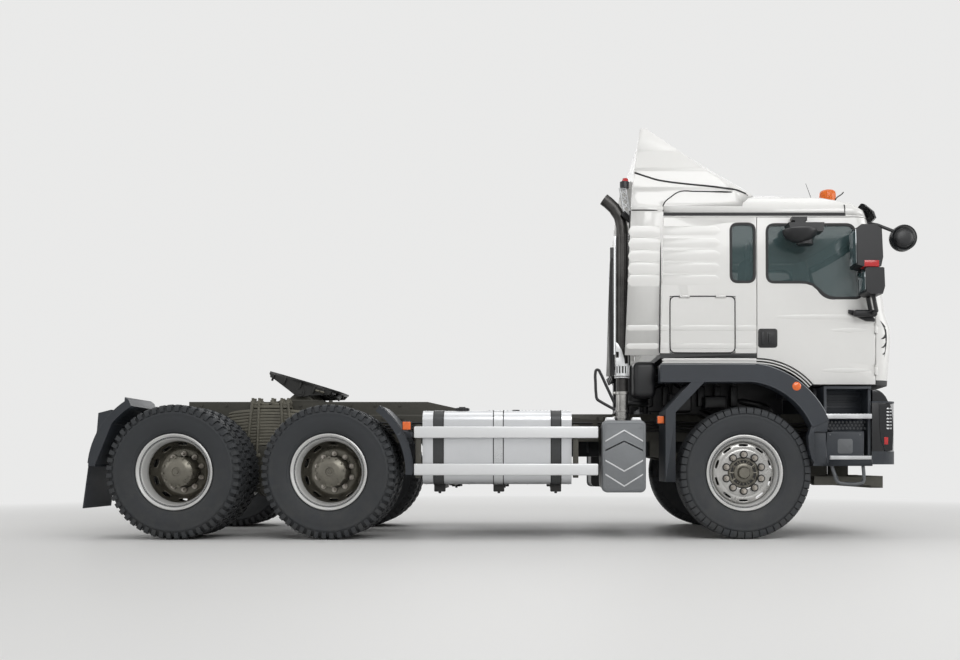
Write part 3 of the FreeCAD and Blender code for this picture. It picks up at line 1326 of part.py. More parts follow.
# ---- every node -------------------------------------------------------------------
def build():
    layer = glass_layer()
    nodes = {
        "frame": frame(),
        "fifth_wheel_subframe": subframe(),
        "fifth_wheel": fifth_wheel(),
        "front_axle": front_axle(),
        "track_rod": track_rod(),
        "drive_axles": group([drive_axle(MID_AXLE_X), drive_axle(REAR_AXLE_X)]),
        "bogie_springs": bogie_springs(),
        "engine_and_gearbox": engine(),
        "propshafts": propshafts(),
        "fuel_tanks": group(both(fuel_tank())),
        "side_guards": group([guard(side) for _, side in SIDES]),
        "silencer_box": side_box(-1),
        "battery_box": side_box(1),
        "exhaust_stack": exhaust_stack(),
        "catwalk": catwalk(),
        "air_tanks": air_tanks(),
        "rear_mudguards": group([rear_mudguard(side) for _, side in SIDES]),
        "mid_mudguards": group([mid_mudguard(side) for _, side in SIDES]),
        "front_mudguards": group([front_mudguard(side) for _, side in SIDES]),
        "step_boxes": group([step_box(side) for _, side in SIDES]),
        "bumper": bumper(),
        "headlamps": group([headlamp(side) for _, side in SIDES]),
        "rear_cab_mount": rear_cab_mount(),
        "cab_body": cab_body(),
        "cab_floor": cab_floor(),
        "cab_roof": cab_roof(),
        "cab_glass": cab_glass(layer),
        "front_flap": front_flap(),
        "wind_deflectors": wind_deflectors(),
        "sun_visor": sun_visor(),
        "ramp_mirror": ramp_mirror(),
        "beacon": beacon(),
        "cab_interior": interior(),
        "seat_cushions": seat_cushions(),
    }
    for name, side in SIDES:
        nodes["knuckle_" + name] = knuckle(side)
        nodes["front_rim_" + name] = front_wheel(side)
        nodes["front_tyre_" + name] = tyre(FRONT_AXLE_X, FRONT_TYRE_R, FRONT_TYRE_Y, side)
        for axle, x in (("mid", MID_AXLE_X), ("rear", REAR_AXLE_X)):
            nodes[axle + "_rims_" + name] = drive_wheel(x, side)
            nodes[axle + "_tyres_" + name] = drive_tyres(x, side)
        nodes["door_" + name] = door(side)
        nodes["door_glass_" + name] = door_glass(side, layer)
        nodes["mirrors_" + name] = door_mirrors(side)
        nodes["locker_hatch_" + name] = hatch(side)
    return nodes


def main():
    os.makedirs("parts", exist_ok=True)
    for name, shape in build().items():
        shape.exportStep("parts/" + name + ".step")


main()
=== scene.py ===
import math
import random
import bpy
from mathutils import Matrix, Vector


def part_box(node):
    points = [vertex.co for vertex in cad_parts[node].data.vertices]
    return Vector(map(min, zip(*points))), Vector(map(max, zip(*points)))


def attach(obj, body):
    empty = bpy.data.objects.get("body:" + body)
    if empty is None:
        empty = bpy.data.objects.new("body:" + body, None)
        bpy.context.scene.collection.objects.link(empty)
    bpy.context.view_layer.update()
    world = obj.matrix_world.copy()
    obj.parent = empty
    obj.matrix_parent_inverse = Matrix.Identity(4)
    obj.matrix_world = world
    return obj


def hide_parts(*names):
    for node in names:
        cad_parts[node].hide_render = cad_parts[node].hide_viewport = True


bl_info = {
    "name": "Road tractor truck",
    "version": (1, 0, 0),
    "blender": (4, 5, 0),
    "location": "3D View > Sidebar > Truck",
    "description": "Builds the looks of a three-axle road tractor around its CAD frame",
    "category": "Add Mesh",
}

import bmesh
import bpy
from bpy.props import FloatProperty, FloatVectorProperty, IntProperty, PointerProperty
from mathutils import Matrix, Vector
from mathutils.bvhtree import BVHTree

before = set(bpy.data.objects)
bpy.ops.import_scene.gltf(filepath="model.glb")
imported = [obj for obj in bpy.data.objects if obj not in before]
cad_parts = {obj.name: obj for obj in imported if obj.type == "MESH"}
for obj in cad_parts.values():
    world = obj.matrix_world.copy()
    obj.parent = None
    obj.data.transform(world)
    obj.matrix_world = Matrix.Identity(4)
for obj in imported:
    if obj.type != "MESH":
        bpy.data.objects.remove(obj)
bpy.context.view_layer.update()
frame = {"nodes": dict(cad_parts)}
SIDES = (("right", -1), ("left", 1))


def middle(node):
    low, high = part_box(node)
    return (low + high) / 2


FRONT_HUB = middle("front_tyre_right")
MID_HUB = middle("mid_tyres_right")
REAR_HUB = middle("rear_tyres_right")
FRONT_TYRE_R = (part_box("front_tyre_right")[1].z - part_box("front_tyre_right")[0].z) / 2
DRIVE_TYRE_R = (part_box("mid_tyres_right")[1].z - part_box("mid_tyres_right")[0].z) / 2
TWIN_HALF = 0.175
RAIL_OUT = 0.381
SKIRT_Y = 1.250
CAB_Y = 1.120


# ---- settings -------------------------------------------------------------------------
def colour_setting(name, note, default):
    return FloatVectorProperty(
        name=name, description=note, default=default, size=3, subtype="COLOR", min=0, max=1
    )


class TruckColours(bpy.types.PropertyGroup):
    cab: colour_setting("Cab paint", "Gloss coach paint of the cab", (0.815, 0.812, 0.795))
    frame: colour_setting("Frame paint", "Paint of rails, axles and brackets",
                          (0.058, 0.056, 0.045))
    skirts: colour_setting("Skirts", "Moulded sill, arches, steps and bumper",
                           (0.024, 0.029, 0.037))
    rims: colour_setting("Rims", "Silver wheel paint", (0.70, 0.70, 0.69))
    rubber: colour_setting("Tyres", "Tyre rubber", (0.030, 0.033, 0.037))
    glass: colour_setting("Glass", "Tint of the cab glass", (0.30, 0.50, 0.52))
    cover: colour_setting("Silencer cover", "Satin grey cover", (0.205, 0.215, 0.225))
    cloth: colour_setting("Seat cloth", "Woven cloth of seats and bunk", (0.045, 0.052, 0.065))
    markers: colour_setting("Markers", "Amber side markers", (0.90, 0.16, 0.015))


class TruckSizes(bpy.types.PropertyGroup):
    tread_depth: FloatProperty(name="Tread depth", description="Depth of the tyre lugs",
                               default=0.017, min=0.002, max=0.022, unit="LENGTH")
    tread_pitches: IntProperty(name="Tread pitches", description="Lugs around a tyre",
                               default=52, min=24, max=80)
    nut_circle: FloatProperty(name="Nut circle", description="Radius of the wheel nut circle",
                              default=0.1675, min=0.12, max=0.2, unit="LENGTH")
    leaf_count: IntProperty(name="Spring leaves", description="Leaves in a bogie spring",
                            default=12, min=6, max=14)
    rib_height: FloatProperty(name="Rib height", description="How far cab ribs stand proud",
                              default=0.0022, min=0.001, max=0.012, unit="LENGTH")
    strap_width: FloatProperty(name="Strap width", description="Width of the tank straps",
                               default=0.09, min=0.03, max=0.12, unit="LENGTH")


# ---- mesh tools -----------------------------------------------------------------------
def add_block(bm, low, high, soft=0.0, segments=2):
    """Box between two corners, with softened edges."""
    low, high = Vector(low), Vector(high)
    size = high - low
    made = bmesh.ops.create_cube(
        bm, size=1.0,
        matrix=Matrix.Translation((low + high) / 2)
        @ Matrix.Diagonal((abs(size.x), abs(size.y), abs(size.z), 1.0)),
    )["verts"]
    if soft:
        edges = {e for v in made for e in v.link_edges}
        bmesh.ops.bevel(bm, geom=list(edges), offset=soft, offset_type="OFFSET",
                        segments=segments, profile=0.5, affect="EDGES", clamp_overlap=True,
                        material=-1)


def add_rod(bm, start, end, r, r_end=None, steps=20):
    start, end = Vector(start), Vector(end)
    line = end - start
    turn = line.to_track_quat("Z", "Y").to_matrix().to_4x4()
    bmesh.ops.create_cone(
        bm, cap_ends=True, cap_tris=False, segments=steps, radius1=r,
        radius2=r if r_end is None else r_end, depth=line.length,
        matrix=Matrix.Translation((start + end) / 2) @ turn,
    )


def add_lathe(bm, profile, centre, axis=(0, 1, 0), steps=64):
    """Profile of (along the axis, radius) pairs turned about an axis through centre."""
    axis, centre = Vector(axis).normalized(), Vector(centre)
    across = Vector((0, 0, 1)) if abs(axis.z) < 0.9 else Vector((1, 0, 0))
    verts = [bm.verts.new(centre + axis * a + across * r) for a, r in profile]
    edges = [bm.edges.new(pair) for pair in zip(verts, verts[1:])]
    bmesh.ops.spin(bm, geom=verts + edges, cent=centre, axis=axis, dvec=(0, 0, 0),
                   angle=math.tau, steps=steps, use_merge=True, use_duplicate=False)


def add_prism(bm, points, place, depth, soft=0.0, segments=2):
    """Flat outline placed in space and extruded by a vector."""
    verts = [bm.verts.new(Vector(place(*p))) for p in points]
    face = bm.faces.new(verts)
    made = bmesh.ops.extrude_face_region(bm, geom=[face])["geom"]
    tops = [g for g in made if isinstance(g, bmesh.types.BMVert)]
    bmesh.ops.translate(bm, verts=tops, vec=Vector(depth))
    if soft:
        edges = {e for v in verts + tops for e in v.link_edges}
        bmesh.ops.bevel(bm, geom=list(edges), offset=soft, offset_type="OFFSET",
                        segments=segments, profile=0.5, affect="EDGES", clamp_overlap=True,
                        material=-1)


def add_side_prism(bm, points, y0, y1, soft=0.0):
    """Outline in x and z, extruded from y0 to y1."""
    add_prism(bm, points, lambda x, z: (x, y0, z), (0, y1 - y0, 0), soft)


def add_nut(bm, place, axis, r=0.016, high=0.018, collar=True):
    """Hexagon nut with a collar and a stud end."""
    place, axis = Vector(place), Vector(axis).normalized()
    if collar:
        add_rod(bm, place, place + axis * high * 0.3, r * 1.35, steps=12)
    add_rod(bm, place, place + axis * high, r, steps=6)
    add_rod(bm, place, place + axis * high * 1.5, r * 0.5, steps=8)


def clean(bm, open_shell=False):
    bmesh.ops.remove_doubles(bm, verts=bm.verts[:], dist=2e-5)
    if not open_shell:
        bmesh.ops.recalc_face_normals(bm, faces=bm.faces[:])


def publish(mesh, name, body, finish, sharp=32.0, stands_for=()):
    """Mesh object at the origin, riding on a body, with its finish; hides the CAD nodes it stands for.
    """
    for face in mesh.polygons:
        face.use_smooth = True
    mesh.set_sharp_from_angle(angle=math.radians(sharp))
    mesh.materials.clear()
    mesh.materials.append(finish)
    piece = bpy.data.objects.new(name, mesh)
    bpy.context.scene.collection.objects.link(piece)
    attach(piece, body)
    if stands_for:
        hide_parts(*stands_for)
    return piece


def make_piece(bm, name, body, finish, sharp=32.0, stands_for=()):
    clean(bm)
    mesh = bpy.data.meshes.new(name)
    bm.to_mesh(mesh)
    bm.free()
    return publish(mesh, name, body, finish, sharp, stands_for)


def make_tube(name, paths, r, body, finish, smooth=True):
    """Round bars or pipes along lists of points, as one curve."""
    curve = bpy.data.curves.new(name, "CURVE")
    curve.dimensions = "3D"
    curve.bevel_depth = r
    curve.bevel_resolution = 3
    curve.use_fill_caps = True
    curve.resolution_u = 8
    for path in paths:
        spline = curve.splines.new("BEZIER")
        spline.bezier_points.add(len(path) - 1)
        for point, place in zip(spline.bezier_points, path):
            point.co = Vector(place)
            kind = "AUTO" if smooth else "VECTOR"
            point.handle_left_type = point.handle_right_type = kind
    curve.materials.append(finish)
    piece = bpy.data.objects.new(name, curve)
    bpy.context.scene.collection.objects.link(piece)
    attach(piece, body)
    return piece


def add_bevel(piece, width, segments=2, angle=35.0):
    bevel = piece.modifiers.new("Softened edges", "BEVEL")
    bevel.width = width
    bevel.segments = segments
    bevel.limit_method = "ANGLE"
    bevel.angle_limit = math.radians(angle)
    bevel.harden_normals = False
    return bevel


def refine(node, finish, body, sharp=28.0):
    """Smooth-shaded copy of a CAD node that stands for it."""
    bm = bmesh.new()
    bm.from_mesh(frame["nodes"][node].data)
    bmesh.ops.remove_doubles(bm, verts=bm.verts[:], dist=1e-5)
    mesh = bpy.data.meshes.new(node + "_skin")
    bm.to_mesh(mesh)
    bm.free()
    return publish(mesh, node + "_skin", body, finish, sharp, (node,))


def ring_places(centre, r, count, start=0.0):
    """Places round a wheel, in the plane across the y axis."""
    for n in range(count):
        a = start + math.tau * n / count
        yield Vector(centre) + Vector((r * math.cos(a), 0, r * math.sin(a)))


# ---- finishes -------------------------------------------------------------------------
def new_group(name, inputs, outputs):
    """Empty node group with named float, colour or vector sockets."""
    group = bpy.data.node_groups.new(name, "ShaderNodeTree")
    kinds = {"float": "NodeSocketFloat", "colour": "NodeSocketColor",
             "vector": "NodeSocketVector"}
    for label, kind, default in inputs:
        socket = group.interface.new_socket(label, in_out="INPUT", socket_type=kinds[kind])
        socket.default_value = default
    for label, kind in outputs:
        group.interface.new_socket(label, in_out="OUTPUT", socket_type=kinds[kind])
    return group, group.nodes.new("NodeGroupInput"), group.nodes.new("NodeGroupOutput")


def chain(tree, kind, settings=None, **sockets):
    """Adds a node, sets its properties and fills its inputs with values or links."""
    node = tree.nodes.new(kind)
    for key, value in (settings or {}).items():
        setattr(node, key, value)
    for key, value in sockets.items():
        socket = node.inputs[int(key[1:]) if key[0] == "i" and key[1:].isdigit()
                             else key.replace("_", " ")]
        if isinstance(value, bpy.types.NodeSocket):
            tree.links.new(value, socket)
        else:
            socket.default_value = value
    return node


def object_coords(tree, stretch=(1, 1, 1)):
    place = tree.nodes.new("ShaderNodeTexCoord").outputs["Object"]
    return chain(tree, "ShaderNodeMapping", i0=place, Scale=stretch).outputs[0]


def noise(tree, place, scale, detail=5.0, rough=0.55):
    made = chain(tree, "ShaderNodeTexNoise", Vector=place, Scale=scale, Detail=detail,
                 Roughness=rough)
    return made.outputs["Fac"]


def remap(tree, value, low, high, to_low=0.0, to_high=1.0):
    made = chain(tree, "ShaderNodeMapRange", {"clamp": True}, Value=value, From_Min=low,
                 From_Max=high, To_Min=to_low, To_Max=to_high)
    return made.outputs[0]


def maths(tree, kind, a, b=0.0):
    return chain(tree, "ShaderNodeMath", {"operation": kind}, i0=a, i1=b).outputs[0]


def mix(tree, amount, a, b, blend="MIX"):
    made = tree.nodes.new("ShaderNodeMix")
    made.data_type = "RGBA"
    made.blend_type = blend
    for index, value in ((0, amount), (6, a), (7, b)):
        if isinstance(value, bpy.types.NodeSocket):
            tree.links.new(value, made.inputs[index])
        else:
            made.inputs[index].default_value = value
    return made.outputs[2]


def opaque(colour):
    return (colour[0], colour[1], colour[2], 1.0)


def build_mottle():
    """Colour that drifts a little over the surface, with darker and paler patches."""
    group, given, out = new_group(
        "Mottle",
        [("Colour", "colour", (0.5, 0.5, 0.5, 1)), ("Amount", "float", 0.2),
         ("Scale", "float", 3.0)],
        [("Colour", "colour"), ("Mask", "float")],
    )
    place = object_coords(group)
    broad = noise(group, place, given.outputs["Scale"], 6.0)
    fine_scale = maths(group, "MULTIPLY", given.outputs["Scale"], 14.0)
    fine = noise(group, place, fine_scale, 4.0)
    mask = remap(group, maths(group, "ADD", broad, maths(group, "MULTIPLY", fine, 0.35)),
                 0.45, 0.9)
    swing = maths(group, "MULTIPLY", mask, given.outputs["Amount"])
    dark = maths(group, "SUBTRACT", 1.0, given.outputs["Amount"])
    level = maths(group, "ADD", dark, maths(group, "MULTIPLY", swing, 2.0))
    grey = chain(group, "ShaderNodeCombineColor", Red=level, Green=level, Blue=level)
    tinted = mix(group, 1.0, given.outputs["Colour"], grey.outputs[0], "MULTIPLY")
    group.links.new(tinted, out.inputs["Colour"])
    group.links.new(mask, out.inputs["Mask"])
    return group


def build_dust():
    """Road dust: more of it low down, on upward faces and in patches."""
    group, given, out = new_group(
        "Road dust",
        [("Colour", "colour", (0.5, 0.5, 0.5, 1)), ("Dust", "colour", (0.16, 0.15, 0.13, 1)),
         ("Height", "float", 1.2), ("Amount", "float", 0.3)],
        [("Colour", "colour"), ("Mask", "float")],
    )
    place = object_coords(group)
    z = chain(group, "ShaderNodeSeparateXYZ", Vector=place).outputs["Z"]
    low = chain(group, "ShaderNodeMapRange", {"clamp": True}, Value=z,
                From_Min=given.outputs["Height"], From_Max=0.0).outputs[0]
    facing = chain(group, "ShaderNodeSeparateXYZ",
                   Vector=group.nodes.new("ShaderNodeNewGeometry").outputs["Normal"])
    up = remap(group, facing.outputs["Z"], 0.2, 1.0)
    patches = remap(group, noise(group, place, 9.0, 7.0, 0.65), 0.38, 0.72)
    laid = maths(group, "ADD", maths(group, "MULTIPLY", low, 0.8),
                 maths(group, "MULTIPLY", up, 0.45))
    mask = maths(group, "MULTIPLY", maths(group, "MULTIPLY", laid, patches),
                 given.outputs["Amount"])
    mask = remap(group, mask, 0.0, 1.0)
    group.links.new(mix(group, mask, given.outputs["Colour"], given.outputs["Dust"]),
                    out.inputs["Colour"])
    group.links.new(mask, out.inputs["Mask"])
    return group


def build_grain():
    """Fine moulded or cast grain as a normal, with a height for other uses."""
    group, given, out = new_group(
        "Fine grain",
        [("Scale", "float", 300.0), ("Strength", "float", 0.2), ("Distance", "float", 0.001)],
        [("Normal", "vector"), ("Height", "float")],
    )
    place = object_coords(group)
    cells = chain(group, "ShaderNodeTexVoronoi", Vector=place, Scale=given.outputs["Scale"])
    soft = noise(group, place, given.outputs["Scale"], 3.0)
    height = maths(group, "ADD", maths(group, "MULTIPLY", cells.outputs["Distance"], 0.6),
                   soft)
    bump = chain(group, "ShaderNodeBump", Strength=given.outputs["Strength"],
                 Distance=given.outputs["Distance"], Height=height)
    group.links.new(bump.outputs[0], out.inputs["Normal"])
    group.links.new(height, out.inputs["Height"])
    return group


def build_streaks():
    """Long fine streaks of brushed or rolled metal."""
    group, given, out = new_group(
        "Brushed streaks",
        [("Stretch", "vector", (1.0, 60.0, 60.0)), ("Scale", "float", 8.0),
         ("Strength", "float", 0.1)],
        [("Mask", "float"), ("Normal", "vector")],
    )
    place = group.nodes.new("ShaderNodeTexCoord").outputs["Object"]
    pulled = chain(group, "ShaderNodeMapping", i0=place, i3=given.outputs["Stretch"])
    lines = noise(group, pulled.outputs[0], given.outputs["Scale"], 6.0, 0.7)
    bump = chain(group, "ShaderNodeBump", Strength=given.outputs["Strength"], Distance=0.0006,
                 Height=lines)
    group.links.new(remap(group, lines, 0.3, 0.7), out.inputs["Mask"])
    group.links.new(bump.outputs[0], out.inputs["Normal"])
    return group


def build_weave():
    """Over-and-under woven cloth: a thread mask and its normal."""
    group, given, out = new_group(
        "Woven cloth", [("Threads", "float", 260.0), ("Strength", "float", 0.6)],
        [("Mask", "float"), ("Normal", "vector")],
    )
    place = object_coords(group)
    bands = []
    for direction in ("X", "Y", "Z"):
        wave = chain(group, "ShaderNodeTexWave",
                     {"bands_direction": direction, "wave_profile": "SIN"},
                     Vector=place, Scale=given.outputs["Threads"], Distortion=0.4)
        bands.append(wave.outputs["Fac"])
    pattern = maths(group, "MULTIPLY", maths(group, "ADD", bands[0], bands[2]), bands[1])
    bump = chain(group, "ShaderNodeBump", Strength=given.outputs["Strength"], Distance=0.0008,
                 Height=pattern)
    group.links.new(pattern, out.inputs["Mask"])
    group.links.new(bump.outputs[0], out.inputs["Normal"])
    return group


MOTTLE, DUST, GRAIN = build_mottle(), build_dust(), build_grain()
STREAKS, WEAVE = build_streaks(), build_weave()


def place_group(tree, group, **values):
    node = tree.nodes.new("ShaderNodeGroup")
    node.node_tree = group
    for key, value in values.items():
        if isinstance(value, bpy.types.NodeSocket):
            tree.links.new(value, node.inputs[key])
        else:
            node.inputs[key].default_value = value
    return node


def finish_of(name, colour, rough, metal=0.0, mottle=(0.12, 3.0), dust=(1.3, 0.3),
              grain=None, streaks=None, spread=0.12, **constants):
    """Material with mottled colour, road dust, and grain or streaks in its normal."""
    made = bpy.data.materials.new(name)
    made.use_nodes = True
    made.diffuse_color = opaque(colour)
    tree = made.node_tree
    shader = tree.nodes["Principled BSDF"]
    base = place_group(tree, MOTTLE, Colour=opaque(colour), Amount=mottle[0],
                       Scale=mottle[1])
    dirty = place_group(tree, DUST, Colour=base.outputs["Colour"], Height=dust[0],
                        Amount=dust[1])
    tree.links.new(dirty.outputs["Colour"], shader.inputs["Base Color"])
    vary = remap(tree, base.outputs["Mask"], 0.0, 1.0, rough - spread / 2,
                 rough + spread / 2)
    matte = maths(tree, "MULTIPLY", dirty.outputs["Mask"], 0.4)
    rough_sum = maths(tree, "ADD", vary, matte)
    if streaks:
        lines = place_group(tree, STREAKS, Stretch=streaks[0], Scale=streaks[1],
                            Strength=streaks[2])
        rough_sum = maths(tree, "ADD", rough_sum,
                          maths(tree, "MULTIPLY", lines.outputs["Mask"], 0.14))
        tree.links.new(lines.outputs["Normal"], shader.inputs["Normal"])
    elif grain:
        cast = place_group(tree, GRAIN, Scale=grain[0], Strength=grain[1])
        tree.links.new(cast.outputs["Normal"], shader.inputs["Normal"])
    tree.links.new(rough_sum, shader.inputs["Roughness"])
    shader.inputs["Metallic"].default_value = metal
    for key, value in constants.items():
        shader.inputs[key.replace("_", " ")].default_value = value
    return made


def glass_of(name, colour, rough=0.03, alpha=1.0, transmission=1.0):
    made = bpy.data.materials.new(name)
    made.use_nodes = True
    made.diffuse_color = opaque(colour)
    tree = made.node_tree
    shader = tree.nodes["Principled BSDF"]
    film = place_group(tree, MOTTLE, Colour=opaque(colour), Amount=0.05, Scale=2.0)
    tree.links.new(film.outputs["Colour"], shader.inputs["Base Color"])
    smear = remap(tree, film.outputs["Mask"], 0.0, 1.0, rough, rough + 0.05)
    tree.links.new(smear, shader.inputs["Roughness"])
    shader.inputs["Transmission Weight"].default_value = transmission
    shader.inputs["IOR"].default_value = 1.45
    shader.inputs["Alpha"].default_value = alpha
    return made


class Paint:
    """Every finish of the truck, made once by build_finishes before the operators run."""


def build_finishes():
    look = bpy.context.scene.truck_colours
    p = Paint
    p.cab = finish_of("Cab white", look.cab, 0.24, mottle=(0.015, 1.2), dust=(1.7, 0.10),
                      grain=(900.0, 0.02), spread=0.05, Coat_Weight=0.6, Coat_Roughness=0.06)
    p.frame = finish_of("Frame paint", look.frame, 0.50, mottle=(0.22, 4.0),
                        dust=(1.5, 0.35), grain=(420.0, 0.18))
    p.spring = finish_of("Spring steel", (0.150, 0.142, 0.112), 0.50, 0.15,
                         mottle=(0.30, 7.0), dust=(1.5, 0.4), grain=(260.0, 0.25))
    p.coupling = finish_of("Coupling casting", (0.026, 0.026, 0.025), 0.44, 0.3,
                           mottle=(0.25, 6.0), dust=(0.5, 0.2), grain=(300.0, 0.3))
    p.cast = finish_of("Cast and painted", (0.034, 0.038, 0.042), 0.55, 0.3,
                       mottle=(0.35, 8.0), dust=(1.6, 0.3), grain=(220.0, 0.35))
    p.tank = finish_of("Brushed aluminium", (0.62, 0.63, 0.645), 0.27, 0.92,
                       mottle=(0.03, 1.5), dust=(0.7, 0.10), spread=0.03,
                       streaks=((0.4, 60.0, 60.0), 9.0, 0.03))
    p.rail = finish_of("Satin aluminium", (0.80, 0.81, 0.82), 0.32, 0.45,
                       mottle=(0.02, 2.0), dust=(0.7, 0.08), spread=0.03,
                       streaks=((0.4, 60.0, 60.0), 7.0, 0.02))
    p.strap_dark = finish_of("Dark strap", (0.060, 0.062, 0.064), 0.38, 0.6,
                             mottle=(0.12, 4.0), grain=(600.0, 0.08))
    p.strap = finish_of("Bright strap", (0.62, 0.63, 0.64), 0.26, 1.0, mottle=(0.10, 4.0),
                        streaks=((30.0, 1.0, 30.0), 8.0, 0.08))
    p.cover = finish_of("Silencer cover", look.cover, 0.42, 0.35, mottle=(0.08, 3.0),
                        dust=(1.0, 0.18), grain=(700.0, 0.06))
    p.cover_line = finish_of("Bright ridges", (0.66, 0.67, 0.68), 0.32, 0.8,
                             mottle=(0.05, 4.0), grain=(700.0, 0.04))
    p.pipe = finish_of("Stainless pipe", (0.38, 0.375, 0.36), 0.26, 1.0, mottle=(0.25, 5.0),
                       dust=(0.4, 0.1), streaks=((40.0, 40.0, 1.0), 6.0, 0.08))
    # Dark metal: the pipe's scorched tone, and on the upper heat shield painted shade for the cab's
    # shadow falling on bright metal.
    p.pipe_dark = finish_of("Scorched pipe and shaded shield", (0.060, 0.058, 0.056), 0.38, 0.85,
                            mottle=(0.35, 6.0), grain=(300.0, 0.12))
    p.chrome = finish_of("Chrome strip", (0.75, 0.76, 0.77), 0.10, 1.0, mottle=(0.04, 3.0),
                         dust=(0.5, 0.1), spread=0.05)
    p.skirt = finish_of("Moulded charcoal", look.skirts, 0.46, mottle=(0.10, 3.0),
                        dust=(1.5, 0.16), grain=(1100.0, 0.10), spread=0.08)
    p.black = finish_of("Black plastic", (0.0085, 0.009, 0.0105), 0.40, mottle=(0.12, 4.0),
                        dust=(1.3, 0.06), grain=(1300.0, 0.10))
    p.gloss = finish_of("Gloss black", (0.009, 0.010, 0.012), 0.12, mottle=(0.08, 3.0),
                        dust=(0.5, 0.1), grain=(900.0, 0.02), spread=0.05)
    p.seal = finish_of("Rubber seal", (0.012, 0.012, 0.013), 0.62, mottle=(0.10, 5.0),
                       grain=(800.0, 0.10))
    p.silver = finish_of("Rim silver", look.rims, 0.32, 0.20, mottle=(0.04, 3.0),
                         dust=(0.4, 0.10), grain=(900.0, 0.02), spread=0.04)
    p.hub = finish_of("Hub olive", (0.175, 0.165, 0.138), 0.30, 0.65, mottle=(0.30, 8.0),
                      dust=(0.9, 0.22), grain=(350.0, 0.15))
    p.disc = finish_of("Wheel disc", (0.46, 0.455, 0.44), 0.28, 0.6, mottle=(0.10, 5.0),
                       dust=(0.5, 0.10), grain=(500.0, 0.05), spread=0.05)
    p.nut = finish_of("Nut steel", (0.42, 0.39, 0.35), 0.28, 0.75, mottle=(0.25, 14.0),
                      grain=(500.0, 0.10))
    p.rubber = finish_of("Tyre rubber", look.rubber, 0.66, mottle=(0.16, 5.0),
                         dust=(1.0, 0.22), grain=(500.0, 0.14), spread=0.14)
    p.inside = finish_of("Cab trim", (0.060, 0.064, 0.068), 0.62, mottle=(0.10, 4.0),
                         dust=(0.5, 0.0), grain=(700.0, 0.2))
    p.under = finish_of("Under-body coat", (0.050, 0.051, 0.052), 0.66, mottle=(0.18, 5.0),
                        dust=(1.7, 0.3), grain=(300.0, 0.25))
    p.marker = finish_of("Amber marker", look.markers, 0.16, mottle=(0.08, 20.0),
                         dust=(0.8, 0.1), grain=(420.0, 0.20), Coat_Weight=0.5)
    p.red = finish_of("Red lens", (0.52, 0.010, 0.012), 0.15, mottle=(0.08, 20.0),
                      dust=(0.5, 0.1), grain=(420.0, 0.20), Coat_Weight=0.5)
    p.mirror = finish_of("Mirror glass", (0.66, 0.69, 0.71), 0.03, 1.0, mottle=(0.03, 2.0),
                         dust=(0.5, 0.05), spread=0.02)
    p.grey = finish_of("Grey hatch", (0.115, 0.122, 0.130), 0.5, mottle=(0.08, 5.0),
                       dust=(1.3, 0.1), grain=(900.0, 0.1))
    p.white_strip = finish_of("Tread strip", (0.60, 0.61, 0.62), 0.34, 0.6,
                              mottle=(0.18, 9.0), dust=(1.2, 0.2), grain=(500.0, 0.2))
    p.glass = glass_of("Cab glass", [c * 0.24 for c in look.glass], 0.02, 0.52, 0.0)
    p.lens = glass_of("Lamp lens", (0.10, 0.11, 0.12), 0.03, 0.34, 0.0)
    p.visor = glass_of("Smoked visor", (0.008, 0.009, 0.011), 0.06, 0.93, 0.0)
    p.amber = glass_of("Amber dome", (0.86, 0.17, 0.008), 0.08, 0.90, 0.0)
    p.cloth = build_cloth(look.cloth)


def build_cloth(colour):
    made = bpy.data.materials.new("Seat cloth")
    made.use_nodes = True
    made.diffuse_color = opaque(colour)
    tree = made.node_tree
    shader = tree.nodes["Principled BSDF"]
    base = place_group(tree, MOTTLE, Colour=opaque(colour), Amount=0.12, Scale=6.0)
    threads = place_group(tree, WEAVE, Threads=240.0, Strength=0.6)
    lighter = tuple(min(1.0, c * 1.9) for c in colour)
    pattern = mix(tree, threads.outputs["Mask"], base.outputs["Colour"], opaque(lighter))
    tree.links.new(pattern, shader.inputs["Base Color"])
    tree.links.new(threads.outputs["Normal"], shader.inputs["Normal"])
    rough = remap(tree, base.outputs["Mask"], 0.0, 1.0, 0.8, 0.95)
    tree.links.new(rough, shader.inputs["Roughness"])
    shader.inputs["Sheen Weight"].default_value = 0.3
    return made


# ---- tyres and wheels -----------------------------------------------------------------
def tyre_profile(r, depth):
    """Half section of a tyre, from the outboard bead to the crown, as (across, radius)."""
    return [
        (0.104, 0.306), (0.106, 0.350), (0.113, 0.357), (0.124, 0.366), (0.129, 0.378),
        (0.134, 0.381), (0.138, 0.392), (0.146, 0.420), (0.1525, 0.455), (0.1555, 0.490),
        (0.1540, r - 0.092), (0.1555, r - 0.088), (0.1545, r - 0.080), (0.1440, r - 0.064),
        (0.1330, r - 0.048), (0.1180, r - depth - 0.010), (0.060, r - depth),
    ]


def add_lug(bm, outline, centre, angle, width, skew=0.0, steps=1):
    """One tread block: outline of (across, radius) swept round the axle by width."""
    centre = Vector(centre)
    verts = []
    for across, radius in outline:
        a = angle - width / 2 + skew * across
        verts.append(bm.verts.new(centre + Vector((radius * math.cos(a), across,
                                                   radius * math.sin(a)))))
    face = bm.faces.new(verts)
    bmesh.ops.spin(bm, geom=[face], cent=centre, axis=(0, -1, 0), dvec=(0, 0, 0),
                   angle=width, steps=steps, use_duplicate=False)


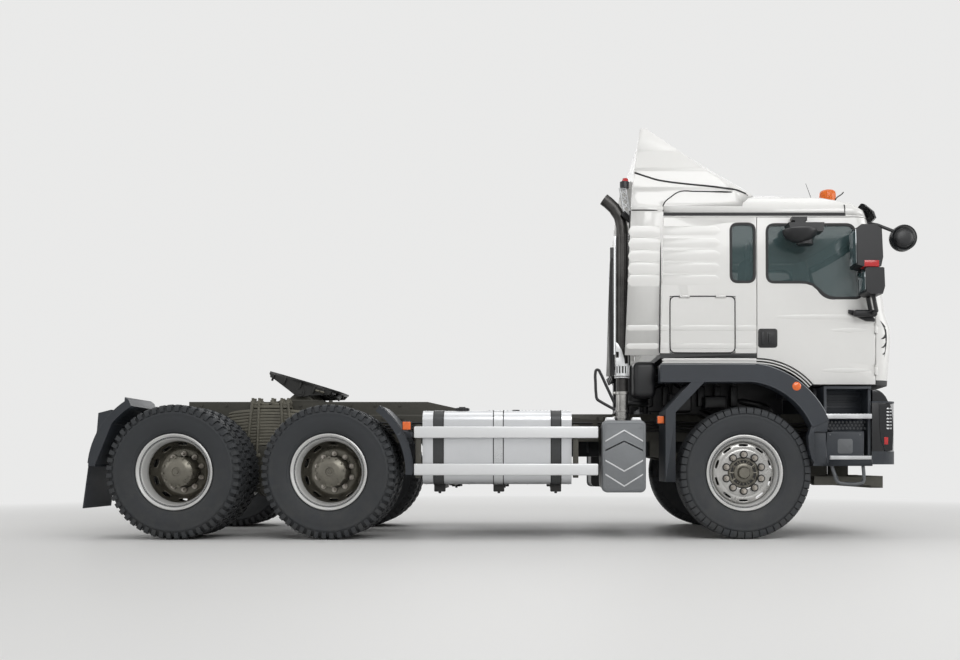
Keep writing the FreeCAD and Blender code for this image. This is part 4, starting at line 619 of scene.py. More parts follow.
def add_tyre(bm, centre, r, depth, pitches, drive):
    half = tyre_profile(r, depth)
    profile = half + [(-a, b) for a, b in reversed(half)]
    add_lathe(bm, profile + profile[:1], centre, steps=88)
    base = r - depth - 0.004
    pitch = math.tau / pitches
    for n in range(pitches):
        a = n * pitch
        for sign in (1, -1):
            turn = a + (pitch / 2 if sign < 0 else 0)
            shoulder = [(sign * 0.096, base), (sign * 0.096, r), (sign * 0.131, r - 0.004),
                        (sign * 0.1475, r - 0.015), (sign * 0.1560, r - 0.036),
                        (sign * 0.1550, r - 0.062), (sign * 0.146, r - 0.066),
                        (sign * 0.120, base)]
            if drive:
                add_lug(bm, shoulder, centre, turn, pitch * 0.54, sign * 0.10)
                block = [(sign * 0.034, base), (sign * 0.034, r - 0.001),
                         (sign * 0.080, r - 0.003), (sign * 0.080, base)]
                add_lug(bm, block, centre, turn + pitch * 0.42, pitch * 0.66, sign * 0.32)
            else:
                add_lug(bm, shoulder, centre, turn, pitch * 0.86, sign * 0.05)
                rib = [(sign * 0.042, base), (sign * 0.042, r), (sign * 0.086, r),
                       (sign * 0.086, base)]
                add_lug(bm, rib, centre, turn + pitch * 0.5, pitch * 0.92, sign * 0.10)
        inner = [(-0.026, base), (-0.026, r), (0.026, r), (0.026, base)]
        add_lug(bm, inner, centre, a + pitch * 0.2, pitch * (0.70 if drive else 0.93), 0.25)


def tyre_bodies(side):
    """Each wheel body on one side: name, node of its tyres, hub place, tyre offsets, drive."""
    return (
        ("front_wheel_" + side, "front_tyre_" + side, FRONT_HUB, (0.0,), False),
        ("mid_wheels_" + side, "mid_tyres_" + side, MID_HUB, (TWIN_HALF, -TWIN_HALF), True),
        ("rear_wheels_" + side, "rear_tyres_" + side, REAR_HUB, (TWIN_HALF, -TWIN_HALF),
         True),
    )


class TRUCK_OT_tyres(bpy.types.Operator):
    """Tyres with side wall rings and cut tread, single in front and twinned behind"""
    bl_idname = "truck.tyres"
    bl_label = "Tyres"

    def execute(self, context):
        sizes = context.scene.truck_sizes
        patterns = {}
        for drive, r in ((False, FRONT_TYRE_R), (True, DRIVE_TYRE_R)):
            bm = bmesh.new()
            add_tyre(bm, (0, 0, 0), r, sizes.tread_depth, sizes.tread_pitches, drive)
            bmesh.ops.remove_doubles(bm, verts=bm.verts[:], dist=2e-5)
            bmesh.ops.recalc_face_normals(bm, faces=bm.faces[:])
            mesh = bpy.data.meshes.new("tread")
            bm.to_mesh(mesh)
            bm.free()
            patterns[drive] = mesh
        for side, sign in SIDES:
            for body, node, hub, offsets, drive in tyre_bodies(side):
                bm = bmesh.new()
                for n, offset in enumerate(offsets):
                    before = len(bm.verts)
                    bm.from_mesh(patterns[drive])
                    bm.verts.ensure_lookup_table()
                    shift = Vector((hub.x, sign * (abs(hub.y) + offset), hub.z))
                    turn = Matrix.Rotation(0.02 + 0.047 * n, 4, "Y")
                    bmesh.ops.transform(bm, matrix=Matrix.Translation(shift) @ turn,
                                        verts=bm.verts[before:])
                mesh = bpy.data.meshes.new(node + "_tread")
                bm.to_mesh(mesh)
                bm.free()
                publish(mesh, node + "_tread", body, Paint.rubber, 30.0,
                        (node,))
        return {"FINISHED"}


BARREL = [
    (-0.120, 0.3475), (-0.1245, 0.338), (-0.117, 0.3275), (-0.106, 0.321),
    (-0.101, 0.317), (-0.105, 0.3115), (-0.100, 0.304), (-0.086, 0.298), (-0.056, 0.292),
    (-0.020, 0.283), (0.020, 0.283),
    (0.056, 0.292), (0.086, 0.298), (0.100, 0.304), (0.105, 0.3115), (0.101, 0.317),
    (0.106, 0.321), (0.117, 0.3275), (0.1245, 0.338), (0.120, 0.3475), (0.112, 0.3475), (0.107, 0.342),
    (0.098, 0.326),
    (0.092, 0.3065), (-0.092, 0.3065), (-0.098, 0.326), (-0.107, 0.342), (-0.112, 0.3475),
]
FRONT_DISC = [
    (0.012, 0.287), (0.030, 0.286), (0.046, 0.278), (0.056, 0.270), (0.063, 0.247),
    (0.064, 0.236), (0.060, 0.224), (0.060, 0.214), (0.066, 0.207), (0.066, 0.140),
]
DEEP_DISC = [
    (-0.012, 0.287), (-0.046, 0.284), (-0.078, 0.279), (-0.096, 0.270), (-0.128, 0.246),
    (-0.146, 0.232), (-0.155, 0.218), (-0.161, 0.206), (-0.161, 0.140),
]
DISC_WALL = 0.013
VENT_RADII = (0.245, 0.2725)


def add_disc(bm, profile, centre, sign, vents=10):
    """Dished disc with a wall and vent holes through its outer cone."""
    add_lathe(bm, [(sign * a, r) for a, r in profile], centre, steps=vents * 4)
    bmesh.ops.remove_doubles(bm, verts=bm.verts[:], dist=2e-5)
    bmesh.ops.recalc_face_normals(bm, faces=bm.faces[:])
    centre = Vector(centre)
    flat = max(bm.faces, key=lambda f: abs(f.normal.y))
    if flat.normal.y * sign < 0:
        bmesh.ops.reverse_faces(bm, faces=bm.faces[:])
    doomed = []
    for face in bm.faces:
        away = face.calc_center_median() - centre
        r = math.hypot(away.x, away.z)
        slot = (math.degrees(math.atan2(away.z, away.x)) % 360) / (360 / vents)
        if VENT_RADII[0] < r < VENT_RADII[1] and 0.25 < slot % 1.0 < 0.75:
            doomed.append(face)
    bmesh.ops.delete(bm, geom=doomed, context="FACES")
    bmesh.ops.solidify(bm, geom=bm.faces[:], thickness=DISC_WALL)


def subdivide(piece, levels=2):
    smooth = piece.modifiers.new("Smooth form", "SUBSURF")
    smooth.levels = smooth.render_levels = levels
    return piece


class TRUCK_OT_rims(bpy.types.Operator):
    """Rolled rim barrels with their lips, and dished discs with oval vents"""
    bl_idname = "truck.rims"
    bl_label = "Rims and discs"

    def execute(self, context):
        for side, sign in SIDES:
            for body, node, hub, offsets, drive in tyre_bodies(side):
                rims = node.replace("tyre", "rim")
                bm = bmesh.new()
                for offset in offsets:
                    centre = (hub.x, sign * (abs(hub.y) + offset), hub.z)
                    add_lathe(bm, BARREL + BARREL[:1], centre, steps=88)
                make_piece(bm, rims + "_barrel", body, Paint.silver, 40.0,
                           (rims,))
                bm = bmesh.new()
                for offset in offsets:
                    centre = (hub.x, sign * (abs(hub.y) + offset), hub.z)
                    outer = sign if offset >= 0 else -sign
                    part = bmesh.new()
                    add_disc(part, DEEP_DISC if drive else FRONT_DISC, centre, outer)
                    mesh = bpy.data.meshes.new("disc")
                    part.to_mesh(mesh)
                    part.free()
                    bm.from_mesh(mesh)
                    bpy.data.meshes.remove(mesh)
                disc = make_piece(bm, rims + "_disc", body, Paint.hub if drive else Paint.disc,
                                  50.0)
                subdivide(disc)
        return {"FINISHED"}


def add_ring_bolts(bm, centre, sign, r, count, out, size, high, start=0.0):
    axis = (0, sign, 0)
    for place in ring_places(centre, r, count, start):
        add_nut(bm, place + Vector(axis) * out, axis, size, high, False)


class TRUCK_OT_hubs(bpy.types.Operator):
    """Hubs, wheel nuts, hub reduction caps and brake drums"""
    bl_idname = "truck.hubs"
    bl_label = "Hubs and nuts"

    def execute(self, context):
        nut_r = context.scene.truck_sizes.nut_circle
        for side, sign in SIDES:
            self.front(side, sign, nut_r)
            for name, hub in (("mid", MID_HUB), ("rear", REAR_HUB)):
                self.drive(name + "_wheels_" + side, name + "_hub_" + side, hub, sign, nut_r)
        return {"FINISHED"}

    def front(self, side, sign, nut_r):
        body = "front_wheel_" + side
        centre = Vector((FRONT_HUB.x, sign * abs(FRONT_HUB.y), FRONT_HUB.z))
        bm = bmesh.new()
        hub = [(-0.100, 0.060), (-0.100, 0.205), (0.020, 0.210), (0.052, 0.200),
               (0.053, 0.139), (0.060, 0.136), (0.062, 0.118), (0.052, 0.114),
               (0.052, 0.092), (0.070, 0.088), (0.076, 0.080), (0.078, 0.060),
               (0.110, 0.052), (0.116, 0.046), (0.118, 0.0)]
        add_lathe(bm, [(sign * a, r) for a, r in hub], centre, steps=72)
        add_ring_bolts(bm, centre, sign, 0.103, 12, 0.052, 0.008, 0.010)
        for n in range(10):
            a = math.tau * n / 10
            inner = centre + Vector((0.088 * math.cos(a), sign * 0.060, 0.088 * math.sin(a)))
            outer = centre + Vector((0.128 * math.cos(a), sign * 0.060, 0.128 * math.sin(a)))
            add_rod(bm, inner, outer, 0.006, steps=8)
        make_piece(bm, "front_hub_" + side, body, Paint.hub)
        bm = bmesh.new()
        dark = bmesh.new()
        for place in ring_places(centre, nut_r, 10, 0.314):
            seat = place + Vector((0, sign * 0.079, 0))
            axis = Vector((0, sign, 0))
            add_rod(dark, seat - axis * 0.002, seat + axis * 0.004, 0.0365, 0.0345, 24)
            add_rod(bm, seat, seat + axis * 0.011, 0.028, 0.0245, 20)
            add_rod(bm, seat + axis * 0.010, seat + axis * 0.036, 0.0195, steps=6)
            add_rod(bm, seat + axis * 0.034, seat + axis * 0.050, 0.012, steps=12)
        make_piece(bm, "front_nuts_" + side, body, Paint.nut)
        add_lathe(dark, [(sign * 0.050, 0.095), (sign * 0.0555, 0.096), (sign * 0.0565, 0.118),
                         (sign * 0.0555, 0.141), (sign * 0.050, 0.142)], centre, steps=60)
        make_piece(dark, "front_seats_" + side, body, Paint.seal)

    def drive(self, body, name, hub, sign, nut_r):
        centre = Vector((hub.x, sign * (abs(hub.y) + TWIN_HALF), hub.z))
        bm = bmesh.new()
        cap = [(-0.161, 0.142), (-0.128, 0.139), (-0.108, 0.130), (-0.060, 0.127),
               (0.000, 0.127), (0.012, 0.138), (0.036, 0.138), (0.044, 0.130),
               (0.050, 0.112), (0.056, 0.104), (0.063, 0.080), (0.065, 0.040),
               (0.058, 0.036), (0.057, 0.020), (0.066, 0.017), (0.067, 0.0)]
        add_lathe(bm, [(sign * a, r) for a, r in cap], centre, steps=72)
        for place in ring_places(centre, 0.131, 12, 0.1):
            out = Vector((0, sign, 0))
            add_rod(bm, place, place + out * 0.044, 0.0135, steps=12)
            add_rod(bm, place + out * 0.042, place + out * 0.054, 0.0085, steps=6)
        make_piece(bm, name + "_cap", body, Paint.hub)
        bm = bmesh.new()
        for place in ring_places(centre, nut_r, 10, 0.314):
            seat = place + Vector((0, sign * -0.150, 0))
            axis = Vector((0, sign, 0))
            add_rod(bm, seat, seat + axis * 0.010, 0.026, 0.0235, 16)
            add_rod(bm, seat + axis * 0.010, seat + axis * 0.036, 0.0165, steps=6)
            add_rod(bm, seat + axis * 0.036, seat + axis * 0.060, 0.0105, steps=12)
        make_piece(bm, name + "_nuts", body, Paint.nut)
        bm = bmesh.new()
        middle_y = abs(hub.y)
        inner = Vector((hub.x, sign * middle_y, hub.z))
        drum = [(-0.349, 0.064), (-0.349, 0.205), (-0.340, 0.216), (-0.170, 0.216),
                (-0.150, 0.212), (-0.120, 0.196), (-0.014, 0.196), (-0.014, 0.066)]
        loop = [(sign * a, r) for a, r in drum]
        add_lathe(bm, loop + loop[:1], inner, steps=64)
        for n in range(3):
            out = -0.320 + 0.055 * n
            ring = [(sign * out, 0.214), (sign * (out + 0.004), 0.222),
                    (sign * (out + 0.018), 0.222), (sign * (out + 0.022), 0.214)]
            add_lathe(bm, ring, inner, steps=64)
        make_piece(bm, name + "_drum", body, Paint.cast)


# ---- frame and running gear -----------------------------------------------------------
class TRUCK_OT_frame(bpy.types.Operator):
    """Rails, axles, driveline and every other chassis node kept from the CAD"""
    bl_idname = "truck.frame"
    bl_label = "Frame and running gear"

    def execute(self, context):
        painted = ("frame", "fifth_wheel_subframe", "front_axle", "drive_axles", "propshafts",
                   "air_tanks", "rear_cab_mount")
        for node in painted:
            refine(node, Paint.frame, "chassis")
        refine("engine_and_gearbox", Paint.cast, "chassis")
        refine("track_rod", Paint.frame, "track_rod")
        for side, _ in SIDES:
            refine("knuckle_" + side, Paint.frame, "knuckle_" + side)
        self.rail_bolts()
        self.chambers()
        self.shaft_joints()
        self.engine_dress()
        return {"FINISHED"}

    def rail_bolts(self):
        rows = (
            (-3.45, 0.09, 3, (1.150, 1.085)), (-2.75, 0.11, 5, (1.140, 0.960)),
            (-2.05, 0.11, 4, (1.140, 0.960)), (-1.40, 0.09, 5, (1.135, 1.050, 0.960)),
            (-0.62, 0.10, 3, (1.135, 1.045, 0.955)), (-0.10, 0.10, 3, (1.135, 0.955)),
            (0.42, 0.10, 3, (1.135, 1.045, 0.955)), (0.90, 0.07, 6, (1.135, 0.965)),
            (1.44, 0.08, 4, (1.120, 0.965)), (1.90, 0.10, 3, (1.120, 0.955)),
            (2.62, 0.10, 3, (1.120, 0.955)), (3.16, 0.09, 3, (1.120, 0.955)),
        )
        bm = bmesh.new()
        for x0, step, count, heights in rows:
            for n in range(count):
                for z in heights:
                    for _, sign in SIDES:
                        place = (x0 + n * step, sign * RAIL_OUT, z)
                        add_rod(bm, place, (place[0], sign * (RAIL_OUT + 0.004), z), 0.018,
                                steps=12)
                        add_rod(bm, place, (place[0], sign * (RAIL_OUT + 0.014), z), 0.0125,
                                steps=6)
        make_piece(bm, "rail_bolts", "chassis", Paint.frame)

    def chambers(self):
        bm = bmesh.new()
        for x in (MID_HUB.x, REAR_HUB.x):
            for _, sign in SIDES:
                y, z = sign * 0.335, DRIVE_TYRE_R + 0.10
                profile = [(0.00, 0.0), (0.00, 0.070), (0.02, 0.082), (0.075, 0.084),
                           (0.080, 0.094), (0.092, 0.094), (0.097, 0.084), (0.165, 0.080),
                           (0.185, 0.060), (0.190, 0.0)]
                add_lathe(bm, profile, (x - 0.29, y, z), axis=(1, 0, 0.12), steps=32)
                add_rod(bm, (x - 0.10, y, z + 0.02), (x - 0.05, y, z - 0.01), 0.03, steps=16)
        make_piece(bm, "brake_chambers", "chassis", Paint.black)

    def shaft_joints(self):
        bm = bmesh.new()
        for x, z in ((MID_HUB.x + 0.34, 0.625), (HANGER_X + 0.07, 0.724),
                     (HANGER_X - 0.07, 0.717), (0.44, 0.868), (REAR_HUB.x + 0.35, 0.613),
                     (MID_HUB.x - 0.16, 0.613)):
            ring = [(-0.045, 0.060), (-0.040, 0.085), (-0.018, 0.088), (-0.014, 0.070),
                    (0.014, 0.070), (0.018, 0.088), (0.040, 0.085), (0.045, 0.060)]
            add_lathe(bm, ring, (x, 0, z), axis=(1, 0, 0), steps=24)
        make_piece(bm, "shaft_joints", "chassis", Paint.cast)

    def engine_dress(self):
        """Air filter, pipes and casting ribs that show between cab and wheel."""
        bm = bmesh.new()
        for n in range(9):
            x = 1.42 + n * 0.14
            for _, sign in SIDES:
                add_block(bm, (x, sign * 0.286, 0.80), (x + 0.035, sign * 0.318, 1.20), 0.006)
        for n in range(6):
            x = 0.56 + n * 0.12
            for _, sign in SIDES:
                add_block(bm, (x, sign * 0.215, 0.80), (x + 0.022, sign * 0.245, 1.05), 0.004)
        for x in (1.62, 1.86, 2.10):
            add_rod(bm, (x, -0.14, 1.20), (x, -0.34, 1.30), 0.055, steps=24)
        add_rod(bm, (1.50, -0.352, 1.32), (2.22, -0.352, 1.32), 0.058, steps=24)
        add_block(bm, (1.46, -0.30, 1.24), (2.20, 0.30, 1.50), 0.03, 3)
        add_block(bm, (2.30, -0.36, 1.16), (2.72, 0.36, 1.36), 0.03, 3)
        for n in range(6):
            add_rod(bm, (1.56 + n * 0.12, -0.325, 1.40), (1.56 + n * 0.12, -0.325, 1.53),
                    0.030, 0.022, 16)
        make_piece(bm, "engine_castings", "chassis", Paint.cast)
        bm = bmesh.new()
        profile = [(0.0, 0.0), (0.0, 0.13), (0.012, 0.142), (0.03, 0.142), (0.04, 0.135),
                   (0.34, 0.135), (0.35, 0.142), (0.37, 0.142), (0.38, 0.13), (0.38, 0.0)]
        add_lathe(bm, profile, (1.23, -0.66, 1.24), axis=(0, 0, 1), steps=40)
        add_lathe(bm, profile, (1.27, 0.62, 1.20), axis=(0, 0, 1), steps=40)
        add_block(bm, (1.56, -0.72, 1.18), (1.78, -0.50, 1.36), 0.02, 3)
        add_block(bm, (1.90, -0.70, 1.21), (2.12, -0.52, 1.34), 0.02, 3)
        for _, sign in SIDES:
            add_block(bm, (1.30, sign * 0.46, 1.19), (1.62, sign * 0.50, 1.62), 0.02, 3)
            add_block(bm, (1.190, sign * 0.70, 1.30), (1.400, sign * 1.02, 1.635), 0.05, 4)
            add_side_prism(bm, [(1.62, 1.17), (1.62, 1.60), (2.45, 1.60), (2.58, 1.545),
                                (2.72, 1.45), (2.72, 1.17)], sign * 0.395, sign * 0.43, 0.01)
            for x in (1.36, 1.52, 1.70, 1.86, 2.02, 2.18):
                add_block(bm, (x, sign * 0.50, 1.24), (x + 0.07, sign * 0.57, 1.44), 0.012)
                add_rod(bm, (x + 0.035, sign * 0.535, 1.43), (x + 0.035, sign * 0.535, 1.50),
                        0.018, steps=12)
        make_piece(bm, "air_filters", "chassis", Paint.black)
        make_tube("engine_hoses", [
            [(1.42, -0.62, 1.50), (1.56, -0.56, 1.53), (1.70, -0.42, 1.46),
             (1.78, -0.33, 1.38)],
            [(2.20, -0.36, 1.32), (2.40, -0.44, 1.28), (2.58, -0.42, 1.22),
             (2.66, -0.34, 1.12)],
            [(1.36, -0.48, 1.18), (1.36, -0.52, 1.34), (1.48, -0.50, 1.46),
             (1.66, -0.36, 1.46)],
            [(1.90, -0.40, 1.20), (2.04, -0.44, 1.14), (2.20, -0.42, 1.13),
             (2.40, -0.40, 1.16)],
        ], 0.034, "chassis", Paint.black)
        lines = []
        for n in range(4):
            y, z = -0.395 - 0.022 * (n % 2), 1.00 + 0.030 * n
            lines.append([(0.90, y, z), (1.60, y, z + 0.01), (2.30, y, z - 0.02),
                          (3.10, y, z)])
            lines.append([(-2.9, y, z), (-1.6, y, z), (-0.8, y, z), (0.85, y, z)])
        make_tube("air_lines", lines, 0.009, "chassis", Paint.black)


HANGER_X = -0.560


BOGIE_X = (MID_HUB.x + REAR_HUB.x) / 2
LEAF_T = 0.0265


class TRUCK_OT_bogie_springs(bpy.types.Operator):
    """Leaf packs with their splayed U-bolts, clamp plates and trunnion saddles"""
    bl_idname = "truck.bogie_springs"
    bl_label = "Bogie springs"

    def execute(self, context):
        leaves = context.scene.truck_sizes.leaf_count
        bm = bmesh.new()
        for _, sign in SIDES:
            y0, y1 = sorted((sign * 0.452, sign * 0.558))
            for n in range(leaves):
                share = n / (leaves - 1)
                half = 0.765 - 0.36 * share
                base = 0.868 + n * (LEAF_T + 0.0032)
                self.leaf(bm, half, base, 0.235 - 0.05 * share, y0, y1)
        make_piece(bm, "spring_leaves", "chassis", Paint.spring, 25.0,
                   ("bogie_springs",))
        self.clamps()
        self.saddles()
        return {"FINISHED"}

    def leaf(self, bm, half, base, droop, y0, y1):
        count = 12
        low, high = [], []
        for k in range(count + 1):
            x = -half + 2 * half * k / count
            z = base - droop * x * x
            thin = 0.6 if k in (0, count) else 1.0
            low.append((BOGIE_X + x, z))
            high.append((BOGIE_X + x, z + LEAF_T * thin))
        add_side_prism(bm, low + high[::-1], y0, y1, 0.0025)

    def clamps(self):
        bm = bmesh.new()
        for _, sign in SIDES:
            y0, y1 = sorted((sign * 0.446, sign * 0.564))
            add_block(bm, (BOGIE_X - 0.195, y0, 1.226), (BOGIE_X + 0.195, y1, 1.256), 0.006)
            for x in (-0.15, -0.05, 0.05, 0.15):
                add_block(bm, (BOGIE_X + x - 0.040, y0, 1.254),
                          (BOGIE_X + x + 0.040, y1, 1.280), 0.008)
            for x in (-0.172, -0.108, 0.020, 0.108, 0.172):
                for y in (0.462, 0.548):
                    place = (BOGIE_X + x, sign * y, 1.276)
                    add_rod(bm, place, (place[0], place[1], 1.300), 0.023, steps=6)
                    add_rod(bm, place, (place[0], place[1], 1.326), 0.013, steps=10)
            for foot, top in ((-0.235, -0.172), (-0.130, -0.108), (0.130, 0.108),
                              (0.235, 0.172)):
                for y in (0.447, 0.563):
                    add_rod(bm, (BOGIE_X + foot, sign * y, 0.760),
                            (BOGIE_X + top, sign * y, 1.276), 0.014, steps=12)
            for foot in (-0.168, 0.168):
                add_block(bm, (BOGIE_X + foot - 0.075, y0 - 0.004, 0.745),
                          (BOGIE_X + foot + 0.075, y1 + 0.004, 0.790), 0.010)
        make_piece(bm, "spring_clamps", "chassis", Paint.spring)

    def saddles(self):
        z = 0.465
        bm = bmesh.new()
        for _, sign in SIDES:
            y0, y1 = sorted((sign * 0.450, sign * 0.560))
            add_side_prism(bm, [
                (BOGIE_X - 0.235, 0.862), (BOGIE_X - 0.225, 0.760), (BOGIE_X - 0.110, 0.520),
                (BOGIE_X - 0.090, 0.410), (BOGIE_X, 0.362), (BOGIE_X + 0.090, 0.410),
                (BOGIE_X + 0.110, 0.520), (BOGIE_X + 0.225, 0.760), (BOGIE_X + 0.235, 0.862),
            ], y0, y1, 0.012)
            cap = [(0.0, 0.0), (0.006, 0.052), (0.014, 0.082), (0.010, 0.098), (-0.006, 0.104)]
            add_lathe(bm, [(sign * a, r) for a, r in reversed(cap)],
                      (BOGIE_X, sign * 0.560, z), steps=40)
            add_ring_bolts(bm, (BOGIE_X, sign * 0.572, z), sign, 0.066, 8, 0.0, 0.009, 0.008)
            w0, w1 = sorted((sign * 0.321, sign * 0.371))
            add_side_prism(bm, [
                (BOGIE_X - 0.190, 0.907), (BOGIE_X - 0.085, 0.440), (BOGIE_X, 0.378),
                (BOGIE_X + 0.085, 0.440), (BOGIE_X + 0.190, 0.907),
            ], w0, w1, 0.008)
        add_rod(bm, (BOGIE_X, -0.555, z), (BOGIE_X, 0.555, z), 0.062, steps=32)
        for x0, x1 in ((BOGIE_X + 0.10, MID_HUB.x - 0.03), (BOGIE_X - 0.10, REAR_HUB.x + 0.03)):
            for _, sign in SIDES:
                start, end = (x0, sign * 0.40, 0.420), (x1, sign * 0.40, 0.500)
                add_rod(bm, start, end, 0.026, steps=16)
                add_rod(bm, (x0, sign * 0.36, 0.420), (x0, sign * 0.44, 0.420), 0.05)
                add_rod(bm, (x1, sign * 0.36, 0.500), (x1, sign * 0.44, 0.500), 0.05)
        make_piece(bm, "trunnion_saddles", "chassis", Paint.frame)


FIFTH = Vector((-2.035, 0, 1.396))
FIFTH_TURN = Matrix.Translation(FIFTH) @ Matrix.Rotation(math.radians(16.5), 4, "Y")


class TRUCK_OT_fifth_wheel(bpy.types.Operator):
    """Coupling plate with its grease grooves, jaw parts, release handle and ribs"""
    bl_idname = "truck.fifth_wheel"
    bl_label = "Fifth wheel"

    def execute(self, context):
        refine("fifth_wheel", Paint.coupling, "fifth_wheel")
        bm = bmesh.new()
        for _, sign in SIDES:
            for x0, x1 in ((-0.26, -0.20), (0.16, 0.22)):
                add_block(bm, (x0, sign * 0.13, 0.1150), (x1, sign * 0.33, 0.1172), 0.001)
            for x in (-0.30, -0.18, -0.02, 0.12, 0.21):
                y0, y1 = sorted((sign * 0.412, sign * 0.440))
                add_block(bm, (x, y0, 0.020 + 0.02 * abs(x)), (x + 0.016, y1, 0.094), 0.003)
            for x in (-0.33, 0.26):
                y0, y1 = sorted((sign * 0.06, sign * 0.36))
                add_block(bm, (x - 0.012, y0, 0.055), (x + 0.012, y1, 0.094), 0.004)
            add_rod(bm, (0, sign * 0.404, 0), (0, sign * 0.424, 0), 0.046, steps=24)
            add_rod(bm, (0, sign * 0.424, 0), (0, sign * 0.432, 0), 0.030, steps=6)
        add_block(bm, (0.05, -0.10, 0.034), (0.30, 0.10, 0.070), 0.01)
        for place in ring_places((0.15, 0, 0), 0.05, 6):
            add_rod(bm, (place.x, place.z, 0.030), (place.x, place.z, 0.042), 0.011, steps=6)
        self.seat(bm, "coupling_ribs", Paint.coupling)
        bm = bmesh.new()
        add_rod(bm, (0.14, -0.08, 0.058), (0.16, -0.46, 0.058), 0.010, steps=12)
        add_rod(bm, (0.16, -0.46, 0.058), (0.20, -0.478, 0.058), 0.010, steps=12)
        add_rod(bm, (0.20, -0.478, 0.058), (0.24, -0.462, 0.058), 0.010, steps=12)
        self.seat(bm, "release_handle", Paint.spring)
        bm = bmesh.new()
        for _, sign in SIDES:
            y0, y1 = sorted((sign * 0.304, sign * 0.386))
            for x in (-0.29, -0.20, 0.20, 0.29):
                add_rod(bm, (FIFTH.x + x, sign * 0.345, 1.299),
                        (FIFTH.x + x, sign * 0.345, 1.318), 0.020, steps=6)
            add_side_prism(bm, [(FIFTH.x - 0.26, 1.299), (FIFTH.x + 0.26, 1.299),
                                (FIFTH.x + 0.15, 1.322), (FIFTH.x - 0.15, 1.322)],
                           y0, y1, 0.005)
            for n in range(9):
                x = FIFTH.x - 0.98 + n * 0.245
                add_rod(bm, (x, sign * 0.381, 1.262), (x, sign * 0.394, 1.262), 0.0125, steps=6)
        make_piece(bm, "coupling_mounts", "chassis", Paint.frame)
        return {"FINISHED"}

    def seat(self, bm, name, finish):
        bmesh.ops.transform(bm, matrix=FIFTH_TURN, verts=bm.verts[:])
        make_piece(bm, name, "fifth_wheel", finish)


class TRUCK_OT_mudguards(bpy.types.Operator):
    """Moulded guards over the drive wheels with edge beads, bolts and flaps"""
    bl_idname = "truck.mudguards"
    bl_label = "Drive mudguards"

    def execute(self, context):
        refine("rear_mudguards", Paint.skirt, "chassis")
        refine("mid_mudguards", Paint.skirt, "chassis")
        bm = bmesh.new()
        for _, sign in SIDES:
            edge = sign * 1.2465
            self.bead(bm, MID_HUB, 0.7655, -1, 51, sign * 1.2440)
            self.bead(bm, REAR_HUB, 0.7665, 124, 174, edge)
            for y in (0.72, 0.95, 1.18):
                place = (REAR_HUB.x - 0.752, sign * y, 0.690)
                add_rod(bm, place, (place[0] - 0.012, place[1], 0.690), 0.012, steps=6)
                place = (MID_HUB.x + 0.690, sign * y, 0.86)
                add_rod(bm, place, (place[0] + 0.035, place[1], 0.875), 0.012, steps=6)
        make_piece(bm, "mudguard_beads", "chassis", Paint.skirt)
        return {"FINISHED"}

    def bead(self, bm, hub, r, start, end, y):
        """Rolled edge along a guard's outer side."""
        count = 16
        ring = []
        for n in range(count):
            a = math.radians(start + (end - start) * n / (count - 1))
            ring.append((hub.x + r * math.cos(a), y, hub.z + r * math.sin(a)))
        for a, b in zip(ring, ring[1:]):
            add_rod(bm, a, b, 0.0045, steps=8)


TANK_LOW, TANK_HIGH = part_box("fuel_tanks")
STRAP_XS = (-0.600, -0.055, 0.470)


def rounded_ring(y0, y1, z0, z1, r, steps=6):
    """Rounded rectangle in y and z."""
    points = []
    for cy, cz, start in ((y1 - r, z1 - r, 0), (y0 + r, z1 - r, 90), (y0 + r, z0 + r, 180),
                          (y1 - r, z0 + r, 270)):
        for n in range(steps + 1):
            a = math.radians(start + 90 * n / steps)
            points.append((cy + r * math.cos(a), cz + r * math.sin(a)))
    return points


def add_band(bm, points, x0, x1, thick):
    """Flat band round an outline, with a real thickness."""
    part = bmesh.new()
    verts = [part.verts.new((x0, y, z)) for y, z in points]
    edges = [part.edges.new(pair) for pair in zip(verts, verts[1:] + verts[:1])]
    made = bmesh.ops.extrude_edge_only(part, edges=edges)["geom"]
    bmesh.ops.translate(part, vec=(x1 - x0, 0, 0),
                        verts=[g for g in made if isinstance(g, bmesh.types.BMVert)])
    bmesh.ops.recalc_face_normals(part, faces=part.faces[:])
    bmesh.ops.solidify(part, geom=part.faces[:], thickness=thick)
    mesh = bpy.data.meshes.new("band")
    part.to_mesh(mesh)
    part.free()
    bm.from_mesh(mesh)
    bpy.data.meshes.remove(mesh)


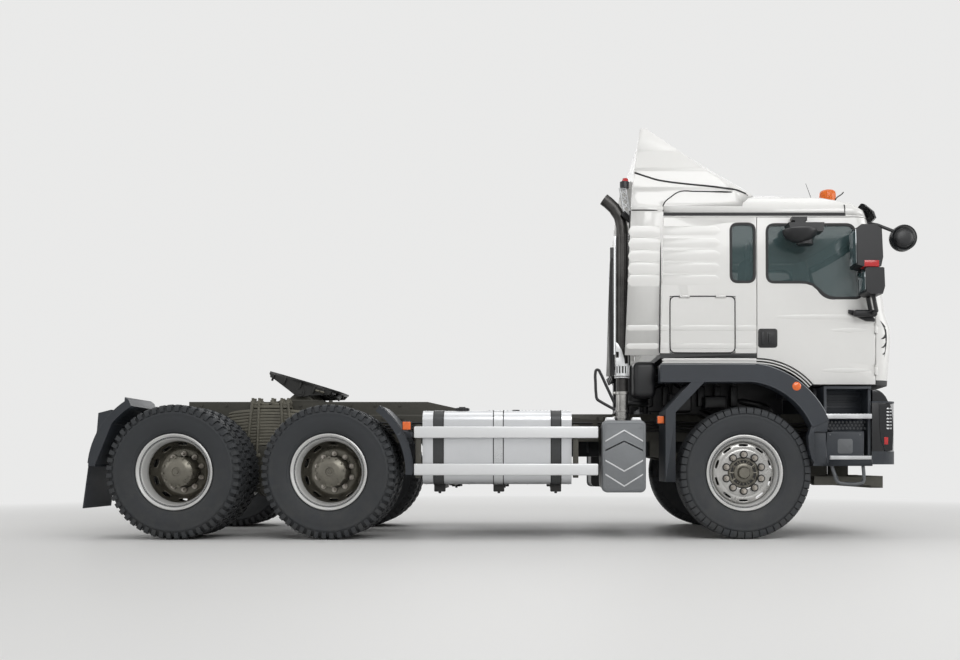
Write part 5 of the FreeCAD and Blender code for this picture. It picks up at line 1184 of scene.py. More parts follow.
class TRUCK_OT_fuel_tank(bpy.types.Operator):
    """Brushed fuel tank with its straps, filler, seams and feet"""
    bl_idname = "truck.fuel_tank"
    bl_label = "Fuel tank"

    def execute(self, context):
        tank = refine("fuel_tanks", Paint.tank, "chassis", 24.0)
        tank.name = "fuel_tank_body"
        width = context.scene.truck_sizes.strap_width
        for sign in self.tank_sides():
            self.dress(sign, width)
        return {"FINISHED"}

    def tank_sides(self):
        return [s for s, y in ((-1, TANK_LOW.y), (1, TANK_HIGH.y)) if s * y > 0.5]

    def dress(self, sign, width):
        name = "left" if sign > 0 else "right"
        y0, y1 = sorted((sign * 0.492, sign * 1.165))
        ring = rounded_ring(y0 - 0.001, y1 + 0.001, 0.499, 1.173, 0.096)
        for n, x in enumerate(STRAP_XS):
            bm = bmesh.new()
            add_band(bm, ring, x - width / 2, x + width / 2, -0.004)
            make_piece(bm, "tank_strap_%d_%s" % (n, name), "chassis",
                       Paint.strap if n == 1 else Paint.strap_dark)
        bm = bmesh.new()
        for x in STRAP_XS:
            for edge in (-width / 2 - 0.004, width / 2 - 0.004):
                add_band(bm, ring, x + edge, x + edge + 0.008, -0.007)
            add_block(bm, (x - 0.05, min(sign * 0.98, sign * 1.06), 0.430),
                      (x + 0.05, max(sign * 0.98, sign * 1.06), 0.502), 0.008)
            add_rod(bm, (x, sign * 1.02, 0.415), (x, sign * 1.02, 0.436), 0.014, steps=6)
        make_piece(bm, "tank_strap_rubbers_" + name, "chassis", Paint.seal)
        bm = bmesh.new()
        seam = rounded_ring(y0 - 0.0005, y1 + 0.0005, 0.4995, 1.1725, 0.0955)
        for x in (TANK_LOW.x + 0.022, TANK_HIGH.x - 0.030, -0.330, 0.205):
            add_band(bm, seam, x, x + 0.008, -0.0022)
        for x in (TANK_LOW.x, TANK_HIGH.x):
            end = -1 if x < 0 else 1
            a, b = sorted((x - end * 0.002, x + end * 0.003))
            c0, c1 = sorted((sign * 0.60, sign * 1.06))
            add_block(bm, (a, c0, 0.61), (b, c1, 1.06), 0.002)
        make_piece(bm, "tank_seams_" + name, "chassis", Paint.tank)
        bm = bmesh.new()
        x = TANK_LOW.x + 0.35
        cap = [(0.0, 0.052), (0.006, 0.062), (0.030, 0.062), (0.036, 0.056), (0.038, 0.0)]
        add_lathe(bm, cap, (x, sign * 0.995, 1.168), axis=(0, 0, 1), steps=36)
        for n in range(12):
            a = math.tau * n / 12
            place = Vector((x + 0.062 * math.cos(a), sign * 0.995 + 0.062 * math.sin(a), 1.178))
            add_rod(bm, place, place + Vector((0, 0, 0.022)), 0.005, steps=8)
        add_block(bm, (x - 0.030, sign * 0.995 - 0.008, 1.200),
                  (x + 0.030, sign * 0.995 + 0.008, 1.214), 0.004)
        add_rod(bm, (0.10, sign * 0.80, 1.168), (0.10, sign * 0.80, 1.196), 0.035, steps=20)
        add_rod(bm, (-0.42, sign * 0.90, 0.478), (-0.42, sign * 0.90, 0.502), 0.022, steps=6)
        make_piece(bm, "tank_fittings_" + name, "chassis", Paint.black)


class TRUCK_OT_side_guards(bpy.types.Operator):
    """Two bright rails each side with rounded ends, bolts and black posts"""
    bl_idname = "truck.side_guards"
    bl_label = "Side guards"

    def execute(self, context):
        low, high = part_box("side_guards")
        rails = bmesh.new()
        posts = bmesh.new()
        for _, sign in SIDES:
            y0, y1 = sorted((sign * (SKIRT_Y - 0.030), sign * SKIRT_Y))
            for z in (0.583, 0.919):
                add_block(rails, (low.x, y0, z), (high.x, y1, z + 0.105), 0.010, 4)
                for zz in (z + 0.034, z + 0.066):
                    e0, e1 = sorted((sign * (SKIRT_Y - 0.0005), sign * (SKIRT_Y - 0.004)))
                    add_block(rails, (low.x + 0.02, e0, zz), (high.x - 0.02, e1, zz + 0.004),
                              0.001)
            for x in (-0.779, 0.646):
                p0, p1 = sorted((sign * (SKIRT_Y - 0.072), sign * (SKIRT_Y - 0.030)))
                add_block(posts, (x - 0.025, p0, 0.560), (x + 0.025, p1, 1.040), 0.006)
                q0, q1 = sorted((sign * RAIL_OUT, sign * (SKIRT_Y - 0.060)))
                add_block(posts, (x - 0.022, q0, 0.930), (x + 0.022, q1, 0.995), 0.006)
                for z in (0.635, 0.972):
                    place = (x, sign * (SKIRT_Y - 0.075), z)
                    add_rod(posts, place, (x, sign * (SKIRT_Y - 0.088), z), 0.014, steps=6)
        make_piece(rails, "guard_rails", "chassis", Paint.rail, 30.0,
                   ("side_guards",))
        make_piece(posts, "guard_posts", "chassis", Paint.frame)
        return {"FINISHED"}


BOX_LOW, BOX_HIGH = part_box("silencer_box")
CHEVRONS = ((0.988, 0.891, 0.006), (0.891, 0.807, 0.002), (0.620, 0.717, 0.006),
            (0.485, 0.591, 0.006))


class TRUCK_OT_side_boxes(bpy.types.Operator):
    """Silencer cover with raised chevrons on the right, battery box on the left"""
    bl_idname = "truck.side_boxes"
    bl_label = "Silencer and battery boxes"

    def execute(self, context):
        self.cover()
        self.battery()
        return {"FINISHED"}

    def plate(self, bm, sign, out, depth, grow, r=0.05):
        """Rounded cover plate facing outwards, its edge bevelled."""
        x0, x1 = BOX_LOW.x - grow, BOX_HIGH.x + grow
        z0, z1 = BOX_LOW.z - grow, BOX_HIGH.z + grow
        ring = rounded_ring(x0, x1, z0, z1, r, 6)
        verts = [bm.verts.new((x, sign * (out - depth), z)) for x, z in ring]
        face = bm.faces.new(verts)
        made = bmesh.ops.extrude_face_region(bm, geom=[face])["geom"]
        tops = [g for g in made if isinstance(g, bmesh.types.BMVert)]
        bmesh.ops.translate(bm, verts=tops, vec=(0, sign * depth, 0))
        rim = [e for e in bm.edges if e.verts[0] in tops and e.verts[1] in tops]
        bmesh.ops.bevel(bm, geom=rim, offset=0.022, offset_type="OFFSET", segments=4,
                        profile=0.5, affect="EDGES", clamp_overlap=True, material=-1)

    def cover(self):
        out = abs(BOX_LOW.y)
        bm = bmesh.new()
        self.plate(bm, -1, out, 0.10, 0.0)
        make_piece(bm, "silencer_cover", "chassis", Paint.cover, 30.0,
                   ("silencer_box",))
        bm = bmesh.new()
        self.plate(bm, -1, out - 0.085, 0.58, -0.018)
        for x in (BOX_LOW.x + 0.06, BOX_HIGH.x - 0.10):
            add_block(bm, (x, -0.66, 0.93), (x + 0.05, -RAIL_OUT, 1.04), 0.006)
        make_piece(bm, "silencer_body", "chassis", Paint.pipe_dark)
        bm = bmesh.new()
        middle_x = (BOX_LOW.x + BOX_HIGH.x) / 2
        for z, ends, proud in CHEVRONS:
            for arm in (-1, 1):
                tip, end = (middle_x, z), (middle_x + arm * 0.170, ends)
                low = 0.007
                add_prism(bm, [(tip[0], tip[1] - low), (tip[0], tip[1] + low),
                               (end[0], end[1] + low), (end[0], end[1] - low)],
                          lambda x, zz: (x, -(out - 0.002), zz), (0, -proud, 0), 0.0008)
        make_piece(bm, "cover_chevrons", "chassis", Paint.cover_line)
        bm = bmesh.new()
        ring = rounded_ring(BOX_LOW.x + 0.026, BOX_HIGH.x - 0.026, BOX_LOW.z + 0.026,
                            BOX_HIGH.z - 0.026, 0.034, 6)
        places = [(x, -(out + 0.0002), z) for x, z in ring]
        for a, b in zip(places, places[1:] + places[:1]):
            add_rod(bm, a, b, 0.0022, steps=6)
        for x, z in ((BOX_LOW.x + 0.05, 0.50), (BOX_HIGH.x - 0.05, 0.50),
                     (BOX_LOW.x + 0.05, 1.01), (BOX_HIGH.x - 0.05, 1.01)):
            add_rod(bm, (x, -out, z), (x, -(out + 0.003), z), 0.010, steps=16)
        make_piece(bm, "cover_rim", "chassis", Paint.cover)
        bm = bmesh.new()
        for x in (BOX_LOW.x + 0.03, BOX_HIGH.x - 0.13):
            add_prism(bm, [(x, 1.070), (x + 0.10, 1.070), (x + 0.085, 1.110),
                           (x + 0.015, 1.110)],
                      lambda u, z: (u, -1.16, z), (0, 0.10, 0), 0.004)
        make_piece(bm, "cover_brackets", "chassis", Paint.rail)

    def battery(self):
        low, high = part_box("battery_box")
        bm = bmesh.new()
        self.plate(bm, 1, abs(high.y), 0.10, 0.0)
        make_piece(bm, "battery_cover", "chassis", Paint.cover, 30.0,
                   ("battery_box",))
        bm = bmesh.new()
        self.plate(bm, 1, abs(high.y) - 0.085, 0.58, -0.012)
        for x in (low.x + 0.06, high.x - 0.10):
            add_block(bm, (x, RAIL_OUT, 0.93), (x + 0.05, 0.66, 1.04), 0.006)
        make_piece(bm, "battery_tray", "chassis", Paint.black)
        bm = bmesh.new()
        for n in range(7):
            z = 0.52 + n * 0.075
            add_block(bm, (low.x + 0.055, high.y - 0.001, z),
                      (high.x - 0.055, high.y + 0.005, z + 0.026), 0.002)
        make_piece(bm, "battery_ribs", "chassis", Paint.cover)
        bm = bmesh.new()
        for x in (low.x + 0.025, high.x - 0.045):
            add_block(bm, (x, high.y - 0.004, 0.62), (x + 0.02, high.y + 0.006, 0.76), 0.003)
            add_block(bm, (x - 0.004, high.y - 0.004, 0.72),
                      (x + 0.024, high.y + 0.009, 0.745), 0.003)
        make_piece(bm, "battery_latches", "chassis", Paint.seal)


STACK = Vector((1.090, -0.950, 0))


class TRUCK_OT_exhaust(bpy.types.Operator):
    """Vertical exhaust with slotted and perforated shields and a turned-back mouth"""
    bl_idname = "truck.exhaust"
    bl_label = "Exhaust stack"

    def execute(self, context):
        x, y = STACK.x, STACK.y
        bm = bmesh.new()
        lower = [(1.070, 0.0), (1.070, 0.057), (1.168, 0.057), (1.170, 0.068), (1.184, 0.068),
                 (1.186, 0.056), (1.352, 0.056)]
        add_lathe(bm, lower, (x, y, 0), axis=(0, 0, 1), steps=40)
        for z in (1.118, 1.344):
            ring = [(-0.014, 0.056), (-0.012, 0.065), (0.012, 0.065), (0.014, 0.056)]
            add_lathe(bm, ring, (x, y, z), axis=(0, 0, 1), steps=40)
            add_block(bm, (x - 0.088, y - 0.012, z - 0.010), (x - 0.058, y + 0.012, z + 0.010),
                      0.003)
        make_piece(bm, "stack_foot", "chassis", Paint.pipe, 32.0,
                   ("exhaust_stack",))
        self.upper_pipe(x, y)
        self.shields(x, y)
        self.support(x, y)
        return {"FINISHED"}

    def upper_pipe(self, x, y):
        """Pipe that leans back in two mitred bends to an open mouth."""
        bm = bmesh.new()
        path = [(1.345, x), (1.450, x), (2.300, x), (2.880, x), (2.985, x - 0.022),
                (3.065, x - 0.072), (3.120, x - 0.130), (3.150, x - 0.170)]
        r = 0.0555
        loops = []
        for n, (z, cx) in enumerate(path):
            before = path[max(n - 1, 0)]
            after = path[min(n + 1, len(path) - 1)]
            line = Vector((after[1] - before[1], 0, after[0] - before[0])).normalized()
            turn = line.to_track_quat("Z", "Y").to_matrix().to_4x4()
            made = bmesh.ops.create_circle(
                bm, cap_ends=False, segments=32, radius=r,
                matrix=Matrix.Translation((cx, y, z)) @ turn)["verts"]
            loops.append(list({e for v in made for e in v.link_edges}))
        for a, b in zip(loops, loops[1:]):
            bmesh.ops.bridge_loops(bm, edges=a + b)
        bmesh.ops.remove_doubles(bm, verts=bm.verts[:], dist=1e-5)
        bmesh.ops.recalc_face_normals(bm, faces=bm.faces[:])
        bmesh.ops.solidify(bm, geom=bm.faces[:], thickness=0.003)
        make_piece(bm, "stack_pipe", "chassis", Paint.pipe_dark, 50.0)

    def shields(self, x, y):
        bm = bmesh.new()
        slots = 14
        for n in range(slots):
            a = math.tau * n / slots
            place = Vector((x + 0.063 * math.cos(a), y + 0.063 * math.sin(a), 1.500))
            add_rod(bm, place, place + Vector((0, 0, 0.115)), 0.0078, steps=8)
        for z, high in ((1.482, 0.012), (1.500, 0.026), (1.590, 0.024)):
            ring = [(0.0, 0.062), (0.002, 0.071), (high - 0.002, 0.071), (high, 0.062)]
            add_lathe(bm, ring, (x, y, z), axis=(0, 0, 1), steps=40)
        add_prism(bm, [(x - 0.066, 1.600), (x + 0.022, 1.600), (x + 0.014, 1.660),
                       (x - 0.010, 1.740), (x - 0.046, 1.800), (x - 0.066, 1.812),
                       (x - 0.066, 1.722), (x - 0.036, 1.722), (x - 0.036, 1.668),
                       (x - 0.066, 1.668)],
                  lambda u, z: (u, y - 0.070, z), (0, 0.004, 0), 0.001)
        make_piece(bm, "slotted_shield", "chassis", Paint.rail)
        # Upper heat shield: bright metal like the slotted part below, painted dark as the cab's shadow
        # on it.
        bm = bmesh.new()
        made = bmesh.ops.create_grid(bm, x_segments=6, y_segments=46, size=0.5)["verts"]
        bmesh.ops.scale(bm, vec=(0.110, 1.06, 1), verts=made)
        bmesh.ops.rotate(bm, cent=(0, 0, 0), matrix=Matrix.Rotation(math.radians(90), 3, "X"),
                         verts=made)
        bmesh.ops.translate(bm, vec=(x + 0.010, y - 0.066, 2.285), verts=made)
        for vert in bm.verts:
            side = (vert.co.x - x - 0.010) / 0.055
            vert.co.y += 0.030 * side * side
        panes = [f for f in bm.faces]
        shrunk = bmesh.ops.inset_individual(bm, faces=panes, thickness=0.0052)["faces"]
        holes = [f for f in panes if f.is_valid]
        del shrunk
        bmesh.ops.delete(bm, geom=holes, context="FACES_ONLY")
        bmesh.ops.solidify(bm, geom=bm.faces[:], thickness=0.002)
        make_piece(bm, "perforated_shield", "chassis", Paint.pipe_dark)
        bm = bmesh.new()
        add_rod(bm, (x - 0.066, y - 0.030, 1.70), (x - 0.066, y - 0.030, 2.80), 0.015,
                steps=16)
        make_piece(bm, "chrome_strip", "chassis", Paint.chrome)

    def support(self, x, y):
        bm = bmesh.new()
        add_block(bm, (x - 0.112, y - 0.016, 1.516), (x - 0.070, y + 0.016, 2.700), 0.004)
        add_block(bm, (x - 0.030, y, 1.177), (x + 0.030, -RAIL_OUT, 1.232), 0.006)
        for z in (1.560, 2.100, 2.640):
            add_block(bm, (x - 0.090, y - 0.014, z), (x - 0.030, y + 0.014, z + 0.032), 0.004)
        for n in range(12):
            z = 1.74 + n * 0.078
            add_block(bm, (x + 0.058, y - 0.060, z), (x + 0.068, y + 0.010, z + 0.040), 0.002)
        add_block(bm, (x + 0.060, y - 0.040, 1.60), (x + 0.074, y + 0.030, 2.84), 0.003)
        make_piece(bm, "stack_post", "chassis", Paint.black)
        make_tube("stack_air_line", [
            [(x - 0.105, y - 0.012, 1.50), (x - 0.110, y - 0.012, 1.90),
             (x - 0.106, y - 0.012, 2.40), (x - 0.100, y - 0.012, 2.60)]],
            0.012, "chassis", Paint.seal)


class TRUCK_OT_deck(bpy.types.Operator):
    """Serrated walkway, handrail hoop, line connectors and amber side markers"""
    bl_idname = "truck.deck"
    bl_label = "Walkway and fittings"

    def execute(self, context):
        low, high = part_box("catwalk")
        bm = bmesh.new()
        for n in range(3):
            y0 = low.y + n * (high.y - low.y) / 3
            add_block(bm, (low.x, y0 + 0.004, low.z), (high.x, y0 + (high.y - low.y) / 3 - 0.004,
                                                      high.z - 0.008), 0.005)
        for i in range(22):
            for k in range(15):
                x = low.x + 0.030 + i * 0.036
                y = low.y + 0.040 + k * (high.y - low.y - 0.08) / 14
                add_rod(bm, (x, y, high.z - 0.009), (x, y, high.z - 0.001), 0.011, 0.007, 6)
        make_piece(bm, "walkway", "chassis", Paint.tank, 30.0, ("catwalk",))
        make_tube("handrail", [
            [(1.013, -1.10, 1.182), (0.950, -1.10, 1.216), (0.880, -1.10, 1.256),
             (0.848, -1.10, 1.280), (0.838, -1.10, 1.330), (0.833, -1.10, 1.430),
             (0.832, -1.10, 1.515), (0.841, -1.10, 1.545), (0.860, -1.10, 1.545),
             (0.876, -1.10, 1.520), (0.930, -1.10, 1.405), (1.005, -1.10, 1.245)]],
            0.0135, "chassis", Paint.black)
        self.markers()
        self.connectors()
        self.rear_lamps()
        return {"FINISHED"}

    def markers(self):
        bm = bmesh.new()
        base = bmesh.new()
        for _, sign in SIDES:
            for x, z, w, h in ((-0.880, 1.030, 0.072, 0.072), (1.418, 1.086, 0.060, 0.066)):
                y = sign * 1.235 if x < 0 else sign * 1.190
                a0, a1 = sorted((y, y + sign * 0.014))
                add_block(bm, (x - w / 2, a0, z - h / 2), (x + w / 2, a1, z + h / 2), 0.006, 3)
                b0, b1 = sorted((y + sign * 0.002, y - sign * 0.020))
                add_block(base, (x - w / 2 - 0.006, b0, z - h / 2 - 0.006),
                          (x + w / 2 + 0.006, b1, z + h / 2 + 0.006), 0.004)
                c0, c1 = sorted((y - sign * 0.016, y - sign * 0.34))
                if x < 0:
                    add_block(base, (x + 0.01, c0, z - 0.012), (x + 0.03, c1, z + 0.012), 0.003)
            dome = [(0.0, 0.040), (0.004, 0.039), (0.010, 0.030), (0.014, 0.014), (0.015, 0.0)]
            add_lathe(bm, [(sign * a, r) for a, r in dome],
                      (2.636, sign * (SKIRT_Y - 0.003), 1.386), steps=32)
        make_piece(bm, "side_markers", "chassis", Paint.marker)
        make_piece(base, "marker_bases", "chassis", Paint.black)

    def connectors(self):
        """Trailer air and electric couplings on a rail behind the cab."""
        bm = bmesh.new()
        add_block(bm, (1.12, -0.42, 1.54), (1.16, 0.42, 1.60), 0.006)
        for y in (-0.36, 0.36):
            add_block(bm, (1.12, y - 0.02, 1.177), (1.16, y + 0.02, 1.56), 0.005)
        for y in (-0.26, -0.10, 0.06, 0.22):
            add_rod(bm, (1.13, y, 1.57), (1.06, y, 1.548), 0.030, steps=20)
            add_rod(bm, (1.065, y, 1.55), (1.045, y, 1.543), 0.036, steps=20)
        make_piece(bm, "trailer_couplings", "chassis", Paint.black)

    def rear_lamps(self):
        dark, red, amber, clear = (bmesh.new() for _ in range(4))
        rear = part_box("frame")[0].x
        for _, sign in SIDES:
            y0, y1 = sorted((sign * 0.42, sign * 0.80))
            add_block(dark, (rear - 0.010, y0, 0.905), (rear + 0.060, y1, 1.045), 0.012, 3)
            z0, z1 = sorted((sign * 0.37, sign * 0.46))
            add_block(dark, (rear + 0.010, z0, 0.95), (rear + 0.050, z1, 1.03), 0.004)
            for store, a, b in ((red, 0.435, 0.545), (clear, 0.555, 0.625),
                                (amber, 0.635, 0.700), (red, 0.710, 0.785)):
                c0, c1 = sorted((sign * a, sign * b))
                add_block(store, (rear - 0.018, c0, 0.922), (rear - 0.006, c1, 1.028), 0.005, 3)
        add_block(dark, (rear - 0.006, -0.30, 1.02), (rear + 0.010, 0.30, 1.15), 0.004)
        make_piece(dark, "lamp_boards", "chassis", Paint.black)
        make_piece(red, "tail_lamps", "chassis", Paint.red)
        make_piece(amber, "turn_lamps", "chassis", Paint.marker)
        make_piece(clear, "reverse_lamps", "chassis", Paint.white_strip)


# ---- cab ------------------------------------------------------------------------------
def caster(*nodes):
    """Tree that finds where a line meets some CAD nodes."""
    bm = bmesh.new()
    for node in nodes:
        bm.from_mesh(frame["nodes"][node].data)
    tree = BVHTree.FromBMesh(bm)
    bm.free()
    return tree


def side_y(tree, x, z, sign, fallback=CAB_Y):
    hit = tree.ray_cast(Vector((x, sign * 3.0, z)), Vector((0, -sign, 0)))[0]
    return hit.y if hit is not None and abs(hit.y) > 0.5 else sign * fallback


def front_x(tree, y, z, fallback=3.55):
    hit = tree.ray_cast(Vector((6.0, y, z)), Vector((-1, 0, 0)))[0]
    return hit.x if hit is not None and hit.x > 2.6 else fallback


CAB_PROFILE = ((1.404, 1.120), (2.058, 1.120), (2.588, 1.115), (2.962, 1.106))


def side_half(z):
    """Half width of the cab's side skin at one height."""
    for (z0, y0), (z1, y1) in zip(CAB_PROFILE, CAB_PROFILE[1:]):
        if z <= z1:
            return y0 + (y1 - y0) * max(z - z0, 0.0) / (z1 - z0)
    return CAB_PROFILE[-1][1]


def add_bead(bm, x0, x1, y, z, half_high, proud, taper=0.05, end_taper=None):
    """Soft raised bead along a side, tapering out at both ends."""
    part = bmesh.new()
    length = x1 - x0
    last = taper if end_taper is None else end_taper
    profile = [(0.0, 0.0), (taper * 0.3, half_high * 0.55), (taper, half_high),
               (length - last, half_high), (length - last * 0.3, half_high * 0.55),
               (length, 0.0)]
    add_lathe(part, profile, (0, 0, 0), axis=(1, 0, 0), steps=20)
    bmesh.ops.scale(part, vec=(1, proud / half_high, 1), verts=part.verts[:])
    bmesh.ops.translate(part, vec=(x0, y, z), verts=part.verts[:])
    mesh = bpy.data.meshes.new("bead")
    part.to_mesh(mesh)
    part.free()
    bm.from_mesh(mesh)
    bpy.data.meshes.remove(mesh)


def add_ring_frame(bm, points, place, width, thick):
    """Flat frame just inside an outline, put in place by a function of its two numbers."""
    fine = []
    for n, point in enumerate(points):
        start, end = Vector(point), Vector(points[(n + 1) % len(points)])
        steps = max(1, round((end - start).length / 0.10))
        fine += [start.lerp(end, k / steps) for k in range(steps)]
    area = sum(fine[n - 1].cross(fine[n]) for n in range(len(fine)))
    turn = 1.0 if area > 0 else -1.0
    loops = []
    for n, here in enumerate(fine):
        ahead = (fine[(n + 1) % len(fine)] - here).normalized()
        behind = (here - fine[n - 1]).normalized()
        inward = Vector((-(ahead.y + behind.y), ahead.x + behind.x)).normalized() * turn
        inner = here + inward * width
        spots = []
        for spot, depth in ((here, 0.0), (inner, 0.0), (inner, thick), (here, thick)):
            spots.append(bm.verts.new(place(spot.x, spot.y, depth)))
        loops.append(spots)
    for n, loop in enumerate(loops):
        after = loops[(n + 1) % len(loops)]
        for k in range(4):
            m = (k + 1) % 4
            bm.faces.new((loop[k], loop[m], after[m], after[k]))


DOOR_WINDOW = [
    (2.388, 2.335), (2.700, 2.335), (2.760, 2.332), (2.812, 2.315), (2.860, 2.275),
    (2.912, 2.228), (2.965, 2.200), (3.030, 2.190), (3.285, 2.190), (3.208, 2.890),
    (2.388, 2.890),
]
REAR_WINDOW = [(2.058, 2.338), (2.300, 2.338), (2.300, 2.896), (2.058, 2.896)]


def rounded_corners(points, r, steps=4, gussets=None):
    """Outline with every corner of 50 degrees or more rounded, and the corners cut off."""
    result = []
    count = len(points)
    for n, point in enumerate(points):
        here = Vector(point)
        before = (Vector(points[n - 1]) - here)
        after = (Vector(points[(n + 1) % count]) - here)
        if before.length < r * 1.2 or after.length < r * 1.2 or before.angle(after) > 2.3:
            result.append(tuple(here))
            continue
        before.normalize()
        after.normalize()
        curve = []
        for k in range(steps + 1):
            t = k / steps
            a, b = here + before * r * (1 - t), here + after * r * t
            curve.append(tuple(a.lerp(b, t)))
        result += curve
        if gussets is not None:
            gussets.append([tuple(here - (before + after) * 0.004)] + curve)
    return result


class TRUCK_OT_cab_shell(bpy.types.Operator):
    """Painted cab walls, roof, doors, lids and deflectors with their beads and creases"""
    bl_idname = "truck.cab_shell"
    bl_label = "Cab shell"

    def execute(self, context):
        proud = context.scene.truck_sizes.rib_height
        for node, sharp in (("cab_body", 28), ("cab_roof", 48), ("wind_deflectors", 52)):
            refine(node, Paint.cab, "cab", sharp)
        refine("front_flap", Paint.cab, "front_flap")
        refine("cab_floor", Paint.under, "cab")
        for side, sign in SIDES:
            refine("door_" + side, Paint.cab, "door_" + side)
            refine("locker_hatch_" + side, Paint.cab, "locker_hatch_" + side,
                   14.0)
            self.side_beads(side, sign, proud)
            self.handle(side, sign)
        self.seams()
        self.gutter()
        self.rear_wall()
        self.corner_fins()
        self.side_lines()
        self.deflector_stays()
        self.lower_edges()
        return {"FINISHED"}

    def lower_edges(self):
        """Pale lower edge of the sleeper's sides, behind the wheel arch."""
        bm = bmesh.new()
        for _, sign in SIDES:
            add_block(bm, (1.452, sign * 1.100, 1.612), (2.304, sign * 1.1195, 1.655), 0.004)
        make_piece(bm, "cab_lower_edges", "cab", Paint.cab)

    def deflector_stays(self):
        """Lattice stay and red clearance lamp behind the right-hand deflector side."""
        stay, case, lamp = (bmesh.new() for _ in range(3))
        for sign in (-1,):
            y = sign * 1.02
            rungs = [(1.060 + 0.012 * n, 1.118 + 0.012 * n, 3.235 - 0.065 * n)
                     for n in range(5)]
            for (a0, a1, az), (b0, b1, bz) in zip(rungs, rungs[1:]):
                add_rod(stay, (a0, y, az), (b0, y, bz), 0.008, steps=8)
                add_rod(stay, (a1, y, az), (b1, y, bz), 0.008, steps=8)
                add_rod(stay, (a0, y, az), (b1, y, bz), 0.006, steps=8)
                add_rod(stay, (a1, y, az), (b0, y, bz), 0.006, steps=8)
            add_rod(stay, (rungs[0][0], y, rungs[0][2]), (rungs[0][1], y, rungs[0][2]), 0.008)
            add_rod(case, (1.105, y, 3.235), (1.105, y, 3.290), 0.042, steps=24)
            add_rod(case, (1.09, y - 0.02, 3.00), (1.16, y + 0.02, 2.94), 0.026, steps=12)
            add_rod(lamp, (1.112, y, 3.288), (1.112, y, 3.322), 0.034, 0.024, 24)
        make_piece(stay, "deflector_stays", "cab", Paint.white_strip)
        make_piece(case, "stay_fittings", "cab", Paint.black)
        make_piece(lamp, "clearance_lamps", "cab", Paint.red)

    def side_beads(self, side, sign, proud):
        walls = bmesh.new()
        door = bmesh.new()
        hatch = bmesh.new()
        for n in range(5):
            z = 2.362 + n * 0.112
            y = sign * (side_half(z) - 0.001)
            add_bead(walls, 1.125 + 0.02 * (z - 2.366), 1.420, sign * 1.1178, z, 0.054,
                     proud, 0.03, 0.004)
            add_bead(walls, 1.447, 1.985, y, z, 0.054, proud, 0.004, 0.06)
        for z, lift in ((1.930, 0.0034), (1.762, 0.0028)):
            add_bead(walls, 1.112, 1.412, sign * 1.1178, z, 0.026, lift, 0.02)
            add_bead(walls, 1.424, 1.510, sign * 1.1196, z, 0.026, lift, 0.006)
            add_bead(walls, 2.111, 2.306, sign * 1.1196, z, 0.026, lift, 0.006)
            add_bead(hatch, 1.520, 2.101, sign * 1.1196, z, 0.026, lift, 0.006)
        for x0, x1, z in ((2.44, 3.355, 2.030), (2.95, 3.355, 1.908), (2.86, 3.360, 1.540)):
            add_bead(door, x0, x1, sign * 1.1194, z, 0.022, 0.0034, 0.22)
        make_piece(walls, "cab_beads_" + side, "cab", Paint.cab, 60.0)
        make_piece(door, "door_creases_" + side, "door_" + side, Paint.cab, 60.0)
        make_piece(hatch, "hatch_creases_" + side, "locker_hatch_" + side, Paint.cab,
                   60.0)

    def handle(self, side, sign):
        plate = bmesh.new()
        lever = bmesh.new()
        out = sign * 1.1195
        ring = rounded_ring(2.318, 2.494, 1.748, 1.922, 0.024, 4)
        add_prism(plate, ring, lambda x, z: (x, out - sign * 0.006, z),
                  (0, sign * 0.012, 0), 0.003)
        for x0, x1, z0, z1, proud in ((2.346, 2.372, 1.775, 1.895, 0.014),
                                      (2.392, 2.470, 1.778, 1.892, 0.008),
                                      (2.410, 2.424, 1.790, 1.880, 0.019)):
            add_block(lever, (x0, out, z0), (x1, out + sign * proud, z1), 0.005, 3)
        add_rod(lever, (2.450, out, 1.800), (2.450, out + sign * 0.011, 1.800), 0.009)
        make_piece(plate, "handle_plate_" + side, "door_" + side, Paint.seal)
        make_piece(lever, "handle_lever_" + side, "door_" + side, Paint.black)

    def seams(self):
        """Dark joint line between the deflector's wing and its side piece."""
        tree = caster("wind_deflectors")
        line = ((1.195, 3.368), (1.300, 3.331), (1.409, 3.297), (1.510, 3.279),
                (1.617, 3.265), (1.740, 3.252), (1.871, 3.239), (2.000, 3.222),
                (2.124, 3.205), (2.230, 3.187))
        paths = []
        for _, sign in SIDES:
            path = []
            for x, z in line:
                y = side_y(tree, x, z, sign, 1.0)
                path.append((x, y - sign * 0.0005, z))
            paths.append(path)
        make_tube("deflector_seam", paths, 0.0085, "cab", Paint.seal)

    def gutter(self):
        bm = bmesh.new()
        for _, sign in SIDES:
            add_block(bm, (1.452, sign * 1.098, 2.955), (3.120, sign * 1.1165, 2.986), 0.006, 3)
        make_piece(bm, "roof_gutter", "cab", Paint.seal)
        lip = bmesh.new()
        for _, sign in SIDES:
            add_block(lip, (1.452, sign * 1.100, 2.947), (3.160, sign * 1.1180, 2.955), 0.003)
        make_piece(lip, "gutter_lip", "cab", Paint.cab)

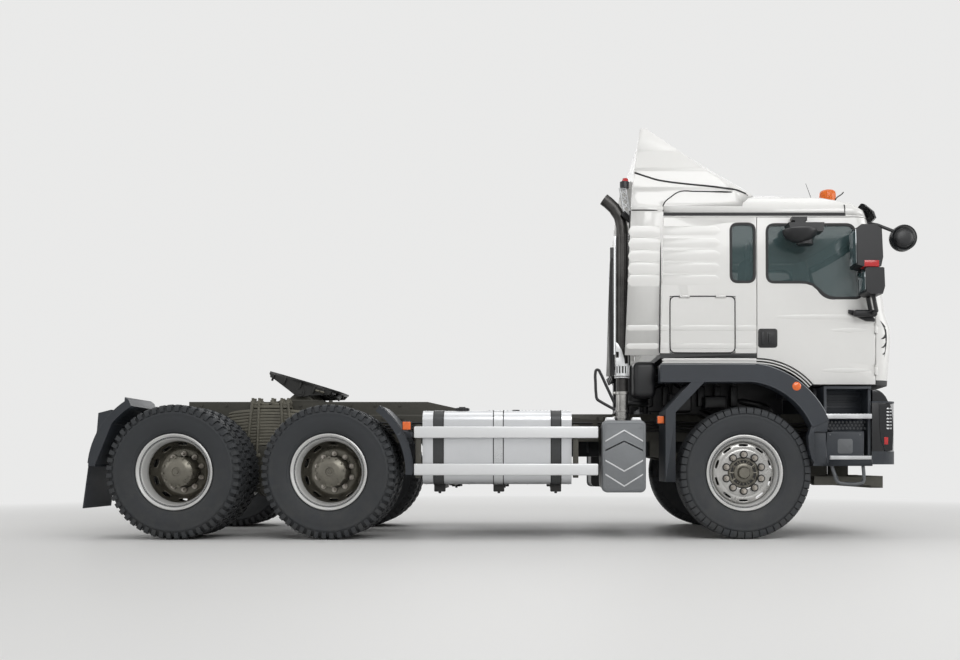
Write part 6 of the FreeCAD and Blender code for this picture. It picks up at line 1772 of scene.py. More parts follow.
    def rear_wall(self):
        bm = bmesh.new()
        tree = caster("cab_body")
        for n in range(7):
            z = 1.86 + n * 0.155
            hit = tree.ray_cast(Vector((0.5, 0.3, z)), Vector((1, 0, 0)))[0]
            x = hit.x if hit is not None else 1.43
            part = bmesh.new()
            profile = [(0.0, 0.0), (0.03, 0.016), (0.10, 0.022), (1.62, 0.022),
                       (1.69, 0.016), (1.72, 0.0)]
            add_lathe(part, profile, (0, -0.86, 0), axis=(0, 1, 0), steps=16)
            bmesh.ops.scale(part, vec=(0.4, 1, 1), verts=part.verts[:])
            bmesh.ops.translate(part, vec=(x + 0.001, 0, z), verts=part.verts[:])
            mesh = bpy.data.meshes.new("rib")
            part.to_mesh(mesh)
            part.free()
            bm.from_mesh(mesh)
            bpy.data.meshes.remove(mesh)
        make_piece(bm, "rear_wall_ribs", "cab", Paint.cab, 60.0)
        make_tube("fin_seals", [
            [(1.112, s * 1.106, 1.690), (1.128, s * 1.106, 2.30), (1.150, s * 1.106, 3.00)]
            for _, s in SIDES], 0.007, "cab", Paint.seal)

    def corner_fins(self):
        """Dark curved slot with its barbs on each front corner."""
        tree = caster("cab_body", "cab_floor")
        bm = bmesh.new()
        spine = [(3.436, 1.996), (3.470, 1.966), (3.488, 1.942), (3.499, 1.900), (3.504, 1.857),
                 (3.503, 1.800), (3.498, 1.762), (3.490, 1.715), (3.476, 1.662), (3.482, 1.710),
                 (3.488, 1.758), (3.489, 1.800), (3.488, 1.850), (3.482, 1.895), (3.468, 1.938),
                 (3.452, 1.968)]
        barbs = ([(3.438, 1.826), (3.470, 1.850), (3.490, 1.882), (3.490, 1.842),
                  (3.468, 1.828)],
                 [(3.444, 1.748), (3.472, 1.768), (3.490, 1.800), (3.490, 1.764),
                  (3.468, 1.748)],
                 [(3.456, 1.690), (3.474, 1.702), (3.488, 1.728), (3.484, 1.700),
                  (3.470, 1.684)])
        for _, sign in SIDES:
            for points in (spine,) + barbs:
                fronts = []
                backs = []
                for x, z in points:
                    y = side_y(tree, x, z, sign)
                    fronts.append(bm.verts.new((x, y + sign * 0.0025, z)))
                    backs.append(bm.verts.new((x - 0.004, y - sign * 0.010, z)))
                count = len(points)
                bm.faces.new(fronts)
                bm.faces.new(backs[::-1])
                for n in range(count):
                    m = (n + 1) % count
                    bm.faces.new((fronts[n], fronts[m], backs[m], backs[n]))
        make_piece(bm, "corner_fins", "cab", Paint.seal)

    def side_lines(self):
        """Seams round the roof corner, behind the cab's side, and the pale lower flange."""
        tree = caster("cab_roof", "wind_deflectors")
        line = ((1.450, 2.996), (1.455, 3.055), (1.474, 3.092), (1.522, 3.133), (1.580, 3.174),
                (1.623, 3.190), (1.740, 3.189), (1.867, 3.187), (2.074, 3.182),
                (2.250, 3.177))
        dark = []
        pale = []
        for _, sign in SIDES:
            path = []
            for x, z in line:
                y = side_y(tree, x, z, sign, 1.06)
                path.append((x, y, z))
            dark.append(path)
            dark.append([(1.418 + 0.012 * n / 5, sign * (side_half(1.70 + 0.25 * n) + 0.0006),
                          1.70 + 0.25 * n) for n in range(6)])
            dark.append([(3.116, side_y(tree, 3.116, z, sign, 1.06), z)
                         for z in (2.990, 3.060, 3.130, 3.185)])
            hatch = rounded_ring(1.514, 2.107, 1.703, 2.217, 0.045, 5)
            dark.append([(x, sign * (side_half(z) + 0.0004), z)
                         for x, z in hatch + hatch[:1]])
            dark.append([(1.160, sign * 1.1185, 3.006), (1.300, sign * 1.1185, 3.006),
                         (1.446, sign * 1.1100, 3.002)])
            for drop in (0.014, 0.040):
                path = [(1.440, sign * 1.114, 1.652 - drop), (1.80, sign * 1.114, 1.652 - drop),
                        (2.304, sign * 1.114, 1.648 - drop)]
                for n in range(1, 8):
                    a = math.radians(90 - 49 * n / 7)
                    path.append((2.304 + (0.678 - drop) * math.cos(a), sign * 1.114,
                                 0.970 + (0.678 - drop) * math.sin(a)))
                pale.append(path)
        make_tube("roof_seams", dark, 0.0055, "cab", Paint.seal)
        make_tube("lower_flange", pale, 0.0075, "cab", Paint.cab)


class TRUCK_OT_glazing(bpy.types.Operator):
    """Tinted panes, rubber seals, the screen's dark border and the wipers"""
    bl_idname = "truck.glazing"
    bl_label = "Glass and seals"

    def execute(self, context):
        refine("cab_glass", Paint.glass, "cab")
        bm = bmesh.new()
        for side, sign in SIDES:
            refine("door_glass_" + side, Paint.glass, "door_" + side)
            door = bmesh.new()
            cuts, rear_cuts = [], []
            add_ring_frame(door, rounded_corners(DOOR_WINDOW, 0.085, 6, cuts),
                           lambda x, z, d, s=sign: (x, s * (side_half(z) + 0.0012 - d), z),
                           0.024, 0.012)
            make_piece(door, "window_seal_" + side, "door_" + side, Paint.seal)
            rounded_corners(REAR_WINDOW, 0.080, 6, rear_cuts)
            for label, body, corners in (("door", "door_" + side, cuts),
                                         ("rear", "cab", rear_cuts)):
                fill = bmesh.new()
                for corner in corners:
                    add_prism(fill, corner, lambda x, z, s=sign: (
                        x, s * (side_half(z) - 0.0004), z), (0, -sign * 0.020, 0))
                make_piece(fill, label + "_window_corners_" + side, body, Paint.cab)
            add_ring_frame(bm, rounded_corners(REAR_WINDOW, 0.080, 6),
                           lambda x, z, d, s=sign: (x, s * (side_half(z) + 0.0012 - d), z),
                           0.024, 0.012)
        make_piece(bm, "rear_window_seals", "cab", Paint.seal)
        self.screen()
        return {"FINISHED"}

    def screen(self):
        tree = caster("cab_glass", "cab_body", "cab_roof")
        band = bmesh.new()
        outline = rounded_corners([(-0.990, 2.066), (0.990, 2.066), (0.968, 2.878),
                                   (-0.968, 2.878)], 0.075, 6)

        def on_screen(y, z, depth=0.0):
            reach = min(abs(y), 0.985)
            glass = front_x(tree, math.copysign(min(reach, 0.93), y),
                            min(max(z, 2.13), 2.82))
            bow = 0.064 * (max(reach - 0.93, 0.0) * 2.0)
            lean = -0.138 * (z - min(max(z, 2.13), 2.82))
            return (glass + 0.004 - depth - bow + lean, y, z)

        add_ring_frame(band, outline, on_screen, 0.062, 0.010)
        make_piece(band, "screen_border", "cab", Paint.seal, 50.0)
        arms = []
        blades = []
        for pivot, tip in ((-0.62, -0.08), (-0.02, 0.50), (0.60, 0.90)):
            base = on_screen(pivot, 2.066)
            path = []
            for n in range(5):
                t = n / 4
                y, z = pivot + (tip - pivot) * t, 2.066 + 0.30 * t
                x = on_screen(y, z)[0] + 0.030
                path.append((x, y, z))
            arms.append([(base[0] + 0.012, base[1], base[2] - 0.02)] + path)
            blade = []
            for n in range(7):
                t = n / 6
                y = tip - 0.34 + 0.60 * t
                z = 2.20 + 0.28 * t
                y = max(min(y, 0.93), -0.93)
                blade.append((on_screen(y, z)[0] + 0.013, y, z))
            blades.append(blade)
        make_tube("wiper_arms", arms, 0.009, "cab", Paint.black)
        make_tube("wiper_blades", blades, 0.0075, "cab", Paint.seal)
        cowl = bmesh.new()
        add_front_bar(cowl, front_tree(), -0.95, 0.95, 2.012, 2.058, -0.004, 0.012)
        make_piece(cowl, "wiper_cowl", "cab", Paint.black, 45.0)


_trees = {}


def front_tree():
    if "front" not in _trees:
        _trees["front"] = caster("cab_body", "front_flap", "cab_glass")
    return _trees["front"]


def bumper_tree():
    if "bumper" not in _trees:
        _trees["bumper"] = caster("bumper", "headlamps")
    return _trees["bumper"]


def add_front_bar(bm, tree, y0, y1, z0, z1, back, proud, cuts=18, fallback=3.55):
    """Bar across the front that follows the bowed surface behind it."""
    part = bmesh.new()
    made = bmesh.ops.create_cube(part, size=1.0)["verts"]
    bmesh.ops.scale(part, vec=(1, y1 - y0, z1 - z0), verts=made)
    bmesh.ops.translate(part, vec=(0.5, (y0 + y1) / 2, (z0 + z1) / 2), verts=made)
    long_edges = [e for e in part.edges if abs(e.verts[0].co.y - e.verts[1].co.y) > 1e-4]
    bmesh.ops.subdivide_edges(part, edges=long_edges, cuts=cuts)
    for vert in part.verts:
        depth = back if vert.co.x < 0.5 else proud
        vert.co.x = front_x(tree, vert.co.y, (z0 + z1) / 2, fallback) + depth
    mesh = bpy.data.meshes.new("bar")
    part.to_mesh(mesh)
    part.free()
    bm.from_mesh(mesh)
    bpy.data.meshes.remove(mesh)


class TRUCK_OT_front_panel(bpy.types.Operator):
    """Louvred grille on the front lid, with a plain badge bar"""
    bl_idname = "truck.front_panel"
    bl_label = "Front panel"

    def execute(self, context):
        tree = front_tree()
        dark = bmesh.new()
        add_front_bar(dark, tree, -0.80, 0.80, 1.520, 1.900, -0.004, 0.003)
        make_piece(dark, "grille_mask", "front_flap", Paint.seal, 45.0)
        slats = bmesh.new()
        for n in range(6):
            z = 1.538 + n * 0.060
            add_front_bar(slats, tree, -0.775, 0.775, z, z + 0.030, 0.0, 0.016)
        for y in (-0.80, 0.776):
            add_front_bar(slats, tree, y, y + 0.024, 1.510, 1.910, 0.0, 0.014, 2)
        for y in (-0.40, 0.0, 0.40):
            add_front_bar(slats, tree, y - 0.006, y + 0.006, 1.530, 1.890, 0.0, 0.010, 1)
        piece = make_piece(slats, "grille_slats", "front_flap", Paint.black,
                           45.0)
        add_bevel(piece, 0.004, 2, 50)
        trim = bmesh.new()
        add_front_bar(trim, tree, -0.83, 0.83, 1.912, 1.934, -0.002, 0.009)
        add_front_bar(trim, tree, -0.83, 0.83, 1.486, 1.504, -0.002, 0.009)
        piece = make_piece(trim, "grille_trim", "front_flap", Paint.cover, 45.0)
        add_bevel(piece, 0.003, 2, 50)
        return {"FINISHED"}


class TRUCK_OT_mirrors(bpy.types.Operator):
    """Mirror housings, glasses and repeaters, the front mirror and the sun visor"""
    bl_idname = "truck.mirrors"
    bl_label = "Mirrors and visor"

    def execute(self, context):
        for side, sign in SIDES:
            body = "door_" + side
            housing = refine("mirrors_" + side, Paint.black, body, 35.0)
            add_bevel(housing, 0.020, 4, 50)
            flat = housing.modifiers.new("Even shading", "WEIGHTED_NORMAL")
            flat.keep_sharp = False
            glass = bmesh.new()
            y0, y1 = sorted((sign * 1.206, sign * 1.384))
            add_side_prism(glass, [(3.128, 2.470), (3.133, 2.470), (3.127, 2.770),
                                   (3.122, 2.770)], y0, y1, 0.002)
            add_side_prism(glass, [(3.203, 2.400), (3.208, 2.400), (3.213, 2.235),
                                   (3.208, 2.235)], y0, y1, 0.002)
            shell = bmesh.new()
            b0, b1 = sorted((sign * 1.150, sign * 1.215))
            add_block(shell, (3.170, b0, 2.022), (3.382, b1, 2.084), 0.022, 4)
            add_rod(shell, (3.330, sign * 1.183, 2.060), (3.290, sign * 1.215, 2.190), 0.020)
            if sign < 0:
                part = bmesh.new()
                dish = [(0.010, 0.0), (0.012, 0.135), (0.002, 0.148), (-0.022, 0.147),
                        (-0.060, 0.124), (-0.090, 0.086), (-0.107, 0.040), (-0.111, 0.0)]
                add_lathe(part, dish, (0, 0, 0), axis=(0, 0, 1), steps=40)
                bmesh.ops.scale(part, vec=(1.05, 0.88, 1), verts=part.verts[:])
                bmesh.ops.translate(part, vec=(2.660, -1.262, 2.782), verts=part.verts[:])
                mesh = bpy.data.meshes.new("dish")
                part.to_mesh(mesh)
                part.free()
                shell.from_mesh(mesh)
                bpy.data.meshes.remove(mesh)
            make_piece(shell, "mirror_shells_" + side, body, Paint.black)
            make_piece(glass, "mirror_glass_" + side, body, Paint.mirror)
            lamp = bmesh.new()
            r0, r1 = sorted((sign * 1.290, sign * 1.4008))
            add_block(lamp, (3.190, r0, 2.434), (3.330, r1, 2.496), 0.008, 3)
            make_piece(lamp, "mirror_repeater_" + side, body, Paint.red)
            trim = bmesh.new()
            t0, t1 = sorted((sign * 1.194, sign * 1.4004))
            add_block(trim, (3.155, t0, 2.500), (3.345, t1, 2.507), 0.002)
            add_block(trim, (3.225, t0, 2.418), (3.365, t1, 2.430), 0.002)
            make_piece(trim, "mirror_joints_" + side, body, Paint.seal)
        arm = refine("ramp_mirror", Paint.black, "cab", 35.0)
        arm.name = "front_mirror_body"
        self.front_mirror()
        refine("sun_visor", Paint.visor, "cab")
        return {"FINISHED"}

    def front_mirror(self):
        x, z, y = 3.684, 2.774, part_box("ramp_mirror")[0].y
        bm = bmesh.new()
        rim = [(0.004, 0.104), (-0.002, 0.112), (0.004, 0.119), (0.018, 0.1195)]
        add_lathe(bm, rim, (x, y + 0.012, z), steps=48)
        for r in (0.085, 0.060):
            ring = [(0.0, r - 0.003), (-0.002, r), (0.0, r + 0.003)]
            add_lathe(bm, ring, (x, y + 0.0065 + 0.02 * (0.1 - r), z), steps=48)
        make_piece(bm, "front_mirror_rings", "cab", Paint.gloss)
        glass = bmesh.new()
        add_rod(glass, (x, -0.984, z), (x, -0.9775, z), 0.108, steps=48)
        make_piece(glass, "front_mirror_glass", "cab", Paint.mirror)


class TRUCK_OT_beacon(bpy.types.Operator):
    """Amber beacon with ribbed dome, and the whip antenna"""
    bl_idname = "truck.beacon"
    bl_label = "Beacon and antenna"

    def execute(self, context):
        low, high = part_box("beacon")
        centre = (low + high) / 2
        roof = caster("cab_roof")

        def roof_z(x, y):
            hit = roof.ray_cast(Vector((x, y, 5.0)), Vector((0, 0, -1)))[0]
            return hit.z if hit is not None else 3.15

        base = bmesh.new()
        foot = roof_z(centre.x, centre.y)
        profile = [(foot - 0.012, 0.0), (foot - 0.012, 0.062), (3.188, 0.060), (3.190, 0.076),
                   (3.206, 0.076), (3.208, 0.068), (3.212, 0.0)]
        add_lathe(base, profile, (centre.x, centre.y, 0), axis=(0, 0, 1), steps=40)
        make_piece(base, "beacon_base", "cab", Paint.black, 35.0, ("beacon",))
        dome = bmesh.new()
        outer = [(3.206, 0.073), (3.216, 0.077), (3.300, 0.077), (3.316, 0.071),
                 (3.326, 0.056), (3.330, 0.0)]
        add_lathe(dome, outer, (centre.x, centre.y, 0), axis=(0, 0, 1), steps=48)
        for n in range(28):
            a = math.tau * n / 28
            place = Vector((centre.x + 0.075 * math.cos(a), centre.y + 0.075 * math.sin(a),
                            3.216))
            add_rod(dome, place, place + Vector((0, 0, 0.080)), 0.0028, steps=6)
        for z in (3.243, 3.268):
            ring = [(z - 0.004, 0.075), (z, 0.0795), (z + 0.004, 0.075)]
            add_lathe(dome, ring, (centre.x, centre.y, 0), axis=(0, 0, 1), steps=40)
        make_piece(dome, "beacon_dome", "cab", Paint.amber, 40.0)
        lamp = bmesh.new()
        add_rod(lamp, (centre.x, centre.y, 3.205), (centre.x, centre.y, 3.275), 0.022)
        add_rod(lamp, (centre.x - 0.03, centre.y, 3.240), (centre.x - 0.022, centre.y, 3.240),
                0.036, 0.030)
        make_piece(lamp, "beacon_lamp", "cab", Paint.chrome)
        x, y = 2.985, -0.60
        foot = roof_z(x, y)
        whip = bmesh.new()
        add_rod(whip, (x, y, foot - 0.006), (x - 0.006, y, foot + 0.030), 0.017, 0.009, 20)
        add_rod(whip, (x - 0.004, y, foot + 0.02), (x - 0.030, y, foot + 0.085), 0.0055, 0.004)
        add_rod(whip, (x - 0.030, y, foot + 0.085), (x - 0.086, y, foot + 0.235), 0.003, 0.002)
        make_piece(whip, "antenna", "cab", Paint.black)
        return {"FINISHED"}


class TRUCK_OT_skirts(bpy.types.Operator):
    """Sill, wheel arches and step wells with treads, hatches and stirrups"""
    bl_idname = "truck.skirts"
    bl_label = "Sills and steps"

    def execute(self, context):
        refine("front_mudguards", Paint.skirt, "chassis", 30.0)
        refine("step_boxes", Paint.skirt, "chassis", 30.0)
        self.sill_highlight_and_fold()
        self.arch_feet()
        strips = bmesh.new()
        dark = bmesh.new()
        panels = bmesh.new()
        hatches = bmesh.new()
        for _, sign in SIDES:
            add_block(strips, (2.896, sign * 1.150, 1.0945), (3.318, sign * 1.2395, 1.1375), 0.004)
            add_block(strips, (2.938, sign * 1.165, 0.7240), (3.312, sign * 1.2505, 0.7605), 0.004)
            for n in range(12):
                x = 2.925 + n * 0.0335
                for k in range(5):
                    add_rod(strips, (x, sign * (1.165 + 0.014 * k), 1.1370),
                            (x, sign * (1.165 + 0.014 * k), 1.1405), 0.0055, 0.003, 6)
                for row in range(3):
                    z = 1.010 + row * 0.029
                    shift = 0.0165 * (row % 2)
                    a = (x + shift, sign * 1.119, z)
                    b = (x + shift, sign * 1.127, z)
                    add_rod(dark, a, b, 0.0115, 0.0090, 10)
            out = sign * 1.2205
            ring = rounded_ring(3.013, 3.150, 0.779, 0.912, 0.020, 4)
            add_prism(hatches, ring, lambda x, z, o=out, s=sign: (x, o - s * 0.004, z),
                      (0, sign * 0.008, 0), 0.002)
            panel = rounded_ring(2.916, 3.244, 0.690, 0.972, 0.012, 3)
            add_prism(panels, panel, lambda x, z, o=out, s=sign: (x, o - s * 0.006, z),
                      (0, sign * 0.009, 0), 0.003)
            panel = rounded_ring(2.800, 2.908, 0.690, 0.972, 0.012, 3)
            add_prism(panels, panel, lambda x, z, o=out, s=sign: (x, o - s * 0.006, z),
                      (0, sign * 0.009, 0), 0.003)
            add_rod(dark, (3.126, out, 0.845), (3.126, out + sign * 0.0055, 0.845), 0.012)
            add_rod(dark, (3.030, out, 0.895), (3.030, out + sign * 0.0055, 0.895), 0.005)
            for x in (2.945, 3.215):
                for z in (0.712, 0.950):
                    place = (x, sign * 1.222, z)
                    add_rod(dark, place, (x, sign * 1.2265, z), 0.008, steps=6)
        make_piece(strips, "step_strips", "chassis", Paint.white_strip)
        make_piece(dark, "step_details", "chassis", Paint.grey)
        make_piece(panels, "step_panels", "chassis", Paint.skirt)
        make_piece(hatches, "step_hatches", "chassis", Paint.grey)
        make_tube("stirrup_tubes", [
            [(2.960, s * 1.210, 0.690), (2.985, s * 1.210, 0.602), (3.022, s * 1.210, 0.520),
             (3.060, s * 1.210, 0.510), (3.200, s * 1.210, 0.506), (3.245, s * 1.210, 0.520),
             (3.254, s * 1.210, 0.570), (3.246, s * 1.210, 0.680)] for _, s in SIDES],
            0.0155, "chassis", Paint.grey)
        return {"FINISHED"}

    def arch_feet(self):
        """Lower end of each arch where it meets the steps, and the well's back panel."""
        bm = bmesh.new()
        back = bmesh.new()
        for _, sign in SIDES:
            add_side_prism(bm, [
                (2.770, 1.030), (2.850, 1.085), (2.925, 1.070), (2.915, 0.975), (2.800, 0.975),
                (2.800, 0.690), (2.776, 0.730), (2.752, 0.820), (2.742, 0.930)],
                sign * 1.165, sign * 1.240, 0.004)
            add_side_prism(back, [(2.900, 1.145), (3.300, 1.145), (3.300, 1.385),
                                  (2.860, 1.385)], sign * 0.985, sign * 0.975, 0.002)
            for z in (1.200, 1.255, 1.310):
                add_block(back, (2.93, sign * 0.985, z), (3.27, sign * 0.990, z + 0.02), 0.002)
        make_piece(bm, "arch_feet", "chassis", Paint.skirt)
        make_piece(back, "well_backs", "chassis", Paint.skirt)

    def sill_highlight_and_fold(self):
        """Pale strip along the top of sill and arch, a painted highlight on the dark band's top edge,
        and the fold at the arch's mouth.
        """
        paths = []
        folds = []
        for _, sign in SIDES:
            y = sign * (SKIRT_Y - 0.020)
            path = [(1.412, y, 1.584), (1.80, y, 1.584), (2.154, y, 1.584)]
            for n in range(1, 11):
                a = math.radians(82 - 59 * n / 10)
                path.append((2.154 + 0.842 * math.cos(a), y, 0.757 + 0.842 * math.sin(a)))
            paths.append(path)
            fold = []
            for n in range(12):
                a = math.radians(81 - 57 * n / 11)
                fold.append((2.154 + 0.678 * math.cos(a), sign * (SKIRT_Y - 0.004),
                             0.757 + 0.678 * math.sin(a)))
            folds.append([(1.70, sign * (SKIRT_Y - 0.004), 1.428)] + fold)
        # Grey satin tube on the dark sill: painted highlight along its top edge.
        make_tube("painted_sill_highlight", paths, 0.008, "chassis", Paint.cover)
        make_tube("arch_fold", folds, 0.007, "chassis", Paint.skirt)


class TRUCK_OT_bumper(bpy.types.Operator):
    """Bumper with intake, fog lamps and blank plate, and the lamps behind their lenses"""
    bl_idname = "truck.bumper"
    bl_label = "Bumper and headlamps"

    def execute(self, context):
        refine("bumper", Paint.skirt, "chassis", 30.0)
        refine("headlamps", Paint.lens, "chassis", 30.0)
        tree = bumper_tree()
        dark = bmesh.new()
        add_front_bar(dark, tree, -0.82, 0.82, 1.050, 1.200, -0.003, 0.002, 18, 3.62)
        add_front_bar(dark, tree, -0.52, 0.52, 0.720, 0.830, -0.003, 0.002, 12, 3.62)
        make_piece(dark, "bumper_mask", "chassis", Paint.seal, 45.0)
        slats = bmesh.new()
        for n in range(4):
            z = 1.062 + n * 0.036
            add_front_bar(slats, tree, -0.80, 0.80, z, z + 0.016, 0.0, 0.010, 18, 3.62)
        for n in range(3):
            z = 0.734 + n * 0.034
            add_front_bar(slats, tree, -0.50, 0.50, z, z + 0.014, 0.0, 0.009, 12, 3.62)
        make_piece(slats, "bumper_slats", "chassis", Paint.black, 45.0)
        plate = bmesh.new()
        add_block(plate, (3.632, -0.26, 0.862), (3.6395, 0.26, 0.972), 0.003)
        make_piece(plate, "blank_plate", "chassis", Paint.rail)
        self.lamps()
        return {"FINISHED"}

    def lamps(self):
        housing, bright, amber, red = (bmesh.new() for _ in range(4))
        for _, sign in SIDES:
            add_block(housing, (3.35, sign * 0.905, 0.805), (3.455, sign * 1.150, 1.235), 0.015)
            s0, s1 = sorted((sign * 1.165, sign * 1.2008))
            add_block(housing, (3.330, s0, 0.798), (3.432, s1, 1.242), 0.006)
            for z, r in ((1.165, 0.058), (1.030, 0.062), (0.895, 0.048)):
                place = Vector((3.455, sign * 1.000, z))
                bowl = [(0.0, r * 0.35), (0.012, r * 0.62), (0.032, r * 0.88),
                        (0.056, r), (0.060, r * 1.06), (0.050, r * 1.10), (0.0, r * 1.10)]
                add_lathe(bright, bowl, place, axis=(1, 0, 0), steps=36)
                add_rod(bright, place, place + Vector((0.036, 0, 0)), r * 0.20, r * 0.14, 16)
                add_lathe(housing, [(-0.02, r * 1.13), (0.054, r * 1.13), (0.054, r * 1.18),
                                    (-0.02, r * 1.18), (-0.02, r * 1.13)], place,
                          axis=(1, 0, 0), steps=36)
            for n in range(9):
                z = 0.960 + n * 0.030
                a0, a1 = sorted((sign * 1.120, sign * 1.150))
                add_block(bright, (3.462, a0, z), (3.484, a1, z + 0.005), 0.002)
            a0, a1 = sorted((sign * 1.095, sign * 1.118))
            add_block(bright, (3.500, a0, 0.955), (3.508, a1, 1.215), 0.003)
            a0, a1 = sorted((sign * 1.135, sign * 1.176))
            add_block(amber, (3.418, a0, 0.850), (3.462, a1, 0.925), 0.006, 3)
            a0, a1 = sorted((sign * 0.62, sign * 0.78))
            for z in (0.772,):
                add_lathe(bright, [(0.0, 0.036), (0.016, 0.044), (0.020, 0.050),
                                   (0.012, 0.056), (0.0, 0.056)],
                          (3.603, sign * 0.70, z), axis=(1, 0, 0), steps=32)
                add_rod(bright, (3.600, sign * 0.70, z), (3.612, sign * 0.70, z), 0.040)
        gloss = bmesh.new()
        for _, sign in SIDES:
            add_side_prism(gloss, [
                (3.336, 1.246), (3.336, 1.358), (3.372, 1.360), (3.405, 1.350), (3.436, 1.327),
                (3.462, 1.296), (3.486, 1.246)], sign * 0.930, sign * 1.196, 0.010)
            add_side_prism(gloss, [
                (3.395, 1.238), (3.490, 1.238), (3.512, 1.170), (3.522, 1.060), (3.524, 0.960),
                (3.517, 0.806), (3.450, 0.800), (3.412, 0.900), (3.398, 1.040)],
                sign * 1.1985, sign * 1.2045, 0.002)
            for n in range(7):
                a0, a1 = sorted((sign * 1.203, sign * 1.2075))
                z = 1.000 + n * 0.030
                add_block(bright, (3.462, a0, z), (3.488, a1, z + 0.012), 0.002)
                add_block(bright, (3.496, a0, z), (3.506, a1, z + 0.012), 0.002)
            a0, a1 = sorted((sign * 1.203, sign * 1.209))
            add_block(amber, (3.440, a0, 0.862), (3.476, a1, 0.928), 0.005, 3)
        make_piece(gloss, "lamp_covers", "chassis", Paint.gloss)
        make_piece(housing, "lamp_housings", "chassis", Paint.black)
        make_piece(bright, "lamp_reflectors", "chassis", Paint.chrome)
        make_piece(amber, "lamp_indicators", "chassis", Paint.red)
        red.free()


# ---- inside the cab -------------------------------------------------------------------
SEAT_Y = 0.545


def add_pad(bm, low, high, crown, cuts=6):
    """Crowned closed pad: its middle swells and its sides pull in between the corners."""
    low, high = Vector(low), Vector(high)
    centre, half = (low + high) / 2, (high - low) / 2
    part = bmesh.new()
    bmesh.ops.create_cube(part, size=2.0)
    bmesh.ops.subdivide_edges(part, edges=part.edges[:], cuts=cuts, use_grid_fill=True)
    for vert in part.verts:
        x, y, z = vert.co
        swell = (1 - x * x) * (1 - y * y) * (1 - z * z)
        edge = max(abs(x) + abs(y), abs(y) + abs(z), abs(x) + abs(z)) - 1.0
        pull = 1.0 - 0.10 * max(edge, 0.0) ** 2
        flat = (1 - x * x) * (1 - y * y)
        vert.co = Vector((x * half.x * pull, y * half.y * pull,
                          z * (half.z - crown) * pull + crown * flat * math.copysign(1, z)
                          * (abs(z) > 0.5) + swell * 0.0)) + centre
    mesh = bpy.data.meshes.new("pad")
    part.to_mesh(mesh)
    part.free()
    bm.from_mesh(mesh)
    bpy.data.meshes.remove(mesh)


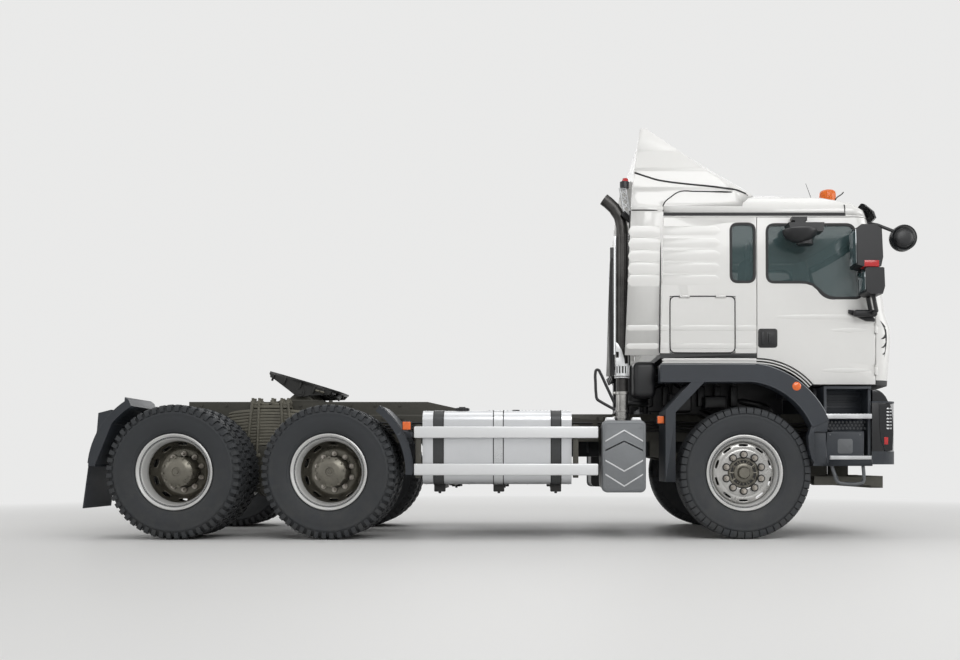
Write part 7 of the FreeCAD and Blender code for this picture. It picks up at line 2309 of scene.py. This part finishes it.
class TRUCK_OT_interior(bpy.types.Operator):
    """Dashboard, steering wheel, cushioned seats and the bunk"""
    bl_idname = "truck.interior"
    bl_label = "Cab interior"

    def execute(self, context):
        refine("cab_interior", Paint.inside, "cab", 35.0)
        first = True
        for side, sign in SIDES:
            y0, y1 = sorted((sign * (SEAT_Y - 0.250), sign * (SEAT_Y + 0.250)))
            base = bmesh.new()
            add_pad(base, (2.437, y0 + 0.012, 1.996), (2.813, y1 - 0.012, 2.096), 0.022)
            self.soft(base, "seat_base_" + side, ("seat_cushions",) if first else ())
            first = False
            back = bmesh.new()
            add_pad(back, (0.010, -0.222, 0.006), (0.098, 0.222, 0.630), 0.0)
            bmesh.ops.transform(back, matrix=Matrix.Translation((2.334, sign * SEAT_Y, 2.030)),
                                verts=back.verts[:])
            self.soft(back, "seat_back_" + side)
            frame_bm = bmesh.new()
            for dy in (-0.10, 0.10):
                y = sign * SEAT_Y + dy
                add_rod(frame_bm, (2.350, y, 2.640), (2.352, y, 2.720), 0.007, steps=10)
            y0, y1 = sorted((sign * (SEAT_Y - 0.262), sign * (SEAT_Y - 0.300)))
            add_block(frame_bm, (2.36, y0, 2.19), (2.66, y1, 2.225), 0.012, 3)
            make_piece(frame_bm, "seat_fittings_" + side, "cab", Paint.black)
            rest = bmesh.new()
            add_pad(rest, (2.330, sign * SEAT_Y - 0.125, 2.700),
                    (2.400, sign * SEAT_Y + 0.125, 2.845), 0.006, 4)
            self.soft(rest, "head_rest_" + side)
        bunk = bmesh.new()
        add_pad(bunk, (1.517, -0.983, 1.828), (2.093, 0.983, 1.944), 0.020, 8)
        self.soft(bunk, "bunk_mattress", (), 0.012)
        self.details()
        return {"FINISHED"}

    def soft(self, bm, name, stands_for=(), voxel=0.006):
        pad = make_piece(bm, name, "cab", Paint.cloth, 80.0, stands_for)
        self.inflate(pad, voxel)
        subdivide(pad, 1)
        return pad

    def inflate(self, pad, voxel, most=0.024):
        """Blows the cover up as cloth round its filling and keeps the settled shape."""
        scene = bpy.context.scene
        grid = pad.modifiers.new("Even grid", "REMESH")
        grid.mode = "VOXEL"
        grid.voxel_size = voxel
        self.keep(pad)
        rest = [v.co.copy() for v in pad.data.vertices]
        cloth = pad.modifiers.new("Cover", "CLOTH")
        cloth.settings.quality = 6
        cloth.settings.mass = 0.3
        cloth.settings.tension_stiffness = cloth.settings.compression_stiffness = 18.0
        cloth.settings.shear_stiffness = 6.0
        cloth.settings.bending_stiffness = 0.8
        cloth.settings.use_pressure = True
        cloth.settings.uniform_pressure_force = 4.0
        cloth.settings.effector_weights.gravity = 0.0
        cloth.point_cache.frame_start, cloth.point_cache.frame_end = 1, 20
        for frame_number in range(1, 21):
            scene.frame_set(frame_number)
        self.keep(pad)
        for vert, start in zip(pad.data.vertices, rest):
            move = vert.co - start
            if move.length > most:
                vert.co = start + move * (most / move.length)
        scene.frame_set(1)

    def keep(self, pad):
        """Applies what the pad's modifiers show now."""
        shown = pad.evaluated_get(bpy.context.evaluated_depsgraph_get())
        mesh = bpy.data.meshes.new_from_object(shown)
        old = pad.data
        pad.modifiers.clear()
        pad.data = mesh
        bpy.data.meshes.remove(old)
        for face in mesh.polygons:
            face.use_smooth = True

    def details(self):
        bm = bmesh.new()
        add_block(bm, (3.10, 0.30, 2.035), (3.24, 0.80, 2.115), 0.03, 3)
        add_block(bm, (3.06, -0.16, 1.80), (3.12, 0.16, 2.04), 0.012, 3)
        for z in (1.84, 1.90, 1.96):
            add_block(bm, (3.052, -0.12, z), (3.064, 0.12, z + 0.035), 0.004)
        add_rod(bm, (2.95, 0.08, 1.70), (2.93, 0.08, 1.92), 0.012)
        add_rod(bm, (2.93, 0.08, 1.92), (2.928, 0.08, 1.975), 0.026, 0.020)
        make_piece(bm, "dash_details", "cab", Paint.black)


# ---- stage ----------------------------------------------------------------------------
CAMERA_PLACE = (0.232, -10.092, 0.690)
CAMERA_LENS = 36.8                     # mm, on a 36 mm sensor
CAMERA_SHIFT = (-0.052, 0.139)
ROOM_LIGHT = 0.30                      # strength of the even light from all round
FLOOR_SIZE = 60.0
PALE = (0.82, 0.82, 0.815, 1.0)        # the one tone of floor and background
LIT_OUT_TO = 5.0                       # metres of floor that show the lamps' light
PALE_FROM = 11.0                       # beyond this the floor is the background's tone


def seen_by(ray, tree):
    """One for the rays that show the background: straight, mirrored and through glass."""
    straight = maths(tree, "MAXIMUM", ray.outputs["Is Camera Ray"],
                     ray.outputs["Is Glossy Ray"])
    return maths(tree, "MAXIMUM", straight, ray.outputs["Is Transmission Ray"])


class TRUCK_OT_stage(bpy.types.Operator):
    """Plain pale floor and background, soft studio lamps and the camera"""
    bl_idname = "truck.stage"
    bl_label = "Stage"

    def execute(self, context):
        self.floor()
        self.world()
        self.lamps()
        data = bpy.data.cameras.new("Studio camera")
        data.lens = CAMERA_LENS
        data.sensor_width = 36.0
        data.shift_x, data.shift_y = CAMERA_SHIFT
        data.clip_end = 200.0
        camera = bpy.data.objects.new("Studio camera", data)
        camera.location = CAMERA_PLACE
        camera.rotation_euler = (math.radians(90), 0, 0)
        context.scene.collection.objects.link(camera)
        context.scene.camera = camera
        settings = context.scene.view_settings
        settings.view_transform = "Standard"
        return {"FINISHED"}

    def floor(self):
        bm = bmesh.new()
        bmesh.ops.create_grid(bm, x_segments=1, y_segments=1, size=FLOOR_SIZE)
        mesh = bpy.data.meshes.new("floor")
        bm.to_mesh(mesh)
        bm.free()
        floor = bpy.data.objects.new("floor", mesh)
        bpy.context.scene.collection.objects.link(floor)
        paint = bpy.data.materials.new("Studio floor")
        paint.use_nodes = True
        tree = paint.node_tree
        shader = tree.nodes["Principled BSDF"]
        shader.inputs["Roughness"].default_value = 0.55
        shader.inputs["Specular IOR Level"].default_value = 0.25
        shader.inputs["Base Color"].default_value = PALE
        away = tree.nodes.new("ShaderNodeVectorMath")
        away.operation = "LENGTH"
        tree.links.new(object_coords(tree), away.inputs[0])
        far = remap(tree, away.outputs["Value"], LIT_OUT_TO, PALE_FROM)
        ray = tree.nodes.new("ShaderNodeLightPath")
        glow = tree.nodes.new("ShaderNodeEmission")
        glow.inputs["Color"].default_value = PALE
        fade = maths(tree, "MULTIPLY", far, seen_by(ray, tree))
        blend = chain(tree, "ShaderNodeMixShader", i0=fade,
                      i1=shader.outputs[0], i2=glow.outputs[0])
        tree.links.new(blend.outputs[0], tree.nodes["Material Output"].inputs["Surface"])
        mesh.materials.append(paint)

    def world(self):
        world = bpy.data.worlds.new("Studio")
        bpy.context.scene.world = world
        world.use_nodes = True
        tree = world.node_tree
        light = tree.nodes["Background"]
        light.inputs["Color"].default_value = (1.0, 0.99, 0.965, 1)
        light.inputs["Strength"].default_value = ROOM_LIGHT
        shown = tree.nodes.new("ShaderNodeBackground")
        shown.inputs["Color"].default_value = PALE
        ray = tree.nodes.new("ShaderNodeLightPath")
        blend = chain(tree, "ShaderNodeMixShader", i0=seen_by(ray, tree), i1=light.outputs[0],
                      i2=shown.outputs[0])
        tree.links.new(blend.outputs[0], tree.nodes["World Output"].inputs["Surface"])

    def lamps(self):
        rows = (
            ("Key", (3.0, -8.0, 6.5), (0.3, 0, 1.4), 7.0, 4.0, 320.0),
            ("Overhead", (0.0, -0.5, 8.5), (0.0, 0, 0.0), 10.0, 5.0, 175.0),
            ("Front fill", (9.5, -2.5, 4.0), (2.5, 0, 1.6), 5.0, 4.0, 150.0),
            ("Rear fill", (-9.5, -2.0, 4.0), (-2.5, 0, 1.0), 5.0, 4.0, 110.0),
            ("Back", (0.5, 9.0, 5.0), (0.0, 0, 1.6), 9.0, 4.0, 170.0),
        )
        for name, place, aim, wide, high, power in rows:
            data = bpy.data.lights.new(name, "AREA")
            data.shape = "RECTANGLE"
            data.size, data.size_y = wide, high
            data.energy = power
            lamp = bpy.data.objects.new(name, data)
            lamp.location = place
            lamp.rotation_euler = (Vector(aim) - Vector(place)).to_track_quat(
                "-Z", "Y").to_euler()
            bpy.context.scene.collection.objects.link(lamp)


# ---- add-on ---------------------------------------------------------------------------
PIECES = (
    TRUCK_OT_tyres, TRUCK_OT_rims, TRUCK_OT_hubs, TRUCK_OT_frame, TRUCK_OT_bogie_springs,
    TRUCK_OT_fifth_wheel, TRUCK_OT_mudguards, TRUCK_OT_fuel_tank, TRUCK_OT_side_guards,
    TRUCK_OT_side_boxes, TRUCK_OT_exhaust, TRUCK_OT_deck, TRUCK_OT_cab_shell,
    TRUCK_OT_glazing, TRUCK_OT_front_panel, TRUCK_OT_mirrors, TRUCK_OT_beacon,
    TRUCK_OT_skirts, TRUCK_OT_bumper, TRUCK_OT_interior, TRUCK_OT_stage,
)


class TRUCK_PT_panel(bpy.types.Panel):
    """Sizes, colours and the pieces of the truck"""
    bl_idname = "TRUCK_PT_panel"
    bl_label = "Road tractor"
    bl_space_type = "VIEW_3D"
    bl_region_type = "UI"
    bl_category = "Truck"

    def draw(self, context):
        layout = self.layout
        for group in (context.scene.truck_sizes, context.scene.truck_colours):
            box = layout.box()
            for name in group.__annotations__:
                box.prop(group, name)
        for operator in PIECES:
            layout.operator(operator.bl_idname)


CLASSES = (TruckColours, TruckSizes) + PIECES + (TRUCK_PT_panel,)


def register():
    for each in CLASSES:
        bpy.utils.register_class(each)
    bpy.types.Scene.truck_colours = PointerProperty(type=TruckColours)
    bpy.types.Scene.truck_sizes = PointerProperty(type=TruckSizes)


def unregister():
    del bpy.types.Scene.truck_sizes
    del bpy.types.Scene.truck_colours
    for each in reversed(CLASSES):
        bpy.utils.unregister_class(each)


def main():
    register()
    build_finishes()
    for operator in PIECES:
        name = operator.bl_idname.split(".")[1]
        getattr(bpy.ops.truck, name)()


if __name__ == "__main__":
    main()
